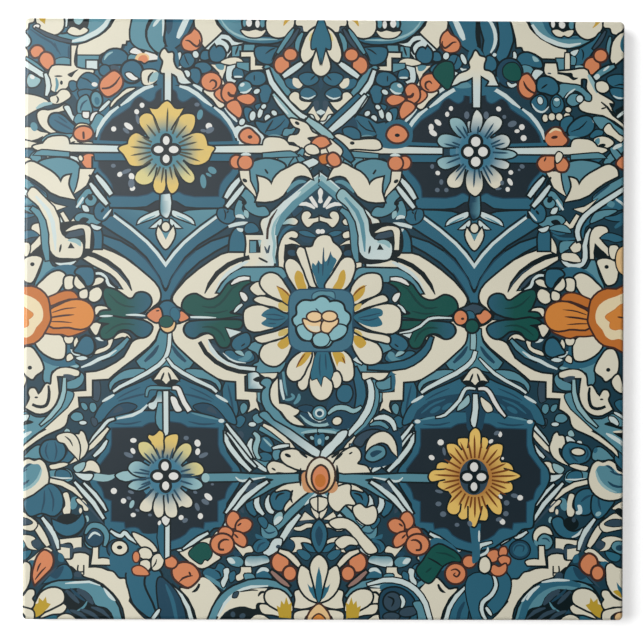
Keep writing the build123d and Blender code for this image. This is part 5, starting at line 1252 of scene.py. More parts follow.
# Lower inner quarter, the flowered part below the arm
lower_garden = group(
    stroke(BLUE, [-69 - 173j, -74 - 180j, -73 - 188j, -68 - 195j], 7, (0.3, 0.4), 1.6),
    stroke(ICE, [-65 - 174.5j, -67 - 183j, -64.5 - 189.5j, -60 - 194.5j], 5, (0.4, 0.5), 1.6),
    stroke(ICE, [-54 - 175.5j, -56 - 184j, -53.5 - 190.5j, -50 - 192.5j], 5, (0.4, 0.5), 1.6),
    patch(BLUE, [-53 - 178j, -50 - 172.5j, -43 - 171j, -34 - 170.5j, -33 - 176j, -37 - 184j, -43 - 190j, -49 - 189j,
                 -52 - 184j], 1.8),
    stroke(INK, [-48 - 180j, -46 - 175.5j, -39 - 173j], 2.2),
    patch(CREAM, [-48 - 171j, -41 - 166j, -31 - 162.5j, -22 - 161j, K, -17 - 167j, -11 - 169.5j, K, -20 - 178j, -29 - 186j,
                  -36 - 193j, -39 - 190j, -37 - 184j, -32 - 178j, -31 - 172.5j, -36 - 169.5j], 1.8),
    stroke(INK, [-31 - 170j, -33 - 178j, -31 - 183j], 2.4, (0.8, 0.3)),
    stroke(SKY, [-8 - 170.5j, -20 - 181j, -32 - 192j, -42 - 203j, -50 - 211j], 6.6, (0.5, 0.7), 2.0),
    stroke(ICE, [-5.5 - 171.5j, -12 - 178j, -19 - 185j], 3, (0.5, 0.2)),
    patch(SKY, [-62 - 208j, -60 - 201j, -56 - 203j, -48 - 208j, -46 - 214j, -52 - 218j, -60 - 217j], 1.4),
    stroke(NAVY, [-60 - 209j, -55 - 213j, -48 - 211j], 1.8),
    patch(BLUE, [-65 - 198j, -61 - 197j, -56 - 203j, -58 - 208j, -63 - 204j], 1.2),
    patch(MIST, [-46 - 193j, -42 - 192j, -41 - 197j, -45 - 203j, -49 - 204.5j, -50 - 200j], 1.2),
    patch(ICE, [-44 - 196j, -41 - 197j, -45 - 203j, -49 - 205j, -49 - 200j], 0),
    patch(CREAM, [-18.5 - 192j, K, -9 - 199j, K, -25 - 200.5j, K], 1.4),
    patch(CREAM, [-12 - 187j, -9 - 189j, -5 - 196j, -6 - 198j, -10 - 194j], 1.2),
    patch(CREAM, [-13 - 180j, -4 - 177j, K, -4 - 191j, K, -9 - 189j], 1.6),
    patch(SLATE, [-27 - 203j, -24 - 201.5j, -14 - 201j, -14 - 203j, -24 - 205j], 0),
    stroke(CREAM, [-30 - 208j, -23 - 208.5j, -17 - 205.5j, -10 - 205.5j], 4, (0.4, 0.7), 1.4),
    patch(CREAM, [-33 - 218.5j, -24 - 217j, -14 - 219.5j, -9 - 225j, K, -16 - 222j, -23 - 222.5j, -21.5 - 228j, -31 - 232j,
                  K, -28 - 226j, -29.5 - 221j], 1.4),
    patch(NAVY, [-38 - 224j, -33 - 219.5j, -29 - 224j, -31 - 229j, -36 - 228j], 0),
    patch(BLUE, [-20 - 223j, -14 - 224.5j, -7 - 231.5j, -14 - 231j], 1.0),
    patch(BLUE, [-26 - 230.5j, -20 - 230j, -13 - 236.5j, -16 - 239.5j, -23 - 236j], 1.0),
    stroke(ICE, [-24 - 194.5j, -34 - 206.5j, -42 - 219.5j, -46 - 227j], 6, (0.5, 0.5), 1.8),
    stroke(SLATE, [-30 - 209j, -36 - 217j], 2.4),
    patch(ICE, [-53 - 224j, -49 - 219j, -42 - 219j, -44 - 228j, -50 - 233j, -58 - 235.5j, -60 - 231j, -55 - 228.5j], 1.6),
    spot(SLATE, -45 - 226.5j, 2.6, 2.0, 0, 0),
    patch(BLUE, [-70 - 227j, -66 - 221j, -58 - 219.5j, -54 - 222j, -56 - 227j, -61 - 231j, -66 - 232j], 1.4),
    stroke(NAVY, [-66 - 231j, -64 - 225j, -58 - 222j], 2.0),
    patch(BLUE, [-68 - 214j, -62 - 216j, -56 - 220j, -62 - 219j, -67 - 218j], 0),
    patch(SLATE, [-83 - 187j, -80 - 189j, -80 - 193j, -82 - 192j], 0),
    patch(CREAM, [-89 - 224j, -80 - 228j, -73 - 226j, -70.5 - 231j, -78 - 233j, -80 - 236j, K, -84 - 231j], 1.4),
    patch(CREAM, [-143 - 231j, -135 - 229j, -128 - 225j, -119 - 219.5j, -112 - 218j, -108 - 225j, -108 - 234j, -103 - 237j,
                  -109 - 242j, -115 - 246j, -121 - 248j, -127 - 246j, -135 - 240j]),
    patch(GREEN, [-134 - 233j, -130 - 228j, -122 - 223j, -117 - 223.5j, -112 - 228.5j, -112 - 236j, -115.5 - 240j, K,
                  -118 - 239j, -122 - 243.5j, -127 - 241j], 1.2),
    spot(ICE, -143.5 - 227.5j, 4.2, 3.6, -10, 1.2),
    patch(SKY, [-140 - 230j, -132 - 224j, -126 - 220j, -134 - 222j, -140 - 226j], 0),
    patch(CREAM, [-108 - 213.5j, -102 - 210j, -98 - 212j, -101 - 216j, -110 - 218j], 1.2),
    patch(CREAM, [-123 - 258j, -103 - 272j, K, -108 - 280j, -113 - 290j, -116 - 302j, K, -125 - 302j, K, -128 - 290j,
                  -134 - 278j, -142 - 268j, -134 - 269j, -127 - 262j]),
    stroke(INK, [-131 - 272j, -126.5 - 269.5j, -123.5 - 263.5j], 3, (0.2, 0.7)),
    stroke(ICE, [-151 - 266j, -142 - 275.5j, -135 - 287j, -130.5 - 302j], 4.4, (0.4, 0.9), 1.8),
    patch(BLUE, [-152 - 270j, -144 - 278j, -137 - 290j, -134 - 302j, K, -152 - 302j, K], 1.2),
    stroke(NAVY, [-150 - 281j, -145 - 290j, -143 - 301j], 4, (0.4, 0.9)),
    patch(BLUE, [-120 - 252j, -115 - 248j, -108 - 249j, -104 - 243.5j, -99 - 246j, -99 - 254j, -104 - 258.5j, -112 - 259j],
          1.4),
    stroke(INK, [-108 - 250j, -104 - 252j, -102 - 257j], 1.8),
    stroke(SKY, [-118 - 255j, -108 - 261.5j, -98 - 268.5j], 4, (0.4, 0.8)),
    patch(ICE, [-99 - 249j, -95 - 248j, -94 - 254j, -96 - 260j, -100 - 267j, -102 - 262j, -99 - 256j], 1.2),
    patch(BLUE, [-93 - 253j, -89 - 251j, -88 - 258j, -92 - 262j], 1.2),
    patch(SKY, [-96 - 238j, -90 - 236.5j, -84 - 237j, -80 - 241j, -82 - 246j, -88 - 246j, -94 - 243j], 1.4),
    patch(ICE, [-96 - 238.5j, -92 - 237.5j, -88 - 243j, -92 - 243.5j], 0),
    patch(NAVY, [-90 - 232j, -86 - 231j, -82 - 235j, -89 - 235.5j], 0),
    patch(Fade(SKY, ICE, -238j, -241j), [-77 - 237.5j, -66 - 236j, -56 - 236.5j, -54 - 241j, -60 - 243.5j, -78 - 244.5j], 1.6),
    patch(CREAM, [-82 - 247j, K, -72.5 - 247j, K, -72.5 - 253j, -79 - 252.5j, -79.5 - 257.5j, -86 - 260j, -87 - 256j,
                  -83 - 253j], 1.4),
    patch(SKY, [-79 - 254.5j, -70 - 254.5j, -68 - 260j, -76 - 261j], 1.2),
    patch(BLUE, [-66 - 259.5j, -67 - 252j, -62 - 247j, -55 - 249j, -51.5 - 259.5j, K], 1.4),
    patch(ICE, [-66.5 - 253j, -62 - 247.3j, -55 - 248.7j, -54 - 251.5j, -60 - 250.5j], 0),
    stroke(SKY, [-112 - 302j, -107 - 289j, -99 - 277j, -88 - 269j, -74 - 263.5j, -56 - 262.5j, -43 - 266j, -32 - 276j], 6.6,
           (1, 0.4), 2.0),
    patch(CREAM, [-107 - 302j, K, -101 - 289j, -92 - 278j, -80 - 270.5j, -66 - 268j, -56 - 268j, K, -60 - 275j, -59 - 283j,
                  -66 - 283j, -66 - 289j, -76 - 288j, -88 - 287j, -98 - 292j, -105 - 302j, K], 0),
    stroke(ICE, [-105 - 296j, -98 - 283j, -87 - 272.5j, -72 - 266.5j, -55 - 265.5j], 3.4, (0.6, 0.4)),
    patch(INK, [-106 - 302j, K, -98 - 293j, -88 - 287j, -78 - 286j, -70 - 288.5j, -64 - 288j, -63 - 296j, -70 - 302j, K], 0),
    stroke(INK, [-66 - 290j, -65.5 - 284j, -59 - 283.5j], 2.4, (0.8, 0.5)),
    stroke(INK, [-65 - 276j, -62 - 272j, -57 - 272j], 2.6),
    stroke(INK, [-84 - 271.5j, -72 - 269.5j, -65 - 270j], 1.8),
    patch(SLATE, [-90 - 277j, -89 - 273j, -85 - 271.5j, -87 - 277j], 1.0),
    marks(SLATE, [(-90 - 294j, 2.4, 3.0, 10), (-80.5 - 295.5j, 3.2, 2.6, 30)]),
    patch(CREAM, [-74 - 302j, -68 - 295j, -60 - 295j, -52 - 302j], 1.6),
    patch(CREAM, [-63 - 284.5j, -57 - 284.5j, -48 - 289.5j, -40 - 296j, -50 - 294j, -61 - 292j], 1.8),
    patch(CREAM, [-58 - 277j, -56.5 - 271.5j, -50 - 269j, -43 - 270j, -36 - 275j, -32 - 283j, -31 - 290j, -40 - 291j,
                  -49 - 287j, -56 - 282j], 2.0),
    patch(OCHRE, [-44 - 297j, K, -46.5 - 285j, K, -43 - 287j, K, -42 - 280j, K, -39 - 284j, K, -37 - 276.5j, K, -34.5 - 284j, K,
                  -31.5 - 282j, K, -32 - 298j, K], 0),
    patch(CREAM, [-28 - 271j, -22 - 270j, -18 - 275j, -10 - 280j, -3 - 282j, K, -12 - 286j, -22 - 288j, -29 - 287j, K,
                  -27.5 - 280j], 1.8),
    patch(CREAM, [-28 - 302j, K, -28.5 - 293j, -20 - 290j, -11 - 290.5j, -18 - 296j, -20 - 302j, K], 1.8),
    spot(CORAL, -43 - 242j, 8, 9, 0, 2.4, RUST),
    spot(CORAL, -33.5 - 253j, 5.8, 6.4, 0, 2.4, RUST),
    stroke(glaze(150, 118, 108), [-52 - 251j, -43 - 259.5j, -34 - 266j], 4.4, (0.5, 0.3), 2.0),
    stroke(CREAM, [-44 - 230.5j, -36 - 233.5j, -27 - 242j, -21.5 - 248.5j], 5, (0.5, 0.4), 2.0),
    patch(CREAM, [-22 - 246j, -16 - 249j, -12 - 254j, -10.5 - 262j, -8 - 276j, -5 - 281j, -14 - 278.5j, -22 - 270j,
                  -25 - 262j, -24.5 - 252j], 2.0),
    patch(TEAL, [-16 - 263j, K, -12 - 267j, -10.5 - 257j, K, -6 - 262j, -4 - 250j, K, -3 - 282j, K, -10 - 277j], 0),
)

# Middle of the lower half: roundel, bud and the petals that run off the bottom edge
CLAY = glaze(206, 150, 104)
lower_middle = group(
    spot(SKY, MIDLINE - 93j, 6.8, 6.6, 0, 1.6),
    spot(ICE, MIDLINE - 93j, 4.6, 4.4, 0, 0),
    spot(NAVY, MIDLINE - 93.5j, 2.8, 2.6, 0, 0),
    patch(BLUE, whole([MIDLINE - 200j, -9.5 - 205j, -12 - 213j, -10.5 - 223j, MIDLINE - 232j]), 1.8),
    patch(NAVY, whole([MIDLINE - 206j, -7.5 - 210j, -7.5 - 220j, MIDLINE - 226j]), 0),
    patch(CREAM, whole([MIDLINE - 235j, -10 - 239j, -13 - 247j, -11 - 257j, -8 - 268j, MIDLINE - 280j]), 2.0),
    patch(TEAL, whole([MIDLINE - 246j, K, -7 - 256j, -8 - 266j, MIDLINE - 282j]), 0),
    patch(PEACH, whole([MIDLINE - 284j, -10 - 288j, -15 - 296j, -16 - 304j, K, MIDLINE - 304j]), 2.0, RUST),
    patch(ORANGE, whole([MIDLINE - 294j, -10 - 298j, -11 - 304j, K, MIDLINE - 304j]), 1.6, RUST),
    stroke(INK, [-23-148j, -24-157j, -23-166j], 3.0),
    stroke(INK, [13-145j, 14-155j, 14-165j], 3.0),
    patch(CLAY, [-21-153j, -16-151j, -16-162j, -10-172j, -19-171j, -22-162j], 0),
    patch(CLAY, [8-158j, 13-163j, 14-168j, 8-173j, 3-171j], 0),
    patch(Fade(CREAM, PEACH, -3-142j, -3-170j), [-4-138j, -11-141.5j, -16-151j, -16-161j, -12-168j, -4-172.5j, 4-169.5j,
                                                 9.5-161j, 10-151j, 5-142j], 2.2, UMBER),
    patch(CORAL, [-3-146j, -8-149j, -11-156j, -10-164j, -5-170j, 0-168.5j, 4-162j, 4-154j, 1-148j], 2.2, UMBER),
    spot(AMBER, -3.5-160.5j, 5.4, 6.6, 0, 0),
)


# Lower outer quarter: scroll, stair frame and the open hook beside the side flower
lower_outer_scroll = group(
    patch(SKY, [235-47.5j, 240-44j, 252-43.5j, 258-45j, 272-42j, 270-50j, 269-63j, 265-65j, 262-52j, 256-49.5j, 240-50j], 1.6),
    patch(MIST, [235.5-47.5j, 241-45.5j, 254-45.5j, 256.5-47.5j, 250-49j, 240-49.2j], 0),
    patch(CREAM, [155-6j, 157-12j, 160-20j, 166-27j, 174-33.5j, 182-40j, 192-47.5j, 201-55j, 206-59.5j, K, 222.5-60.5j, K,
                  222.5-77j, K, 236.5-77.5j, K, 236-83j, 235.5-88j, K, 240-90.5j, 246-96j, 247.5-103j, 250-107j, 258-111j,
                  268-115.5j, 278-122j, 288-129.5j, 294-135.5j, K, 293-131j, 285-123j, 275-115j, 267-110.5j, K, 270.5-108j,
                  K, 261-101j, 252-93j, 245-87j, 241.5-80j, 240.5-73j, K, 227.5-72j, K, 228-54j, K, 218-53j, 210-50.5j,
                  198-44j, 190-38j, 185-29j, 182-23.5j, 178-21j, 170-19j, 165-16j, 162-11j, 163-6j, 168-2j, 172-0j, K,
                  160-0j, K]),
    patch(CREAM, [184-21j, 186-16.5j, 192-14j, 197-16j, 200.5-20j, K, 198-19.5j, 190-18j, 187-21.5j], 1.8),
    stroke(SKY, [186.5-19.5j, 193-27j, 202-34.5j, 212-40j], 5, (0.5, 0.4), 1.6),
    stroke(ICE, [198-31j, 206-36.5j, 216-40.5j, 224-45j, 233-48.5j], 3.6, (0.3, 0.4), 0),
    patch(CREAM, [202-20.5j, 206-21.5j, 206-25.5j, 211-29j, 217-31j, 219.5-34.5j, 212-33j, 205-29j, 203-25j], 1.4),
    patch(ICE, [211-22j, 215-18.5j, 219-19j, 216-21.5j], 0),
    patch(CREAM, [213-4j, 222-5j, 225-10j, 220-16.5j, 217-15j, 214.5-9j], 1.8),
    patch(BLUE, [219.5-30j, 221-22j, 226-17.5j, 231-18j, 236-24j, 237-31j, 231-36j, 224-37.5j], 1.6),
    patch(SKY, [228-34j, 231-28j, 236-26j, 237-31j, 232-35.5j], 0),
    patch(CREAM, [229-16.5j, 233-20j, 236-22.5j, 237.5-19j, 240-22.5j, 240-27j, 237-31j, 234-27j, 231-21.5j], 1.2),
    patch(ICE, [232-35.5j, 240-31.5j, 246-30.5j, 243-34j, 237-37j], 1.2),
    patch(ICE, [227-39j, 230-37.5j, 238-39.5j, 235-41.2j], 1.0),
    patch(CREAM, [241-42j, 245-34j, 247.5-36.5j, 248-40j, 245-42.7j], 1.4),
    patch(SKY, [231-56j, 233-54j, 238-60j, 246-63j, 250-67.5j, 237-68.5j, 232-64j], 1.4),
    patch(SKY, [241.5-73.5j, 249-72.5j, 251-80j, 255-88j, 261-94j, 268-98j, 278-98.5j, 288-93.5j, 302-100j, K, 302-136j, K,
                290-125j, 280-116j, 270-109j, 258-98j, 247-88j], 1.4),
    stroke(MIST, [249.5-59j, 250-72j, 255-87j, 264-98j, 273-106j], 4.2, (0.6, 0.3), 1.4),
    patch(CREAM, [235-53j, 240-50.5j, 257-51j, 261-55j, 264-66j, 267-65j, 270-68.5j, 272.5-73j, 275.5-76j, K, 277-73.5j,
                  279-70j, 283-70j, 285-74j, 283.5-78.5j, 285-83j, 288-88.5j, K, 284-91j, 278-94j, 270-94j, 263-90j, 258-83j,
                  255.5-74j, 256.5-64j, 257.5-57j, K, 248-57j, 240-57j, 236-56.5j]),
    stroke(INK, [265.5-66.5j, 265-79j, 268-86.5j, 273-88j, 281.5-85.5j], 3.4, (0.6, 0.8)),
    patch(SLATE, [239-58j, 244-55.5j, 251-56j, 247-60j, 243-61.5j], 0),
    spot(INK, 277.5-78.5j, 1.8, 1.0, 0, 0),
    patch(BLUE, [291-82j, 296-79j, 302-80j, 302-93j, 294-88j], 1.2),
    stroke(ICE, [290-91.5j, 295-94j, 302-98.5j], 2.6, (0.4, 0.9), 1.2),
    patch(ICE, [285-96j, 289-96j, 294-104j, 291-105j, 287-101.5j], 1.2),
    patch(INK, [280-103j, 285-101j, 296-105.5j, 302-105j, 302-107j, 288-106j], 0),
    stroke(ICE, [282-112.5j, 291-117.5j, 302-125j], 4.2, (0.3, 0.9)),
    patch(INK, [289-112j, 302-112.5j, 302-120j, 295-116j], 0),
    stroke(CREAM, [289-111j, 302-110.5j], 2.2, (0.4, 0.9)),
)

lower_outer_clutter = group(
    stroke(ICE, [200-99.5j, 206-101.5j, 212-108.5j, 220-118j, 226-127j], 3.2, (0.6, 0.3), 1.8),
    stroke(CREAM, [206-109j, 214-118.5j, 222-127j, 228-131.5j], 4.6, (0.5, 0.4), 1.8),
    stroke(SLATE, [216-126j, 222-133j, 230-140j], 2.6),
    stroke(ICE, [207-121j, 212-129.5j, 220-137j], 3.8, (0.4, 0.6), 1.4),
    patch(SKY, [218-90j, 220-84j, 223-84j, 224-90j, 221-93j], 1.2),
    patch(SKY, [227-90j, 229-84.5j, 232.5-84j, 231-89.5j, 228.5-91j], 1.2),
    patch(SKY, [231-99j, 233-94.5j, 240-94j, 243-98j, 239-101.5j], 1.4),
    patch(SLATE, [217-105j, 218-100j, 222-98.5j, 222-104j, 219-107j], 1.0),
    marks(ICE, [(231-103.6j, 3.6, 1.8, 0)], 1.2),
    patch(MIST, [244-111.5j, 247-109.5j, 250-115j, 245-115j], 1.0),
    patch(SLATE, [215-62j, K, 222-62j, K, 221-80j, 217-82j, 214-74j], 1.0),
    patch(CREAM, [226-126j, 228-120j, 230-114j, 233-112j, 234.5-115j, 239-115.5j, 240.5-120j, 239-128j, 235-127j, 235.5-134j,
                  240-140j, 244-144.5j, K, 238-142j, 230-136.5j, 227-131j], 1.8),
    patch(ICE, [242-116j, 250-119.5j, 252-122j, 243-120.5j], 1.2),
    spot(ICE, 255.5-122j, 2.6, 2.0, -20, 1.0),
    patch(BLUE, [238.5-133j, 241-125j, 246-122j, 255-124j, 263-126j, 266.5-132j, 264-139j, 256-142.5j, 246-143j], 1.8),
    stroke(NAVY, [245-127j, 247-134j, 254-141j], 2.4),
    stroke(NAVY, [262-127j, 264-133j, 261-139j], 1.8),
    spot(CREAM, 254-131j, 6.3, 3.1, -4, 1.8),
    patch(SKY, [269-138j, 270-129.5j, 274-126.5j, 283-131j, 289.5-138j, K, 280-139j], 1.6),
    spot(BLUE, 271.5-129.5j, 2.0, 3.0, -20, 0),
    patch(BLUE, [291-137j, 294-131j, 302-136j, 302-150j, K, 296-146j], 1.4),
    patch(CREAM, [246-144.5j, 250-143.5j, 258-145j, 264-147j, 263-149j, 255-148.7j], 1.4),
    patch(CREAM, [214-153j, 216.5-145j, 221-141.5j, 226-142j, 229-146j, 231-152j, 224-151j], 1.8),
    patch(MIST, [229-143j, 235-144.5j, 240-148.5j, 237-152.5j, 231-150j], 1.4),
    patch(MIST, [197-155j, 205-155.5j, 222-155j, 226-158j, 220-160.5j, 202-160j], 0),
    patch(ICE, [221-155.5j, 230-154.5j, 239-153.5j, K, 231-160j, 224-160.5j], 1.6),
    patch(SKY, [241-158.5j, 243-152j, 259-151j, 264-152j, 264-158.5j], 1.4),
    patch(BLUE, [243-156.5j, 245-153j, 257.5-152.5j, 258-156.5j], 1.2),
    stroke(ICE, [241.5-158.6j, 252-159j, 262-157.5j], 1.8),
    stroke(ICE, [230-163.5j, 219-174.5j, 211-185j, 207.5-191j], 3.6, (0.5, 0.4), 1.8),
    stroke(ICE, [239-162.5j, 230-172.5j, 220-183.5j, 210-199j], 4.2, (0.5, 0.6), 1.8),
    stroke(SLATE, [233-180j, 221-191.5j, 209-205.5j], 2.0),
    stroke(CREAM, [231.5-178.5j, 240-170j, 251-164j, 266-160.5j], 4.6, (0.3, 0.8), 1.8),
)

# The blue flower that runs off each side edge below the middle
edge_flower = group(
    patch(CREAM, [265-158j, 267-149j, 269-144j, 274-140.5j, 279-142j, 285-140j, 291-143j, 293-149j, 302-152j, K, 302-175j, K,
                  294-178j, 285-179j, 276-176.5j, 269-170.5j]),
    patch(SKY, [273-157j, 272-149.5j, 275-145j, 280-145j, 284-144j, 290-148j, 294-152j, 302-154j, K, 302-171j, K, 292-172.5j,
                281-167.5j], 0),
    stroke(MIST, [272-150j, 275.5-160j, 283-167.5j, 293-171.5j], 3, (0.5, 0.3)),
    stroke(NAVY, [282-144.5j, 287-147j, 290-151j], 2.4),
    stroke(NAVY, [284-160.5j, 289-164.5j, 299-166j], 2.6, (0.3, 0.7)),
    stroke(NAVY, [286-150j, 292-153j, 300-154.5j], 2.2, (0.3, 0.7)),
)

# Lower outer quarter, the flowered part below the arm
lower_outer_garden = group(
    patch(BLUE, [150-214j, 166-214j, 184-212j, 196-206j, 206-202j, 212-214j, 213-226j, 214-238j, 206-247j, 195-256j, 187-258j,
                 184-250j, 176-228j, 160-226j], 0),
    stroke(ICE, [177-223j, 184-218j, 189.5-213j, 192.5-216j, 198-214.5j, 203-211j], 3.6, (0.4, 0.5), 1.6),
    spot(NAVY, 196-229j, 10, 9, 0, 1.4),
    spot(BLUE, 196.5-229j, 7.6, 6.8, 0, 0),
    stroke(NAVY, [190-231j, 193-225j, 200-226j, 199-231j], 1.8),
    patch(BLUE, [251-180j, 254-172.5j, 263-168.5j, 268-169.5j, 269-175j, 267-184j, 266-192j, 258-193.5j, 252-189j], 1.8),
    stroke(NAVY, [257-181j, 262-176.5j, 268-174j], 2.4),
    patch(ICE, [254-184j, 256-184j, 257.5-193j, 253-193.5j, 251-191j, 254-190j], 0),
    patch(BLUE, [269-192j, 268-183j, 270-174.5j, 280-176.5j, 290-179.5j, 285-188j, 279-195j, 274-197.5j], 1.8),
    stroke(NAVY, [274.5-176j, 275-183j, 277-189j], 2.2),
    spot(MIST, 274.5-193j, 3.1, 2.2, 30, 0),
    patch(CREAM, [243-190j, 244-179j, 246.5-173j, 250-174j, 248.7-180j, 248-186j, 250.5-190.5j, 248-195.5j, 244.5-195j], 1.6),
    patch(SKY, [238-177j, 241-178j, 241-190j, 238.5-189j], 0),
    patch(CREAM, [226-191j, 227-184j, 232-179.5j, 237-180j, 235-183.5j, 231-186j, 229-191j], 1.4),
    spot(CREAM, 233-191j, 1.5, 2.8, 0, 0),
    spot(MIST, 226.5-199j, 1.8, 3.2, -10, 0),
    spot(INK, 247-203j, 8, 7, 0, 0),
    spot(SLATE, 250-199j, 2.0, 2.6, 0, 0),
    patch(BLUE, [229-199j, 231-208j, 236-214j, 244-217j, 252-215.5j, 259-207j, K, 252-211j, 245-210j, 240-205j, 238-198j,
                 234-196.5j], 1.8),
    stroke(ICE, [248-216.5j, 254.5-213.5j, 259-207.5j], 2.6),
    patch(CREAM, [210-218j, 210.5-212j, 214-207.5j, 220-205.5j, 225.5-208j, 228.5-214j, K, 223-212.5j, 218.5-212.5j,
                  216-216j, 215-219j, 213-222j], 1.8),
    patch(SKY, [215-218j, 219-214j, 226-216j, 228.5-222j, 224-228j, 216-226.5j], 1.8),
    stroke(NAVY, [218-218j, 223-218j, 226-221j], 1.8),
    patch(SKY, [210.5-219j, 214-221j, 215.5-226j, 211.5-224j], 0),
    patch(CREAM, [215.5-225.5j, K, 220-225.5j, K, 220.5-234j, 222-244.5j, K, 204-244.5j, K, 202-241j, 206-239j, 215.5-239j, K],
          1.6),
    patch(CREAM, [232-217.5j, K, 250-219.5j, 257-221j, 255.5-226j, K, 241-224j, 239.5-229.5j, K, 232-229.5j, K], 1.6),
    stroke(SLATE, [241.5-238j, 241-226.5j, K, 256.5-224.5j], 2.6, (0.9, 0.5)),
    patch(CREAM, [243.5-228.5j, K, 254.5-227j, K, 255-232j, 251-234j, 248-239.5j, K, 243.5-239.5j, K], 0),
    patch(SLATE, [224-231j, 240-230j, 239-233j, 224-234.5j], 0),
    stroke(ICE, [271-198j, 262-210j, 256.5-222j, 255-229j], 5, (0.5, 0.4), 1.6),
    stroke(SLATE, [268-207j, 261-220j, 258-231j], 3.6),
    stroke(CREAM, [282-199j, 273-212j, 265-226j], 6.4, (0.6, 0.5), 1.6),
    patch(BLUE, [250-236j, 254-233.5j, 254-241.5j, 250-242j], 0),
    patch(CREAM, [276-205j, 284-197j, 290-193j, 302-198j, K, 302-207j, K, 290-209.5j, 280-210.5j], 1.4),
    patch(SLATE, [281-203j, 286-199.5j, 296-199j, 302-201j, K, 302-203.5j, K, 290-205.5j], 1.0),
    patch(CREAM, [289-188j, 296-182j, 302-180j, K, 302-194j, K, 296-188.5j], 1.2),
    patch(INK, [291-189j, 294-187j, 302-192j, 302-197j], 0),
    patch(CREAM, [278-219j, 283-216j, 292-216j, 302-219j, K, 302-221.5j, K, 294-219.5j, 289-222j, 285-228j, 276-230j, K,
                  281-226j, 282-222j], 1.2),
    spot(SLATE, 276.5-224j, 4.6, 4.2, 0, 0),
    patch(SKY, [288-226j, 290-222j, 302-222j, K, 302-234j, K, 294-231.5j], 1.2),
    spot(NAVY, 296-227j, 4, 3, 0, 0),
    patch(TEAL, [282-231j, 290-232j, 297-236j, 294-240j, 287-239j], 1.2),
    patch(CREAM, [189-259j, 194-259j, 201-252j, 206-251j, 212-248.5j, 225-248j, K, 224.5-236j, K, 228-234j, 239-234j, K,
                  241-239.5j, 247-240j, K, 243-246j, 239-251j, 233-252j, 229-256j, 220-258.5j, 210-263.5j, 200-272.5j,
                  194-280j, 190-288j, 188-302j, K, 166-302j, K, 175-293j, 185-281j, K, 184-275j, 187-267j], 1.8),
    stroke(INK, [229.5-245j, 229.5-255j], 1.6, (0.9, 0.9)),
    stroke(INK, [229-251.5j, 235-251.5j, 235-245j], 1.6, (0.9, 0.9)),
    stroke(INK, [243-246j, 236-252.5j], 2.4, (0.4, 0.7)),
    patch(SLATE, [232-253j, 238-252j, 239-255.5j, 232-256.5j], 0),
    patch(BLUE, [241-258j, 243-249j, 248-245j, 254-247j, 263-256j, 270-263.5j, K, 255-260j], 1.4),
    patch(NAVY, [250-246j, 255-248j, 263-256j, 257-259j], 0),
    stroke(SLATE, [256-247j, 266-256.5j, 276-266.5j], 2.2),
    patch(CREAM, [261-231j, 265-228j, 271-229.5j, 278-236j, 286-242j, K, 279-240.5j, 275-240j, 271-234.5j, 266-232.5j], 1.2),
    patch(BLUE, [277-241.5j, 283-240.5j, 287-246j, 283-249j], 0),
    patch(SKY, [191-302j, K, 195-287j, 203-275j, 213-266j, 225-261.5j, 240-261j, 255-261.5j, 267-266j, 275-277j, 268-270.5j,
                258-267j, 248-269j, 237-268j, 228-270.5j, 221-277j, 218-284j, 206-288j, 201-294j, 199-302j, K], 2.0),
    patch(ICE, [198-281j, 203-273.5j, 210-267.5j, 207-274j, 202-279.5j], 0),
    stroke(ICE, [213-265.5j, 224-261.8j, 238-262.5j, 248-263.5j], 2.6),
    patch(INK, [199-302j, K, 202-292j, 212-287j, 220-284j, 222-277j, 228-271j, 237-269j, 246-271j, 249-281j, 246-290j, 250-294j,
                245-302j, K], 0),
    stroke(SLATE, [230-271.5j, 239-275j], 3),
    stroke(SKY, [226-281j, 229.5-287j, 236-290.5j], 2.2),
    stroke(SLATE, [220-284j, 227-275j, 236-269j], 6, (0.3, 0.5)),
    stroke(SLATE, [234-283j, 241-276j, 247-270j], 4.4),
    stroke(NAVY, [228-281j, 236-275j, 243-268j], 3),
    stroke(SLATE, [203-298j, 211-291j, 222-287j], 4),
    stroke(SLATE, [214-299j, 222-293j, 233-289j], 4),
    stroke(SLATE, [226-299j, 234-293j, 243-290j], 4),
    stroke(NAVY, [240-298j, 246-291j, 251-284j], 4.4),
    patch(CREAM, [236-302j, 240-296.5j, 247-294j, 253-296j, 258-302j], 1.6),
    patch(TEAL, [256-296.5j, 268-297j, 276-302j, 258-302j], 0),
    patch(CREAM, [247-286j, 250-284j, 258-287.5j, 268-293.5j, 272-297j, 260-293.5j, 250-292j], 1.8),
    patch(CREAM, [249-277j, 251-271j, 258-268j, 265-269j, 272-273.5j, 276-281j, 279-288j, 274-292j, 264-289.5j, 256-285.5j,
                  250-281.5j], 2.0),
    patch(OCHRE, [262-284j, K, 266-282.5j, K, 267-276.5j, K, 270-281j, K, 274-277.5j, K, 274.5-283j, K, 279-284.5j, K, 277-297j,
                  270-293j, 265-288j], 0),
    patch(CREAM, [279-270.5j, 284-270j, 288-275j, 295-279.5j, 302-280j, K, 302-285.5j, K, 290-285.5j, 281-287.5j, 279-282j,
                  281-279j, 278.5-274j], 1.8),
    patch(CREAM, [280-300j, 280-291j, 286-288.5j, 302-287j, K, 302-290j, K, 292-291.5j, 287-296j, 288-302j], 1.8),
    spot(PEACH, 297-296j, 5.5, 4.2, 10, 1.4, RUST),
    patch(CREAM, [284-244j, 287-242.5j, 293-246.5j, 302-249j, K, 302-280j, K, 297-277.5j, 290-273j, 284-263j, 283-254j], 1.8),
    patch(TEAL, [293-261j, K, 297-266j, 302-270j, K, 302-279j, K, 296-272j], 0),
    patch(OCHRE, [290-270j, 294-269j, 299-277j], 0),
)


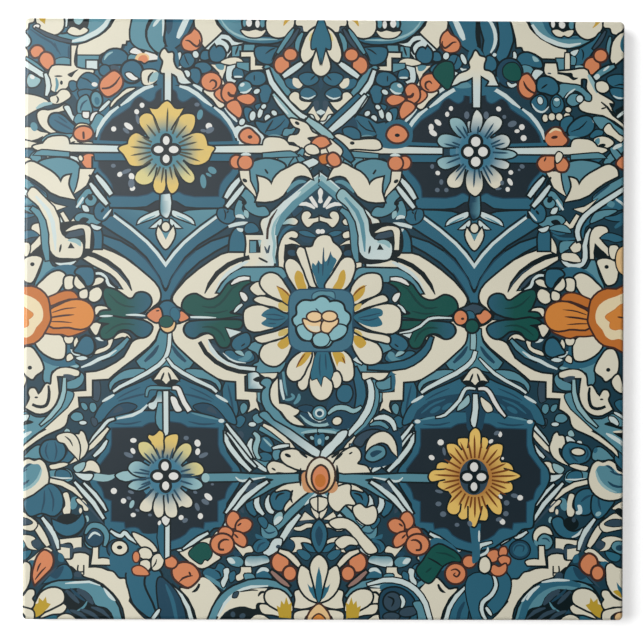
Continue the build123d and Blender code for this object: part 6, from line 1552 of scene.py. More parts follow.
# Upper outer quarter of the left side, above the arm, which differs from the right one
upper_left_garden = group(
    patch(BLUE, [-205+300j, -200+270j, -222+255j, -250+245j, -252+225j, -235+205j, -230+190j, -200+230j, -160+234j, -160+270j,
                 -192+300j], 0),
    patch(BLUE, [-302+302j, K, -255+302j, K, -254+272j, -254+256j, K, -274+255j, -302+258j, K], 0),
    patch(CREAM, [-194+302j, K, -208+302j, K, -214+291j, -225+281.5j, -238+275j, -247+272.5j, K, -247+263j, K, -226+263j,
                  -218+267.5j, -210+269.5j, -204+270j, K, -203+274j, K, -199.5+274j, K, -199+277.5j, K, -195+278j, -194.5+290j]),
    patch(SKY, [-212+302j, K, -217+292j, -226+283.5j, -238+277.5j, -250+274.5j, -262+277j, -278+283j, -288+290j, K, -277+285j,
                -262+283j, -250+285j, -240+286j, -236+294j, -236+302j, K]),
    stroke(ICE, [-215.5+300j, -220+292.5j, -229+285j, -241+279j, -254+276j], 5, (0.7, 0.4)),
    patch(INK, [-257+302j, K, -257+292j, -250+288j, -240+289j, -237+295j, -237+302j, K], 0),
    patch(MIST, [-251+302j, K, -250+295j, -246+293j, -242+297j, -241+302j, K], 1.4),
    patch(CREAM, [-257+286j, -253+290.5j, -247.5+289j, -245+287.5j, -241+290j, -237+287.5j, -242+283.5j, -250+282.5j], 1.6),
    stroke(ICE, [-258.5+302j, -259+291j], 3, (0.9, 0.7), 1.2),
    patch(CREAM, [-289+302j, K, -287+293j, -282+287j, -275+283.5j, -267+284j, -262+289j, -261+296j, -262+302j, K]),
    patch(OCHRE, [-288+302j, K, -279+302j, K, -279.5+293j, K, -284+296.5j], 0),
    patch(CREAM, [-302+302j, K, -291+302j, K, -291+296j, -296+294j, -297+289j, -302+287j, K]),
    spot(WHITE, -288+291j, 3, 1.8, 10, 1.4),
    stroke(NAVY, [-294+288j, -284+281j, -273+275j, -264+263j], 2.2),
    stroke(SLATE, [-289+289j, -278+283j, -264+278j, -254+276j], 3.2, (0.4, 0.7), 1.2),
    stroke(NAVY, [-270+275j, -267+266j], 1.8),
    stroke(NAVY, [-256+272j, -256+258j], 1.8),
    patch(SKY, [-270+256j, -262+260j, -254+257.5j, -254+252.5j, -270+252.5j], 1.0),
    patch(ICE, [-302+287j, K, -298+283j, -294+276j, -296+272j, -302+270j, K], 1.8),
    patch(CREAM, [-302+271j, K, -298+268j, -297+260j, -302+256j, K], 1.8),
    patch(CORAL, [-293.5+266j, -289+271j, -284+270.5j, -281+266j, -285+262j, -290+260.5j], 2.2, RUST),
    patch(CORAL, [-284.5+258j, -280+264.5j, -274+263j, -271+257j, -272+251j, -276+248.5j, -281+251.5j], 2.2, RUST),
    stroke(SKY, [-299+259j, -289+252j, -281+246j], 5, (0.5, 0.5), 1.4),
    stroke(ICE, [-302+256j, -291+248j, -278+240.5j], 5.4, (0.9, 0.6), 1.6),
    patch(NAVY, [-302+251j, K, -294+246j, -285+239j, -287+232j, -302+232j, K], 1.2),
    patch(MIST, [-297+236j, -294+243.5j, -289+241j, -284+238j, -288+231.5j, -295+231j], 1.6),
    spot(WHITE, -292+240.5j, 2.6, 2, -30, 0),
    patch(SKY, [-247+262j, K, -226+262j, K, -227+249j, K, -247+249j, K], 1.4),
    patch(ICE, [-238+257j, K, -227.5+257j, K, -227.5+249j, K, -238+249j, K], 1.6),
    patch(CREAM, [-276+241j, -272+251j, -262+252j, -253+251.5j, K, -253+272j, K, -248+272j, K, -248+250j, -238+248j, -231+247j,
                  -233+243j, -240+243j, -245+238j, -254+235j, -258+230j, -264+227j, -270+226j, -276+232j], 1.8),
    stroke(INK, [-270+241.5j, -262+241.5j], 1.8),
    patch(INK, [-257+243j, -252+246j, -246+248.5j, -250+244.5j, -253+240.5j], 0),
    stroke(SKY, [-268.5+240j, -267+233j, -269+226j], 3, (0.5, 0.4)),
    spot(INK, -263+235j, 1.5, 2.2, 0, 0),
    stroke(ICE, [-279+244j, -276+232j, -278+222j], 4.4, (0.5, 0.5), 1.4),
    patch(BLUE, [-254+236j, -250+236j, -247+231j, -252+227j, -255+231j], 1.4),
    patch(BLUE, [-247+232j, -244+240j, -238+244.5j, -231+243j, -225.5+237.5j, -227+231j, -234+228j, -242+226j], 1.6),
    stroke(INK, [-245+240.5j, -237+238j, -231+233j], 1.6),
    spot(WHITE, -230+233.5j, 3, 2.2, -10, 0),
    patch(BLUE, [-246+226j, -240+228j, -232+226j, -234+219j, -244+220j], 1.4),
    patch(BLUE, [-222.5+255.5j, -221+262j, -215+267.5j, -208+268.5j, -201+266j, -197+260j, -197.5+256j, -210+254j, -220+253.5j]),
    stroke(MIST, [-220.5+258j, -217.5+263j, -212+266j], 2.4),
    spot(BLUE, -220+247.5j, 5, 5, 0, 1.6),
    patch(SLATE, [-214+252j, -206+251j, -205+247j, -212+246j], 0),
    patch(SKY, [-196+262j, -190+264j, -184+259j, -189+255j, -196+256j], 1.4),
    patch(WHITE, [-195+266j, -191+270j, -185+267.5j, -182+264j, -189+264j], 1.4),
    patch(WHITE, [-181+264.5j, -176+268j, -171+264.5j, -166+260j, -172+257.5j, -178+258j], 1.6),
    patch(PEACH, [-190+259j, -187+264j, -181+265j, -176+262j, -176+258j, -181+255.5j], 0),
    patch(CORAL, [-187+258.5j, -184+262.5j, -179+262.5j, -177+258j, -181+255.5j], 0),
    stroke(INK, [-192+255.5j, -184+256.5j, -181+254.5j, -176+257j, -168+258.5j], 1.8),
    spot(BLUE, -193+246.5j, 10, 10.5, 0, 2.4),
    patch(WHITE, [-199+244.5j, -195.5+245.5j, -190+241.5j, -187+239.5j, -190+238j, -196+240j], 1.4),
    patch(CREAM, [-182+247j, -176+248.5j, -168+246.5j, -165.5+242j, -170+236.5j, -175+233.5j, -181+234j, -183+240j], 1.6),
    patch(MIST, [-172+245j, -167+246j, -166.5+242j, -170+237j, -175+236.5j], 0),
    stroke(INK, [-171.5+246.5j, -176+241.5j, -176.5+235.5j], 2.2),
    patch(CORAL, [-224.5+231j, -223+237j, -218+242j, -210+246.5j, -205+243j, -202.5+236j, -205+229.5j, -211+224.5j, -217+222j,
                  -222+225.5j], 2.2, RUST),
    stroke(RUST, [-223+229.5j, -215+230.5j, -209+235j, -204.5+241.5j], 2.2, (0.8, 0.5)),
    spot(SKY, -228+218.5j, 5, 7.4, 8, 2.0),
    spot(TEAL, -227.5+217j, 2.6, 4, 8, 0),
    stroke(ICE, [-215+217j, -220+212j, -225+207j], 3.2, (0.6, 0.4), 1.2),
    patch(CREAM, [-190+230j, -200+224j, -207+218.5j, -214+211.5j, -213+215j, -206+222j, -198+229j], 1.6),
    patch(CREAM, [-274+220j, -268+222.5j, -263+227.5j, -257+227j, -254+222j, -259+217.5j, -267+214j, -273+215.5j], 1.6),
    stroke(INK, [-268+222j, -266+218j, -268+214.5j], 1.8),
    patch(CREAM, [-302+224j, K, -290+222j, -281+219j, -276+215j, -280+212j, -290+207j, -302+200j, K], 1.6),
    stroke(MIST, [-288+209j, -280+213.5j, -272+214.5j], 4, (0.4, 0.5)),
    patch(CREAM, [-286+205j, -282+207.5j, -276+207j, -266+209.5j, -258+213j, -257+210j, -266+206j, -273+204j, -276+199j, -273+193j,
                  -267+187.5j, -268+184.5j, -276+186.5j, -282+191j, -285.5+197j], 1.8),
    patch(BLUE, [-275+196j, -273+202.5j, -266+204j, -260+201j, -253+194.5j, -249+190j, -251+185j, -260+185.5j, -268+188j]),
    stroke(NAVY, [-270+198j, -261+193j, -252+188j], 2.0),
    stroke(NAVY, [-266+201.5j, -257+195j], 1.6),
    patch(ICE, [-260+211j, -256+212j, -253.5+208j, -252+203j, -247.5+198.5j, -249+196j, -255+202j, -258+207j], 1.6),
    patch(SKY, [-247+210j, -244+219.5j, -238+222.5j, -234.5+215j, -233+206j, -240+203.5j, -246+205j], 1.6),
    stroke(NAVY, [-244+207j, -242+214j, -237+218j], 2.0),
    patch(SKY, [-250+197j, -246+204j, -240+202j, -234+199j, -236+193.5j, -244+192.5j], 1.2),
    patch(WHITE, [-241.5+206j, K, -235.5+206j, K, -236.5+200j, -241+201j], 1.4),
    patch(WHITE, [-232+204.5j, -227.5+206j, -230+199j, -233.5+197j], 1.4),
    patch(SKY, [-226+204j, -221+201j, -227+191j, -232+183j, -236+188j, -232+195j], 1.4),
    patch(CREAM, [-302+190j, K, -292+190j, -284+186j, -276+184j, -283+179j, -290+177j, -302+180j, K], 1.4),
    spot(SKY, -290+191j, 3.4, 4.6, 20, 0),
    stroke(INK, [-292+177j, -286+178j, -281+181.5j], 2.4),
    patch(CREAM, [-302+178j, K, -287+174.5j, -270+177j, -256+180.5j, -250+182j, -247+176j, -233+175.5j, -228+173.2j, -205+172j,
                  K, -205+168.6j, K, -230+168.6j, -255+170j, -280+171j, -302+170j, K], 1.6),
    patch(SKY, [-282+177.5j, -277+182j, -268+184.5j, -258+183.5j, -252+183.5j, -256+179j, -266+177j], 1.4),
    stroke(ICE, [-255+172.5j, -230+171.2j, -206+170.4j], 3.4, (0.4, 0.9)),
    stroke(INK, [-254+174.5j, -249+176.5j], 1.8),
    patch(BUTTER, [-249.5+189j, -246+193.5j, -241+194j, -236+192.5j, -233.5+189j, -241+191j], 1.6),
    spot(CORAL, -241+184.5j, 9, 6.6, 4, 2.0, RUST),
    stroke(RUST, [-241+186.5j, -240.5+179j], 2.4, (0.8, 0.8)),
    patch(BLUE, [-222+165.5j, K, -196+166j, K, -200+157j, K, -222+158j, K], 1.4),
    patch(SKY, [-288+167j, -283+170.5j, -270+171j, -250+169.5j, -230+168.4j, -207+167.4j, -207+164j, -230+165j, -260+164.5j,
                -283+163.5j], 1.6),
    patch(BLUE, [-302+168j, K, -292+167j, -284+161j, -276+158j, -266+152j, -262+146j, -290+150j, -302+152j, K], 0),
    patch(SKY, [-294+160j, -288+166j, -283+160j, -287+152j, -293+153j], 1.2),
    patch(SKY, [-279+157j, -275+160j, -268+156j, -262+149j, -266+146j, -273+150j], 1.6),
    patch(ICE, [-277+162j, -265+162.5j, -250+161.5j, -245+159j, -247+154.5j, -252+153j, -257+156.5j, -266+158.5j, -276+159j], 1.6),
    patch(INK, [-263+155.5j, -258+157j, -255+153j, -259+151.5j], 0),
    patch(CREAM, [-302+160j, K, -293+158j, -296+150j, -302+148j, K], 1.4),
    patch(CORAL, [-242.5+158.5j, -238+163.5j, -231+163j, -228.5+157j, -230+151j, -235+149.5j, -240.5+153.5j], 2.0, RUST),
    patch(CORAL, [-227.5+163.5j, -223+162.5j, -220.5+157.5j, -223+152.5j, -228+152j, -229+157j], 2.0, RUST),
    spot(CREAM, -243.5+160j, 1.8, 2.6, 20, 1.4),
)

# Coral buds tucked under the upper arms
arm_buds = both_sides(group(
    spot(CORAL, -88.5 + 157j, 5.6, 6, 0, 2.0, RUST),
    spot(CORAL, -79.5 + 156.5j, 6.6, 6.6, 0, 2.0, RUST),
    stroke(ICE, [-84 + 164j, -79 + 165j, -74 + 164j], 3, (0.3, 0.3)),
))

right_arm_bud = group(
    patch(CORAL, [213 + 157j, 217 + 163j, 224 + 164j, 230.5 + 163j, 230.5 + 156j, 226 + 151j, 218 + 150j], 2.2, RUST),
    patch(CORAL, [232 + 163j, 239 + 162j, 243 + 156.5j, 240 + 150j, 233 + 150.5j, 231 + 157j], 2.2, RUST),
    stroke(RUST, [221 + 163.5j, 219 + 159j], 1.8),
    patch(CREAM, [231 + 166j, 233.5 + 168.5j, 237 + 166.5j, 236 + 161.5j, 232 + 158j], 1.4),
)

# Cross and bar that stand on each upper medallion
left_cross = group(
    patch(SKY, [-192 + 302j, K, -174 + 302j, K, -179 + 293j, -180 + 281j, -176 + 272j, -170 + 266j, -178 + 268j, -186 + 270j,
                -193 + 276j, -194.5 + 288j], 1.8),
    patch(SKY, [-170 + 302j, K, -161.5 + 302j, K, -160.5 + 290j, -162 + 281j, -160.5 + 274j, -165 + 265.5j, -171 + 269j,
                -176.5 + 277j, -177.5 + 287j, -174 + 295j]),
    stroke(ICE, [-172 + 291.5j, -168 + 297j, -164 + 301.5j], 3.4, (0.3, 0.9)),
    stroke(ICE, [-162.5 + 301.5j, -161.5 + 291j, -162.5 + 282j], 2.6, (0.9, 0.3)),
    stroke(NAVY, [-155 + 302j, -155.5 + 293j, -157 + 284j], 6, (0.9, 0.2)),
    stroke(INK, [-159.5 + 302j, -160 + 288j, -161 + 277j, -157 + 270j], 2.4, (0.8, 0.6)),
    patch(BLUE, [-167 + 264j, -160 + 271j, -150 + 270j, -146 + 258j, -147 + 248j, -138 + 236j, -146 + 234j, -168 + 234j,
                 -166 + 246j], 0),
    patch(Fade(CREAM, ICE, 248j, 236j),
          [-160.5 + 269j, -157 + 265j, -153 + 265.5j, -152 + 257j, -149 + 250j, -143 + 247j, -140 + 241j, -134 + 235.5j, K,
           -146 + 236.5j, -148 + 242j, -154 + 245.5j, K, -154 + 213j, K, -160 + 213j, K, -160 + 245.5j, K, -163.5 + 246j,
           -162.5 + 252j, -161.5 + 257j, -164.5 + 262j]),
)

right_cross = group(
    stroke(INK, [152.5 + 302j, 152 + 285j, 154 + 272j], 5, (0.9, 0.6)),
    patch(BLUE, [143 + 268j, 150 + 274j, 158 + 266j, 162 + 250j, 174 + 240j, 172 + 233j, 128 + 233j, 128 + 240j, 142 + 250j], 0),
    patch(SKY, [130 + 233.5j, 134 + 238j, 141 + 238.5j, 146 + 234j], 0),
    patch(Fade(CREAM, ICE, 248j, 232j),
          [150 + 269j, 154 + 264j, 159.5 + 262j, 158 + 256j, 158.5 + 250j, 164 + 248.5j, 168 + 245j, 170 + 240j, 172.5 + 235j, K,
           162 + 235j, K, 164 + 239j, 160 + 242j, 155 + 245j, K, 154.5 + 213j, K, 148 + 213j, K, 147.5 + 243.5j, K,
           141 + 240j, 135 + 238.5j, 131 + 236j, 126.5 + 234.5j, K, 129 + 240j, 134 + 246j, 141 + 248.5j, 145 + 252j,
           144 + 258j, 147 + 263j]),
)


def fleur(axis):
    """Three-lobed cream flower under the V of bands, on its dark footing."""
    return group(
        patch(INK, [axis - 15 - 59j, axis - 6 - 67j, axis + 6 - 67j, axis + 15 - 59j, axis - 50j], 0),
        patch(CREAM, [axis - 12 - 60.5j, K, axis - 7.5 - 54j, axis - 3.5 - 49j, axis - 47.8j, axis + 5 - 50.5j, axis + 9 - 56j,
                      axis + 12.5 - 61j, K, axis + 6 - 60j, axis + 2.5 - 62j, axis - 64.5j, axis - 2.5 - 62j, axis - 6 - 60j],
              1.6),
        stroke(INK, [axis - 2 - 53j, axis - 3.5 - 57j, axis - 5.5 - 62j], 2.2, (0.2, 0.9)),
        stroke(INK, [axis + 2 - 53j, axis + 3.5 - 57j, axis + 5 - 62j], 2.2, (0.2, 0.9)),
    )


# Lines, hooks and bars down the axis of each lower medallion
left_lower_axis = group(
    stroke(ICE, [-154 - 11j, -154.5 - 25j, -158 - 38j, -165 - 46j, -176 - 53.5j, -190 - 61j, -204 - 68j, -210 - 72.5j], 3.8,
           (0.8, 0.6), 1.2),
    stroke(ICE, [-156.5 - 39j, -151 - 46.5j, -141 - 53.5j, -128 - 60.5j, -112 - 68j, -107 - 72.5j], 3.6, (0.6, 0.7), 1.2),
    fleur(-157.5),
    stroke(SKY, [-177 - 77j, -175 - 69.5j, -166 - 68.5j, -151 - 69j], 3, (0.5, 0.5), 1.2),
    stroke(WHITE, [-151 - 68.5j, -146 - 69j, -143 - 75j, -139.5 - 83j, -134 - 91.5j], 4.4, (0.6, 1), 1.6),
    patch(Fade(SKY, ICE, -75j, -84j), [-165 - 72j, -161 - 73j, -161.5 - 82j, -166 - 86j, -170 - 90j, -174.5 - 88j, -175 - 85j,
                                       -170 - 82.5j, -167 - 78j], 1.6),
    patch(WHITE, [-152 - 77j, -148.5 - 78j, -145 - 85j, -142 - 91j, -147 - 92j, -150.5 - 87j], 1.6),
    stroke(ICE, [-176 - 85.5j, -182 - 91.5j, -191 - 96j, -206 - 99.5j], 3.2, (0.5, 0.5)),
    patch(SKY, [-165 - 84j, K, -160 - 84j, K, -160 - 112j, -164 - 109j], 1.4),
    patch(ICE, [-160 - 72j, K, -155.5 - 72j, K, -155 - 112j, K, -157 - 117.5j, -159.5 - 112j, K], 1.8),
    patch(BLUE, [-164 - 202j, K, -158 - 202j, K, -158.5 - 240j, K, -163 - 232j], 1.2),
    patch(ICE, [-157.5 - 203j, K, -153.5 - 203j, K, -153.5 - 236j, K, -157.5 - 238j, K], 1.8),
    patch(WHITE, [-161 - 198j, -157 - 196j, -153.5 - 197.5j, -154 - 202j, -157 - 205.5j, -160 - 203j], 1.6),
    spot(WHITE, -163.5 - 203j, 1.6, 2.4, -20, 0),
)

right_lower_axis = group(
    stroke(MIST, [148.5 - 11j, 149 - 20j, 148.5 - 29j], 5, (0.8, 0.9), 1.2),
    stroke(ICE, [151 - 31j, 149 - 38j, 142 - 46j, 132 - 53j, 118 - 60j, 103 - 68j, 97 - 72.5j], 4.2, (0.8, 0.6), 1.2),
    stroke(ICE, [155 - 38j, 162 - 45.5j, 170 - 53j, 181 - 60j, 196 - 68j, 202 - 72.5j], 3, (0.4, 0.7), 1.2),
    fleur(150.7),
    across(group(
        patch(NAVY, [156 - 73j, 170 - 74.5j, 190 - 80j, 206 - 90j, 210 - 99j, K, 196 - 97j, 180 - 95j, 168 - 92j, 156 - 90j], 0),
        stroke(BLUE, [178 - 79j, 191 - 84j, 202 - 93j], 2.4),
        marks(BLUE, [(176 - 86j, 6, 2.4, -30), (188 - 89.5j, 6, 2.4, -30)]),
    ), 149.5),
    patch(NAVY, [141 - 72j, 147 - 70j, 156 - 70j, 160 - 74j, 160 - 100j, 157 - 110j, 144 - 110j, 142 - 96j], 0),
    stroke(ICE, [151 - 68.5j, 141 - 68.8j, 138 - 74j, 135 - 80.5j, 128 - 88j, 121 - 94.5j, 112 - 97j], 3.2, (0.5, 0.3), 1.4),
    patch(MIST, [144 - 75j, 140 - 79j, 135 - 84.5j, 133 - 90j, 140 - 87j, 145 - 82j], 1.4),
    stroke(WHITE, [154 - 68.5j, 162 - 68.8j, 166.5 - 74j, 170 - 81j, 175 - 89j, 181 - 96j], 3.8, (0.6, 0.4), 1.6),
    patch(CREAM, [157 - 77j, 161 - 80j, 166 - 84j, 168 - 90j, 163 - 91.5j, 159 - 87j], 1.4),
    patch(ICE, [149 - 74j, K, 153 - 74j, K, 152.5 - 100j, 150 - 107j, 147.5 - 104j, 148.5 - 90j], 1.6),
    patch(BLUE, [145.5 - 203j, K, 157 - 203j, K, 156 - 222j, 154.5 - 240j, 150 - 243j, 148.5 - 228j], 0),
    stroke(ICE, [155.3 - 210j, 155.3 - 221j], 2.0, (0.6, 0.6)),
)

# Petals and flowers at the foot of each lower axis
right_foot = group(
    stroke(BLUE, [197-301j, 202-285j, 212-271j, 226-263j, 244-261.5j, 257-265j], 8, (0.8, 0.5)),
    stroke(ICE, [203-279j, 208-271j, 216-265j], 3.6, (0.6, 0.3)),
    stroke(ICE, [218-261.5j, 231-259j, 246-259.5j], 3.0),
    patch(CORAL, [257-244j, 260-237j, 265-233.5j, 271-236.5j, 273-242.5j, 270-248j, 266-253j, 260-250j], 2.4, RUST),
    spot(CORAL, 274-252j, 5.4, 6.4, 0, 2.4, RUST),
    spot(CORAL, 132-253j, 9.6, 9.4, 0, 2.2, RUST),
    stroke(RUST, [127-250j, 132-248.5j, 136-252j, 133-256j, 130-254j, 132-252j], 2.0),
    spot(CORAL, 145.5-241j, 6, 5.4, 0, 2.0, RUST),
    patch(BLUE, [150-253j, 158-252j, 165-254j, 169-257j, 170-262j, 165-273j, 157-281j, 158-290j, 162-302j, K, 150-302j, K],
          1.2),
    patch(BLUE, [174-255j, 181-252j, 186-257.5j, 187-265j, 184-277j, 180-284j, 170-293j, 166-294j, 163-285j, 167-280j,
                 173-272j, 175-264j], 1.6),
    stroke(ICE, [170-255j, 172.5-264j, 168-274j, 159-282j, 158-289j, 162.5-299j], 3.8, (0.5, 0.6), 1.6),
    stroke(ICE, [162.5-286.5j, 168-294.5j], 3.2, (0.6, 0.3), 1.2),
    patch(CORAL, [164 - 233j, 168 - 230j, 173 - 230j, 175 - 235j, 172 - 240j, 168 - 241j], 1.8, RUST),
    patch(CORAL, [176 - 234j, 178 - 227j, 181 - 226.5j, 183 - 232j, 181 - 235j], 1.8, RUST),
    patch(CORAL, [175 - 238j, 179 - 235.5j, 186 - 238j, 185 - 243j, 178 - 243j], 1.8, RUST),
    patch(CORAL, [167 - 248j, 170 - 244.5j, 175 - 246.5j, 182 - 243.5j, 182 - 250j, 176 - 254.5j, 170 - 253.5j], 1.8, RUST),
    patch(CREAM, [156 - 243j, 158 - 238j, 162 - 236.5j, 165 - 239j, 166.5 - 244j, 165 - 250j, 161 - 252j, 157 - 250j], 2.0),
    stroke(ICE, [154.5 - 236j, 155 - 225j, K, 168 - 221.5j], 3.6, (0.6, 0.5), 1.2),
    stroke(ICE, [156 - 235j, 164 - 229.5j, 164 - 226.5j], 2.8, (0.7, 0.4)),
)

coral_cluster = group(
    patch(CORAL, [-96-203j, -95-196j, -91-192j, -86-194j, -84-200j, -86-206j, -91-208j], 2.0, RUST),
    patch(CORAL, [-87-206j, -83-200j, -77-199j, -72-203j, -74-209j, -80-212j, -86-211j], 2.0, RUST),
    patch(CORAL, [-92-213j, -86-212j, -80-215j, -77-221j, -79-226j, -85-224j, -90-219j], 2.0, RUST),
    patch(CORAL, [-104-212j, -101-208j, -95-208j, -91-212j, -93-217j, -98-216j], 2.0, RUST),
    stroke(RUST, [-86-206j, -82-203j], 2.0),
    stroke(RUST, [-89-214j, -85-218j], 2.0),
    spot(CORAL, -101-224j, 10.8, 9.6, 0, 2.2, RUST),
    stroke(RUST, [-94-220j, -99-219.5j, -104-223.5j, -103.5-229j, -99-229.5j], 2.4, (0.4, 0.9)),
)


def over_right(points):
    """The place of the left coral cluster on the right, a little further out than its mirror image."""
    return mirrored(points) + 2


left_foot = group(
    coral_cluster,
    patch(CORAL, [-140 - 243j, -133 - 244j, -126 - 250j, -124 - 256j, -128 - 262j, -135 - 266.5j, -142 - 263j, -148 - 258j,
                  -150 - 250j], 2.4, RUST),
    patch(CORAL, [-156 - 236j, -149 - 238j, -146 - 242j, -149 - 247j, -156 - 246j], 2.0, RUST),
    stroke(RUST, [-144 - 262j, -140 - 258j, -130 - 255.5j], 2.2),
    stroke(RUST, [-134 - 251.5j, -132 - 255.5j], 2.2),
    patch(CORAL, [-278-231j, -271-235j, -269.5-242j, -272-249j, -279-256j, -287-264j, K, -289-256j, -287-246j, -284-237j], 2.2,
          RUST),
    stroke(RUST, [-287-260j, -281-252j, -276-247j], 1.8),
    stroke(RUST, [-285-252j, -283-246j, -281-243j], 1.8),
    patch(BLUE, [-196-255j, -193-270j, -189-283j, -180-292j, -171-297j, -167-290j, -172-280j, -177-268j, -178-256j, -183-250j,
                 -191-245j], 1.8),
    patch(BLUE, [-176-256j, -177-264j, -174-272j, -169-282j, -166-290j, -161-296j, -160-280j, -161-262j, -163-252j, -170-250j],
          2.2),
    patch(NAVY, [-160-258j, -153-264j, -143-278j, -136-302j, K, -161-302j, K], 1.6),
    stroke(BLUE, [-157-264j, -150-280j, -146-300j], 4, (0.3, 0.8)),
    stroke(ICE, [-170-299j, -163-289j], 3.4, (0.9, 0.3), 1.4),
    patch(BLUE, [-212-234j, -190-232j, -176-226j, -170-220j, -164-228j, -164-240j, -176-250j, -200-252j, -212-246j], 0),
    spot(CREAM, -203-228j, 7.5, 6.5, -10, 1.8),
    spot(INK, -203-227.5j, 2.8, 2.0, 0, 0),
    patch(CREAM, [-190-213j, -178-218j, -170-224j, -166-231j, -175-231j, -182-226j], 1.6),
    patch(CREAM, [-183-230j, -178-228j, -172-231j, -171-237j, -177-239j, -183-236j], 1.8),
    patch(CREAM, [-182-242j, -175-240.5j, -172-245j, -175-250j, -181-248j], 1.8),
    patch(CORAL, [-190-249j, -184-246j, -177-249.5j, -174-254j, -181-255j, -189-253j], 1.6, RUST),
    spot(CORAL, -186.5-237j, 3, 5, 0, 1.4, RUST),
    patch(CREAM, [-171-243j, -169-236j, -164-234j, -160-237j, -160.5-245j, -164-249j, -169-250j], 1.8),
    stroke(INK, [-171-248j, -167-243j, -166-239j], 1.6),
)


def frame_head(shift, bar, sheen):
    """Cream head that closes the upper frame beside the arch, with its brow and eye."""
    at = complex(shift)
    return group(
        patch(INK, [at-275+92j, at-262+96j, at-234+94j, at-233+64j, at-246+58j, at-275+58j], 0),
        stroke(SKY, [at-292+110j, at-283+102j, at-279+88j, at-278+70j, at-276+58j], 7, (0.5, 0.5), 1.4),
        patch(bar, [at-292+130j, at-280+121j, at-270+111j, at-265+100j, at-262+84j, at-255+79j, at-247+79j, at-242+76j, at-241+68j, at-243+62j,
                      at-256+60.5j, at-268+62j, at-273+68j, at-274+84j, at-277+98j, at-285+112j, at-296+124j], 1.6),
        stroke(sheen, [at-288+122j, at-276+108j, at-271+96j, at-269+82j, at-268+68j], 4.4, (0.5, 0.3)),
        patch(MIST, [at-256+78j, at-250+80j, at-243+77j, at-243+72j, at-248+75j], 0),
        patch(INK, [at-256+70j, K, at-253+76j, K, at-249+70j, K], 0),
        stroke(INK, [at-264+66j, at-262.5+74j], 2.2),
        patch(SLATE, [at-258+82j, at-252+87.5j, at-242+88.5j, at-237+86j, at-246+82j], 1.4),
        patch(CREAM, [at-258+87j, at-250+92.5j, at-240+93.5j, at-234.5+91.5j, at-233.5+80j, at-234+70j, K, at-238.5+70j, K,
                      at-238.5+84j, at-240+89.5j, at-250+88.5j], 1.4),
    )


# Shell and crescent under the stair frame on the left side
left_shell = group(
    patch(BLUE, [-282-130j, -278-123j, -270-121j, -262-123j, -258-129j, -259-137j, -265-142j, -274-142j, -280-138j], 1.8),
    stroke(NAVY, [-275-124j, -277-132j, -274-140j], 1.8),
    stroke(NAVY, [-268-122.5j, -266-132j, -268-141j], 1.8),
    patch(CREAM, [-266-118j, -258-114j, -250-115j, -245-121j, -243-131j, -244-141j, K, -248-136j, -254-130j, -258-124j,
                  -264-122j], 1.6),
    stroke(INK, [-258-117j, -253-121j, -250-127j], 1.6),
    patch(BLUE, [-298-182j, -288-176j, -279-169j, -273-165j, -265-169j, -260-180j, -262-191j, -268-196j, -280-193j,
                 -292-196j], 1.8),
    stroke(NAVY, [-278-171j, -278-182j, -281-193j], 2.0),
    stroke(NAVY, [-274-168j, -269-180j, -270-192j], 2.0),
    patch(INK, [-266-204j, -264-197j, -256-194j, -247-195j, -242-203j, -254-208j], 0),
    patch(BLUE, [-270-200j, K, -267-210j, -256-216j, -244-212j, -238-203j, -240-194j, K, -247-202j, -255-205j,
                 -263-203j], 1.8),
    spot(NAVY, -228-217j, 9, 9.4, 0, 1.6),
    stroke(SKY, [-237-214j, -231-206j, -222-207j, -216-215j, -218-226j], 5, (0.3, 0.4), 1.4),
    stroke(ICE, [-234-219j, -228-213j, -222-216j], 2.4),
)

# Leaf, hooks and eye that only the right inner quarter has
right_leaf = patch(GREEN, [108+246j, 112+254j, 119+258j, 126+257j, 128+248j, 127+238j, 122+231j, 116+236j, 111+241j], 1.6)

right_roundel = group(
    patch(BLUE, [51+177j, 54+190j, 62+197j, 76+200j, 86+193j, 86+177j], 0),
    patch(CORAL, [62+184j, 64+190j, 71+194j, 78+191.5j, 82+184.5j, 78+179j, 68+178j], 2.2, RUST),
    spot(INK, 72+184.5j, 2.6, 1.8, 0, 0),
    patch(NAVY, [0+194j, 10+204j, 26+205j, 32+196j, 30+182j, 14+180j, 4+184j], 0),
    stroke(BLUE, [34+224j, 22+210j, 10+199j, -2+189j], 9, (0.5, 0.6), 1.6),
    stroke(ICE, [40+224j, 28+209j, 15+197j, 2+186j], 7, (0.4, 0.6), 1.6),
    patch(BLUE, [18+190j, 26+192j, 34+187j, 34+180j, 26+180j, 20+184j], 1.6),
    patch(CREAM, [6+180j, 12+185j, 20+183j, 28+179j, 40+180j, 54+178j, 56+174j, 30+171j, 14+171j], 1.8),
    spot(INK, 27+176.5j, 2.4, 1.8, 0, 0),
)

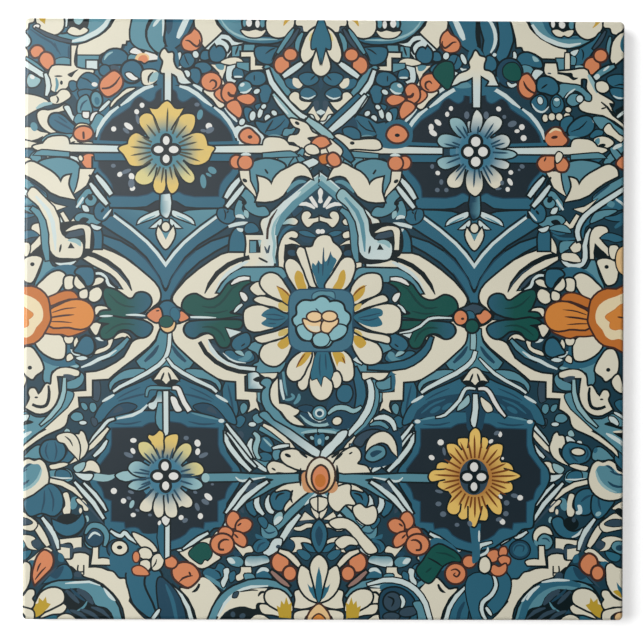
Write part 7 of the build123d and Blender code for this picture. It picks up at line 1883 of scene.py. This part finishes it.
right_hooks = group(
    patch(NAVY, [10-72j, 28-58j, 40-60j, 45-75j, 40-92j, 28-107j, 8-108j, 2-100j], 0),
    stroke(BLUE, [30-48j, 35-62j, 37-76j, 33-90j], 9, (0.5, 0.5), 1.6),
    stroke(SKY, [49-60j, 52-76j, 48-92j, 40-104j, 30-114j], 6, (0.4, 0.5), 1.4),
    stroke(ICE, [42-55j, 46-64j, 47-78j, 43-91j, 36-102j, 24-115j], 6, (0.5, 0.6), 1.4),
    patch(BLUE, [13-72j, 17-66j, 25-66j, 28-74j, 23-82j, 15-80j], 1.6),
    stroke(MIST, [4-94j, 12-88j, 22-88j, 29-91j, 37-87j], 4.6, (0.4, 0.4), 1.4),
    spot(CREAM, 13-101j, 4.4, 3.6, 20, 1.6),
    patch(NAVY, [26-126j, 34-114j, 44-104j, 60-100j, 72-108j, 78-120j, 74-138j, 60-146j, 40-146j], 0),
    stroke(ICE, [50-99j, 60-97j, 68-102j, 71-110j], 5, (0.3, 0.5), 1.4),
    stroke(SKY, [46-105j, 56-103j, 64-108j], 4, (0.3, 0.5), 1.2),
    patch(SLATE, [30-123j, 34-116j, 43-111j, 53-110j, 58-112j, 49-115j, 42-119j, 37-126j], 1.6),
    patch(CREAM, [6-150j, K, 14-137j, 24-129j, 31-127j, 36-132j, 36-139j, 33-143j, 43-147j, 46-152j, K, 20-153j, K], 1.8),
    stroke(INK, [12-140j, 19-133j], 1.8),
    stroke(INK, [25-134j, 28.5-132j], 1.8),
    patch(CREAM, [42-134j, K, 43-124j, 47-117j, 53-113j, 61-112j, 68-117j, 72-126j, 73-136j, K, 68-131j, 64-124.5j, 58-122j,
                  52-123.5j, 47-128j], 1.8),
    patch(SKY, [42-138j, 46-129j, 53-125.5j, 60-128j, 61-134j, 55-139j, 48-141j], 1.8),
    patch(NAVY, [46-134j, 52-130j, 58-131j, 53-135j, 48-137j], 0),
    patch(BLUE, [52-52j, 69-52j, 69-70j, 54-70j], 0),
    patch(CREAM, [38-53j, K, 64-53j, K, 60-58j, 54-60j, 48-57j, 39-59j], 1.6),
    patch(SKY, [52-63j, 60-61j, 66-57j, K, 66-68j, K, 54-68j], 1.4),
    patch(CREAM, [106-22j, 118-20j, 132-14j, 128-26j, 112-42j, 90-54j, 78-56j, 68-52j, 84-46j, 98-37j], 0),
    stroke(BLUE, [107-17j, 103-27j, 94-37j, 80-44.5j, 64-47j, 44-47j], 7, (0.4, 0.6), 1.8),
    patch(CREAM, [30-187j, 36-184j, 42-188j, 50-186j, 53-194j, 50-202j, 42-204j, 36-200j, 32-196j], 1.8),
    patch(CREAM, [6-202j, 14-198j, 24-199j, 34-206j, 40-214j, 47-221j, 53-231j, 45-233j, 38-226j, 30-216j, 22-208j,
                  12-208j], 1.8),
    patch(CREAM, [12-222j, 20-216j, 30-218j, 34-224j, 26-224j, 18-228j], 1.6),
    patch(BLUE, [95-236j, 100-226j, 112-217j, 122-220j, 134-230j, 138-238j, 126-248j, 112-250j, 100-246j], 0),
    patch(GREEN, [93-250j, 100-240j, 108-228j, 115-224j, 125-228j, 135-235j, 137-240j, 128-240.5j, 119-245j, 113-254j, 105-262j,
                  98-258j], 1.8),
    stroke(INK, [104-237j, 112-241j, 119-246j], 1.8),
    stroke(MOSS, [112-232j, 122-233j, 132-238j], 2.0),
    stroke(MOSS, [102-252j, 108-247j], 2.0),
)

# Arch at the foot of the right inner quarter
right_arch = group(
    patch(BLUE, [56-266j, 72-263j, 86-267j, 96-277j, 102-288j, 105-302j, K, 60-302j, K, 56-290j, 60-276j], 0),
    patch(NAVY, [60-270j, 72-267j, 84-272j, 91-282j, 89-291j, 82-302j, K, 58-302j, K, 56-290j], 1.8),
    spot(SLATE, 69-281j, 8.6, 9, 0, 1.8),
    stroke(INK, [64-276j, 70-279j, 68-286j], 2.0),
    stroke(ICE, [77-275j, 80-281j, 78-287j], 3.4, (0.4, 0.4), 1.2),
    spot(SLATE, 85-291j, 9, 4.4, 10, 1.4),
    spot(SLATE, 68-296j, 8, 4, 0, 1.4),
    patch(SKY, [90-282j, 97-281j, 104-291j, 107-302j, 96-302j, 94-291j], 1.4),
    stroke(ICE, [44-264j, 60-259.5j, 78-261j, 92-269j, 102-283j, 107-300j], 5, (0.4, 0.8), 1.4),
)

# Knot where the upper bands cross, with its two corals
upper_knot = group(
    stroke(MIST, [-18+200j, -7+192j, 3+184j, 10+177j], 7, (0.6, 0.6), 1.8),
    stroke(BLUE, [8+179j, 16+171j, 27+159j], 8, (0.6, 0.4), 1.8),
    patch(CREAM, [4+180j, 10+176j, 17+168j, 13+162j, 6+165j, 2+172j], 1.6),
    patch(CORAL, [-13+176j, -9+181j, -4+182.5j, 1+181j, 4.5+176j, K, -1+172.5j, -7+172j], 2.2, RUST),
    patch(CREAM, [-20+171j, -15+174.5j, -8+172j, -6+167j, -12+165j, -18+167j], 1.6),
    patch(AMBER, [-6+162j, 3+164.5j, 3+157j, -3+156j], 1.6, RUST),
    patch(CORAL, [3+163j, 8+166j, 13+163j, 14.5+156j, 9+153.5j, 4+157j], 2.2, RUST),
)

# Chevron over the lower roundel, and the cream foot to its right
lower_chevron = group(
    patch(Fade(SKY, ICE, -50-100j, -12-130j), [-60-92j, -50-101j, -34-110j, -20-120j, -4-131j, K, -4-138j, K, -12-134.5j, -26-124.5j,
                                               -42-112.5j, -56-102j, -64-94j], 1.8),
    patch(ICE, [-4-138j, K, -2-131j, 8-121j, 18-111j, 23-111j, 22-116j, 12-127j, 2-137j], 1.8),
    patch(CREAM, [6-173j, 14-167j, 26-165j, 26-174j, 31-184j, 22-184j, 14-191j, 6-184j], 1.8),
)


painting = group(
    both_sides(upper_garden), upper_outer_garden, upper_left_garden,
    upper_medallion(SKY, ICE), [shape.moved(mirrored) for shape in upper_medallion(TEAL, NAVY)],
    both_sides(upper_arms, upper_panel, upper_scroll, upper_outer_scroll),
    frame_head(0, CREAM, ICE), frame_head(308, Fade(MIST, ICE, 20+120j, 60+66j), SKY), top_petal, green_flower, right_leaf, left_cross, right_cross,
    right_roundel, upper_knot, arm_buds, right_arm_bud,
    both_sides(lower_garden, lower_outer_garden, lower_clutter, lower_medallion, lower_outer_clutter, lower_arms,
               lower_scroll, lower_outer_scroll, edge_flower),
    left_shell, right_hooks, right_arch, right_foot,
    [shape.moved(over_right) for shape in coral_cluster], left_foot, left_lower_axis, right_lower_axis, lower_chevron, lower_middle,
    upper_left_rosette, upper_right_rosette, lower_left_rosette, lower_right_rosette,
    both_sides(side_flower, green_leaves), left_bud, right_bud, middle_flower,
)


def tile_outline():
    """The face's outline, a square with rounded corners, anticlockwise."""
    radius = CORNER_RADIUS / UNIT
    turn = np.exp(1j * np.linspace(0, np.pi / 2, 7)) * radius
    corner = (EDGE - radius) * (1 + 1j)
    return np.concatenate([(corner + turn) * 1j**quarter for quarter in range(4)])


def inset_from_rim(points):
    """How far each point lies inside the face's outline."""
    radius = CORNER_RADIUS / UNIT
    x = abs(points.real) - (EDGE - radius)
    y = abs(points.imag) - (EDGE - radius)
    beyond = np.hypot(np.maximum(x, 0), np.maximum(y, 0)) + np.minimum(np.maximum(x, y), 0)
    return radius - beyond


RIM_ROWS = (0.0, 0.25, 0.7, 1.4, 2.4, 3.94)  # insets at which the cushion gets a row of points


def inner_outline(inset):
    """The outline drawn in by an inset, as an offset of the rounded square."""
    radius = CORNER_RADIUS / UNIT
    outline = tile_outline()
    centre = np.clip(outline.real, -EDGE + radius, EDGE - radius) + 1j * np.clip(outline.imag, -EDGE + radius, EDGE - radius)
    kept = max(radius - inset, 0.05)
    shift = max(inset - radius + 0.05, 0)
    middle = centre - shift * (np.sign(centre.real) + 1j * np.sign(centre.imag))
    return middle + (outline - centre) / radius * kept


def partition(shapes, ground):
    """Flattens the shapes, the last on top, into one net of triangles with a colour at each corner."""
    points, edges = [], []

    def add_loop(loop):
        first = len(points)
        points.extend(Vector((p.real, p.imag)) for p in loop)
        count = len(loop)
        edges.extend((first + i, first + (i + 1) % count) for i in range(count))

    for inset in RIM_ROWS:
        add_loop(inner_outline(inset))
    limit = EDGE + 20
    shown = []
    for shape in shapes:
        loops = shape.loops()
        ends = np.concatenate(loops)
        if ends.real.max() < -EDGE or ends.real.min() > EDGE or ends.imag.max() < -EDGE or ends.imag.min() > EDGE:
            continue
        shown.append((shape, ends))
        for loop in loops:
            add_loop(loop)
    flat = delaunay_2d_cdt(points, edges, [], 0, 1e-3, False)
    nodes = np.array([complex(p[0], p[1]) for p in flat[0]])
    triangles = np.array(flat[2])
    middles = nodes[triangles].mean(axis=1)
    inside = inset_from_rim(middles) > 0
    triangles, middles = triangles[inside], middles[inside]
    corners = nodes[triangles]
    turned = ((corners[:, 1] - corners[:, 0]).conj() * (corners[:, 2] - corners[:, 0])).imag < 0
    triangles[turned] = triangles[turned][:, ::-1]
    corners = nodes[triangles]
    owner = np.full(len(triangles), -1)
    for index, (shape, ends) in enumerate(shown):
        near = np.flatnonzero(
            (middles.real > ends.real.min()) & (middles.real < ends.real.max())
            & (middles.imag > ends.imag.min()) & (middles.imag < ends.imag.max())
        )
        if len(near):
            owner[near[shape.covers(middles[near])]] = index
    colours = np.tile(ground, (len(triangles), 3, 1))
    for index, (shape, ends) in enumerate(shown):
        mine = np.flatnonzero(owner == index)
        if len(mine):
            colours[mine] = shape.paint if isinstance(shape.paint, np.ndarray) else shape.paint.at(corners[mine])
    used, triangles = np.unique(triangles, return_inverse=True)
    return nodes[used], triangles.reshape(-1, 3), colours


def underside(top_nodes, top_triangles):
    """Rows of points under the glaze's rim, one for each point on the rim, and the flat sheet they close on."""
    sides = np.concatenate([top_triangles[:, [0, 1]], top_triangles[:, [1, 2]], top_triangles[:, [2, 0]]])
    keys = np.sort(sides, axis=1)
    order, where, count = np.unique(keys, axis=0, return_index=True, return_counts=True)
    follows = {int(a): int(b) for a, b in sides[where[count == 1]]}
    start = next(iter(follows))
    loop = [start]
    while follows[loop[-1]] != start:
        loop.append(follows[loop[-1]])
    rim = top_nodes[loop]
    radius = CORNER_RADIUS / UNIT
    centre = np.clip(rim.real, -EDGE + radius, EDGE - radius) + 1j * np.clip(rim.imag, -EDGE + radius, EDGE - radius)
    inward = (centre - rim) / np.maximum(abs(centre - rim), 1e-6)
    rows = [rim + inward * min(inset, radius * 0.97) for inset in RIM_ROWS]
    return loop, rows


def drape_tree():
    """Node tree that lays the flat painted net on the tile: level on the face, rounded down over the cushion."""
    tree = bpy.data.node_groups.new("drape_glaze", "GeometryNodeTree")
    sockets = {}
    tree.interface.new_socket("Net", in_out="INPUT", socket_type="NodeSocketGeometry")
    for name in ("Half side", "Corner radius", "Cushion radius", "Face height", "Lift", "Sink"):
        sockets[name] = tree.interface.new_socket(name, in_out="INPUT", socket_type="NodeSocketFloat").identifier
    sockets["Finish"] = tree.interface.new_socket("Finish", in_out="INPUT", socket_type="NodeSocketMaterial").identifier
    tree.interface.new_socket("Glaze", in_out="OUTPUT", socket_type="NodeSocketGeometry")
    nodes, links = tree.nodes, tree.links
    given = nodes.new("NodeGroupInput").outputs

    def wire(value, socket):
        if isinstance(value, (int, float)):
            socket.default_value = value
        else:
            links.new(value, socket)

    def math(operation, first, second=0.0):
        node = nodes.new("ShaderNodeMath")
        node.operation = operation
        wire(first, node.inputs[0])
        wire(second, node.inputs[1])
        return node.outputs[0]

    place = nodes.new("ShaderNodeSeparateXYZ")
    links.new(nodes.new("GeometryNodeInputPosition").outputs[0], place.inputs[0])
    under = nodes.new("GeometryNodeInputNamedAttribute")
    under.data_type = "FLOAT"
    under.inputs["Name"].default_value = "under"
    half, corner, cushion = given["Half side"], given["Corner radius"], given["Cushion radius"]
    depth = math("ADD", given["Lift"], given["Sink"])
    offset = math("SUBTRACT", given["Lift"], math("MULTIPLY", depth, under.outputs["Attribute"]))

    # Distance in from the rounded square outline
    straight = math("SUBTRACT", half, corner)
    past_x = math("SUBTRACT", math("ABSOLUTE", place.outputs["X"]), straight)
    past_y = math("SUBTRACT", math("ABSOLUTE", place.outputs["Y"]), straight)
    round_x = math("POWER", math("MAXIMUM", past_x), 2.0)
    round_y = math("POWER", math("MAXIMUM", past_y), 2.0)
    within = math("MINIMUM", math("MAXIMUM", past_x, past_y))
    inset = math("SUBTRACT", corner, math("ADD", math("SQRT", math("ADD", round_x, round_y)), within))

    # Height of a quarter round that starts level at the face and ends upright at the side
    out = math("MAXIMUM", math("SUBTRACT", cushion, inset))
    share = math("MINIMUM", math("DIVIDE", out, cushion), 1.0)
    rise = math("SQRT", math("MAXIMUM", math("SUBTRACT", 1.0, math("POWER", share, 2.0))))
    lifted = math("ADD", cushion, offset)
    foot = math("SUBTRACT", given["Face height"], cushion)
    spread = math("ADD", 1.0, math("DIVIDE", offset, half))
    target = nodes.new("ShaderNodeCombineXYZ")
    links.new(math("MULTIPLY", place.outputs["X"], spread), target.inputs["X"])
    links.new(math("MULTIPLY", place.outputs["Y"], spread), target.inputs["Y"])
    links.new(math("ADD", foot, math("MULTIPLY", lifted, rise)), target.inputs["Z"])

    drape = nodes.new("GeometryNodeSetPosition")
    realize = nodes.new("GeometryNodeRealizeInstances")
    finish = nodes.new("GeometryNodeSetMaterial")
    links.new(given["Net"], drape.inputs["Geometry"])
    links.new(target.outputs[0], drape.inputs["Position"])
    links.new(drape.outputs[0], realize.inputs[0])
    links.new(realize.outputs[0], finish.inputs["Geometry"])
    links.new(given["Finish"], finish.inputs["Material"])
    links.new(finish.outputs[0], nodes.new("NodeGroupOutput").inputs[0])
    return tree, sockets


def painted_glaze(shapes, finish):
    """The painted face as one closed skin: the flattened painting on top, and a plain sheet under it."""
    top, triangles, colours = partition(shapes, GROUND)
    loop, rows = underside(top, triangles)
    count, rim = len(top), len(loop)
    flat = np.concatenate([top, *rows]) * UNIT
    here, there = np.arange(rim), np.roll(np.arange(rim), -1)
    rings = [np.array(loop)] + [count + rim * row + here for row in range(len(rows))]
    quads = [np.stack([a[there], a[here], b[here], b[there]], axis=1) for a, b in zip(rings, rings[1:])]
    quads = np.concatenate(quads)
    faces = triangles.tolist() + quads.tolist() + [rings[-1][::-1].tolist()]

    mesh = bpy.data.meshes.new("painted_glaze")
    mesh.from_pydata(np.stack([flat.real, flat.imag, 0 * flat.real], axis=1).tolist(), [], faces)
    under = mesh.attributes.new("under", "FLOAT", "POINT")
    under.data.foreach_set("value", (np.arange(len(flat)) >= count).astype(np.float32))
    loops = np.zeros(len(mesh.loops), np.int32)
    mesh.loops.foreach_get("vertex_index", loops)
    paint = np.ones((len(loops), 4), np.float32)
    paint[:, :3] = INK
    paint[: 3 * len(triangles), :3] = colours.reshape(-1, 3)
    mesh.attributes.new("paint", "FLOAT_COLOR", "CORNER").data.foreach_set("color", paint.ravel())
    spread = np.stack([flat.real, flat.imag], axis=1)[loops] / TILE_SIDE * 0.98 + 0.5
    spread[3 * len(triangles):] = spread[3 * len(triangles):] * 0.006
    mesh.uv_layers.new(name="OFBake").data.foreach_set("uv", spread.astype(np.float32).ravel())

    maker = bpy.data.objects.new("painted_glaze_net", mesh)
    bpy.context.scene.collection.objects.link(maker)
    tree, sockets = drape_tree()
    drape = maker.modifiers.new("drape", "NODES")
    drape.node_group = tree
    drape[sockets["Half side"]] = TILE_SIDE / 2
    drape[sockets["Corner radius"]] = CORNER_RADIUS
    drape[sockets["Cushion radius"]] = CUSHION_RADIUS
    drape[sockets["Face height"]] = FACE_HEIGHT
    drape[sockets["Lift"]] = GLAZE_LIFT
    drape[sockets["Sink"]] = GLAZE_SINK
    drape[sockets["Finish"]] = finish
    graph = bpy.context.evaluated_depsgraph_get()
    skin = bpy.data.meshes.new_from_object(maker.evaluated_get(graph), depsgraph=graph)
    skin.name = "painted_glaze"
    maker.modifiers.remove(drape)
    bpy.data.objects.remove(maker)
    piece = bpy.data.objects.new("painted_glaze", skin)
    bpy.context.scene.collection.objects.link(piece)
    return piece


def kiln_mottle():
    """Shader group for fired surfaces: slow cloudiness, fine specks and the height of a slightly uneven skin."""
    group = bpy.data.node_groups.new("kiln_mottle", "ShaderNodeTree")
    for name, default in (("Cloud scale", 60.0), ("Speck scale", 900.0), ("Ripple scale", 240.0)):
        socket = group.interface.new_socket(name, in_out="INPUT", socket_type="NodeSocketFloat")
        socket.default_value = default
    for name in ("Cloud", "Specks", "Ripple"):
        group.interface.new_socket(name, in_out="OUTPUT", socket_type="NodeSocketFloat")
    nodes, links = group.nodes, group.links
    given = nodes.new("NodeGroupInput").outputs
    result = nodes.new("NodeGroupOutput").inputs
    where = nodes.new("ShaderNodeTexCoord").outputs["Object"]
    for name, source, detail in (("Cloud", "Cloud scale", 3.0), ("Specks", "Speck scale", 1.0), ("Ripple", "Ripple scale", 2.0)):
        noise = nodes.new("ShaderNodeTexNoise")
        noise.inputs["Detail"].default_value = detail
        links.new(where, noise.inputs["Vector"])
        links.new(given[source], noise.inputs["Scale"])
        links.new(noise.outputs["Fac"], result[name])
    return group


def fired_material(name, roughness, mottle, ripple_height, values):
    """A material with the mottle group in place; returns it with its shader, group and helpers."""
    material = bpy.data.materials.new(name)
    material.use_nodes = True
    nodes, links = material.node_tree.nodes, material.node_tree.links
    shader = nodes["Principled BSDF"]
    skin = nodes.new("ShaderNodeGroup")
    skin.node_tree = mottle
    for socket, value in values.items():
        skin.inputs[socket].default_value = value
    rough = nodes.new("ShaderNodeMapRange")
    rough.inputs["To Min"].default_value = roughness[0]
    rough.inputs["To Max"].default_value = roughness[1]
    links.new(skin.outputs["Cloud"], rough.inputs["Value"])
    links.new(rough.outputs["Result"], shader.inputs["Roughness"])
    bump = nodes.new("ShaderNodeBump")
    bump.inputs["Strength"].default_value = 0.4
    bump.inputs["Distance"].default_value = ripple_height
    links.new(skin.outputs["Ripple"], bump.inputs["Height"])
    links.new(bump.outputs["Normal"], shader.inputs["Normal"])
    return material, shader, skin


def toned(material, colour, skin, strength):
    """Lightens and darkens a colour a little with the cloud and the specks; returns the toned colour."""
    nodes, links = material.node_tree.nodes, material.node_tree.links
    tone = nodes.new("ShaderNodeMath")
    tone.operation = "MULTIPLY_ADD"
    links.new(skin.outputs["Cloud"], tone.inputs[0])
    tone.inputs[1].default_value = strength
    tone.inputs[2].default_value = 1 - strength * 0.75
    fleck = nodes.new("ShaderNodeMath")
    fleck.operation = "MULTIPLY_ADD"
    links.new(skin.outputs["Specks"], fleck.inputs[0])
    fleck.inputs[1].default_value = strength * 0.5
    links.new(tone.outputs[0], fleck.inputs[2])
    scaled = nodes.new("ShaderNodeVectorMath")
    scaled.operation = "SCALE"
    links.new(colour, scaled.inputs[0])
    links.new(fleck.outputs[0], scaled.inputs["Scale"])
    return scaled.outputs[0]


mottle = kiln_mottle()

glaze_finish, glaze_shader, glaze_skin = fired_material(
    "painted_glaze", (0.28, 0.38), mottle, 0.00002, {"Cloud scale": 45.0, "Speck scale": 2500.0, "Ripple scale": 700.0})
painted = glaze_finish.node_tree.nodes.new("ShaderNodeAttribute")
painted.attribute_name = "paint"
glaze_finish.node_tree.links.new(
    toned(glaze_finish, painted.outputs["Color"], glaze_skin, 0.10), glaze_shader.inputs["Base Color"])

body_finish, body_shader, body_skin = fired_material(
    "fired_body", (0.55, 0.8), mottle, 0.00008, {"Cloud scale": 30.0, "Speck scale": 1600.0, "Ripple scale": 1200.0})
clay = body_finish.node_tree.nodes.new("ShaderNodeMix")
clay.data_type = "RGBA"
clay.inputs["A"].default_value = (*glaze(206, 196, 178), 1)
clay.inputs["B"].default_value = (*glaze(228, 221, 206), 1)
body_finish.node_tree.links.new(body_skin.outputs["Cloud"], clay.inputs["Factor"])
body_finish.node_tree.links.new(
    toned(body_finish, clay.outputs["Result"], body_skin, 0.16), body_shader.inputs["Base Color"])

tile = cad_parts["tile"]
tile.data.materials.clear()
tile.data.materials.append(body_finish)

glazed_face = painted_glaze(painting, glaze_finish)
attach(glazed_face, "root")

# Plain pale floor, soft studio light and the camera straight above
scene = bpy.context.scene
scene.view_settings.view_transform = "Standard"

FLOOR_SIDE = 6.0
FLOOR_GLOW = 0.58
bpy.ops.mesh.primitive_plane_add(size=FLOOR_SIDE, location=(0, 0, tile_low[2]))
floor = bpy.context.object
floor.name = "floor"
floor_paint = bpy.data.materials.new("pale_floor")
floor_paint.use_nodes = True
floor_nodes, floor_links = floor_paint.node_tree.nodes, floor_paint.node_tree.links
floor_shader = floor_nodes["Principled BSDF"]
floor_shader.inputs["Base Color"].default_value = (0.93, 0.93, 0.93, 1)
floor_shader.inputs["Roughness"].default_value = 0.9
# Seen by the camera the floor glows a little, so that it is white round the tile and keeps the shadow
sight = floor_nodes.new("ShaderNodeLightPath")
seen = floor_nodes.new("ShaderNodeMath")
seen.operation = "MAXIMUM"
floor_links.new(sight.outputs["Is Camera Ray"], seen.inputs[0])
floor_links.new(sight.outputs["Is Glossy Ray"], seen.inputs[1])
through = floor_nodes.new("ShaderNodeMath")
through.operation = "MAXIMUM"
floor_links.new(seen.outputs[0], through.inputs[0])
floor_links.new(sight.outputs["Is Transmission Ray"], through.inputs[1])
glow = floor_nodes.new("ShaderNodeMath")
glow.operation = "MULTIPLY"
glow.inputs[1].default_value = FLOOR_GLOW
floor_links.new(through.outputs[0], glow.inputs[0])
floor_shader.inputs["Emission Color"].default_value = (1, 1, 1, 1)
floor_links.new(glow.outputs[0], floor_shader.inputs["Emission Strength"])
floor.data.materials.append(floor_paint)

world = bpy.data.worlds.new("studio")
scene.world = world
world.use_nodes = True
world.node_tree.nodes["Background"].inputs["Color"].default_value = (1, 1, 1, 1)
world.node_tree.nodes["Background"].inputs["Strength"].default_value = 0.02


def softbox(name, place, aim, size, power):
    """A square area lamp that faces a point."""
    lamp = bpy.data.lights.new(name, "AREA")
    lamp.shape = "SQUARE"
    lamp.size = size
    lamp.energy = power
    holder = bpy.data.objects.new(name, lamp)
    holder.location = place
    holder.rotation_euler = (Vector(aim) - Vector(place)).to_track_quat("-Z", "Y").to_euler()
    scene.collection.objects.link(holder)


softbox("key", (-0.56, 0.18, 0.58), (0, 0, 0), 0.62, 8.7)
softbox("fill", (-0.16, 0.11, 0.6), (0, 0, 0), 0.3, 0.45)

camera_data = bpy.data.cameras.new("camera")
camera_data.lens = 85
camera_data.sensor_width = 36
camera = bpy.data.objects.new("camera", camera_data)
camera.location = (-0.00549, -0.00202, 0.3918)
camera.rotation_euler = (radians(0.21), radians(-0.725), radians(0.234))
scene.collection.objects.link(camera)
scene.camera = camera
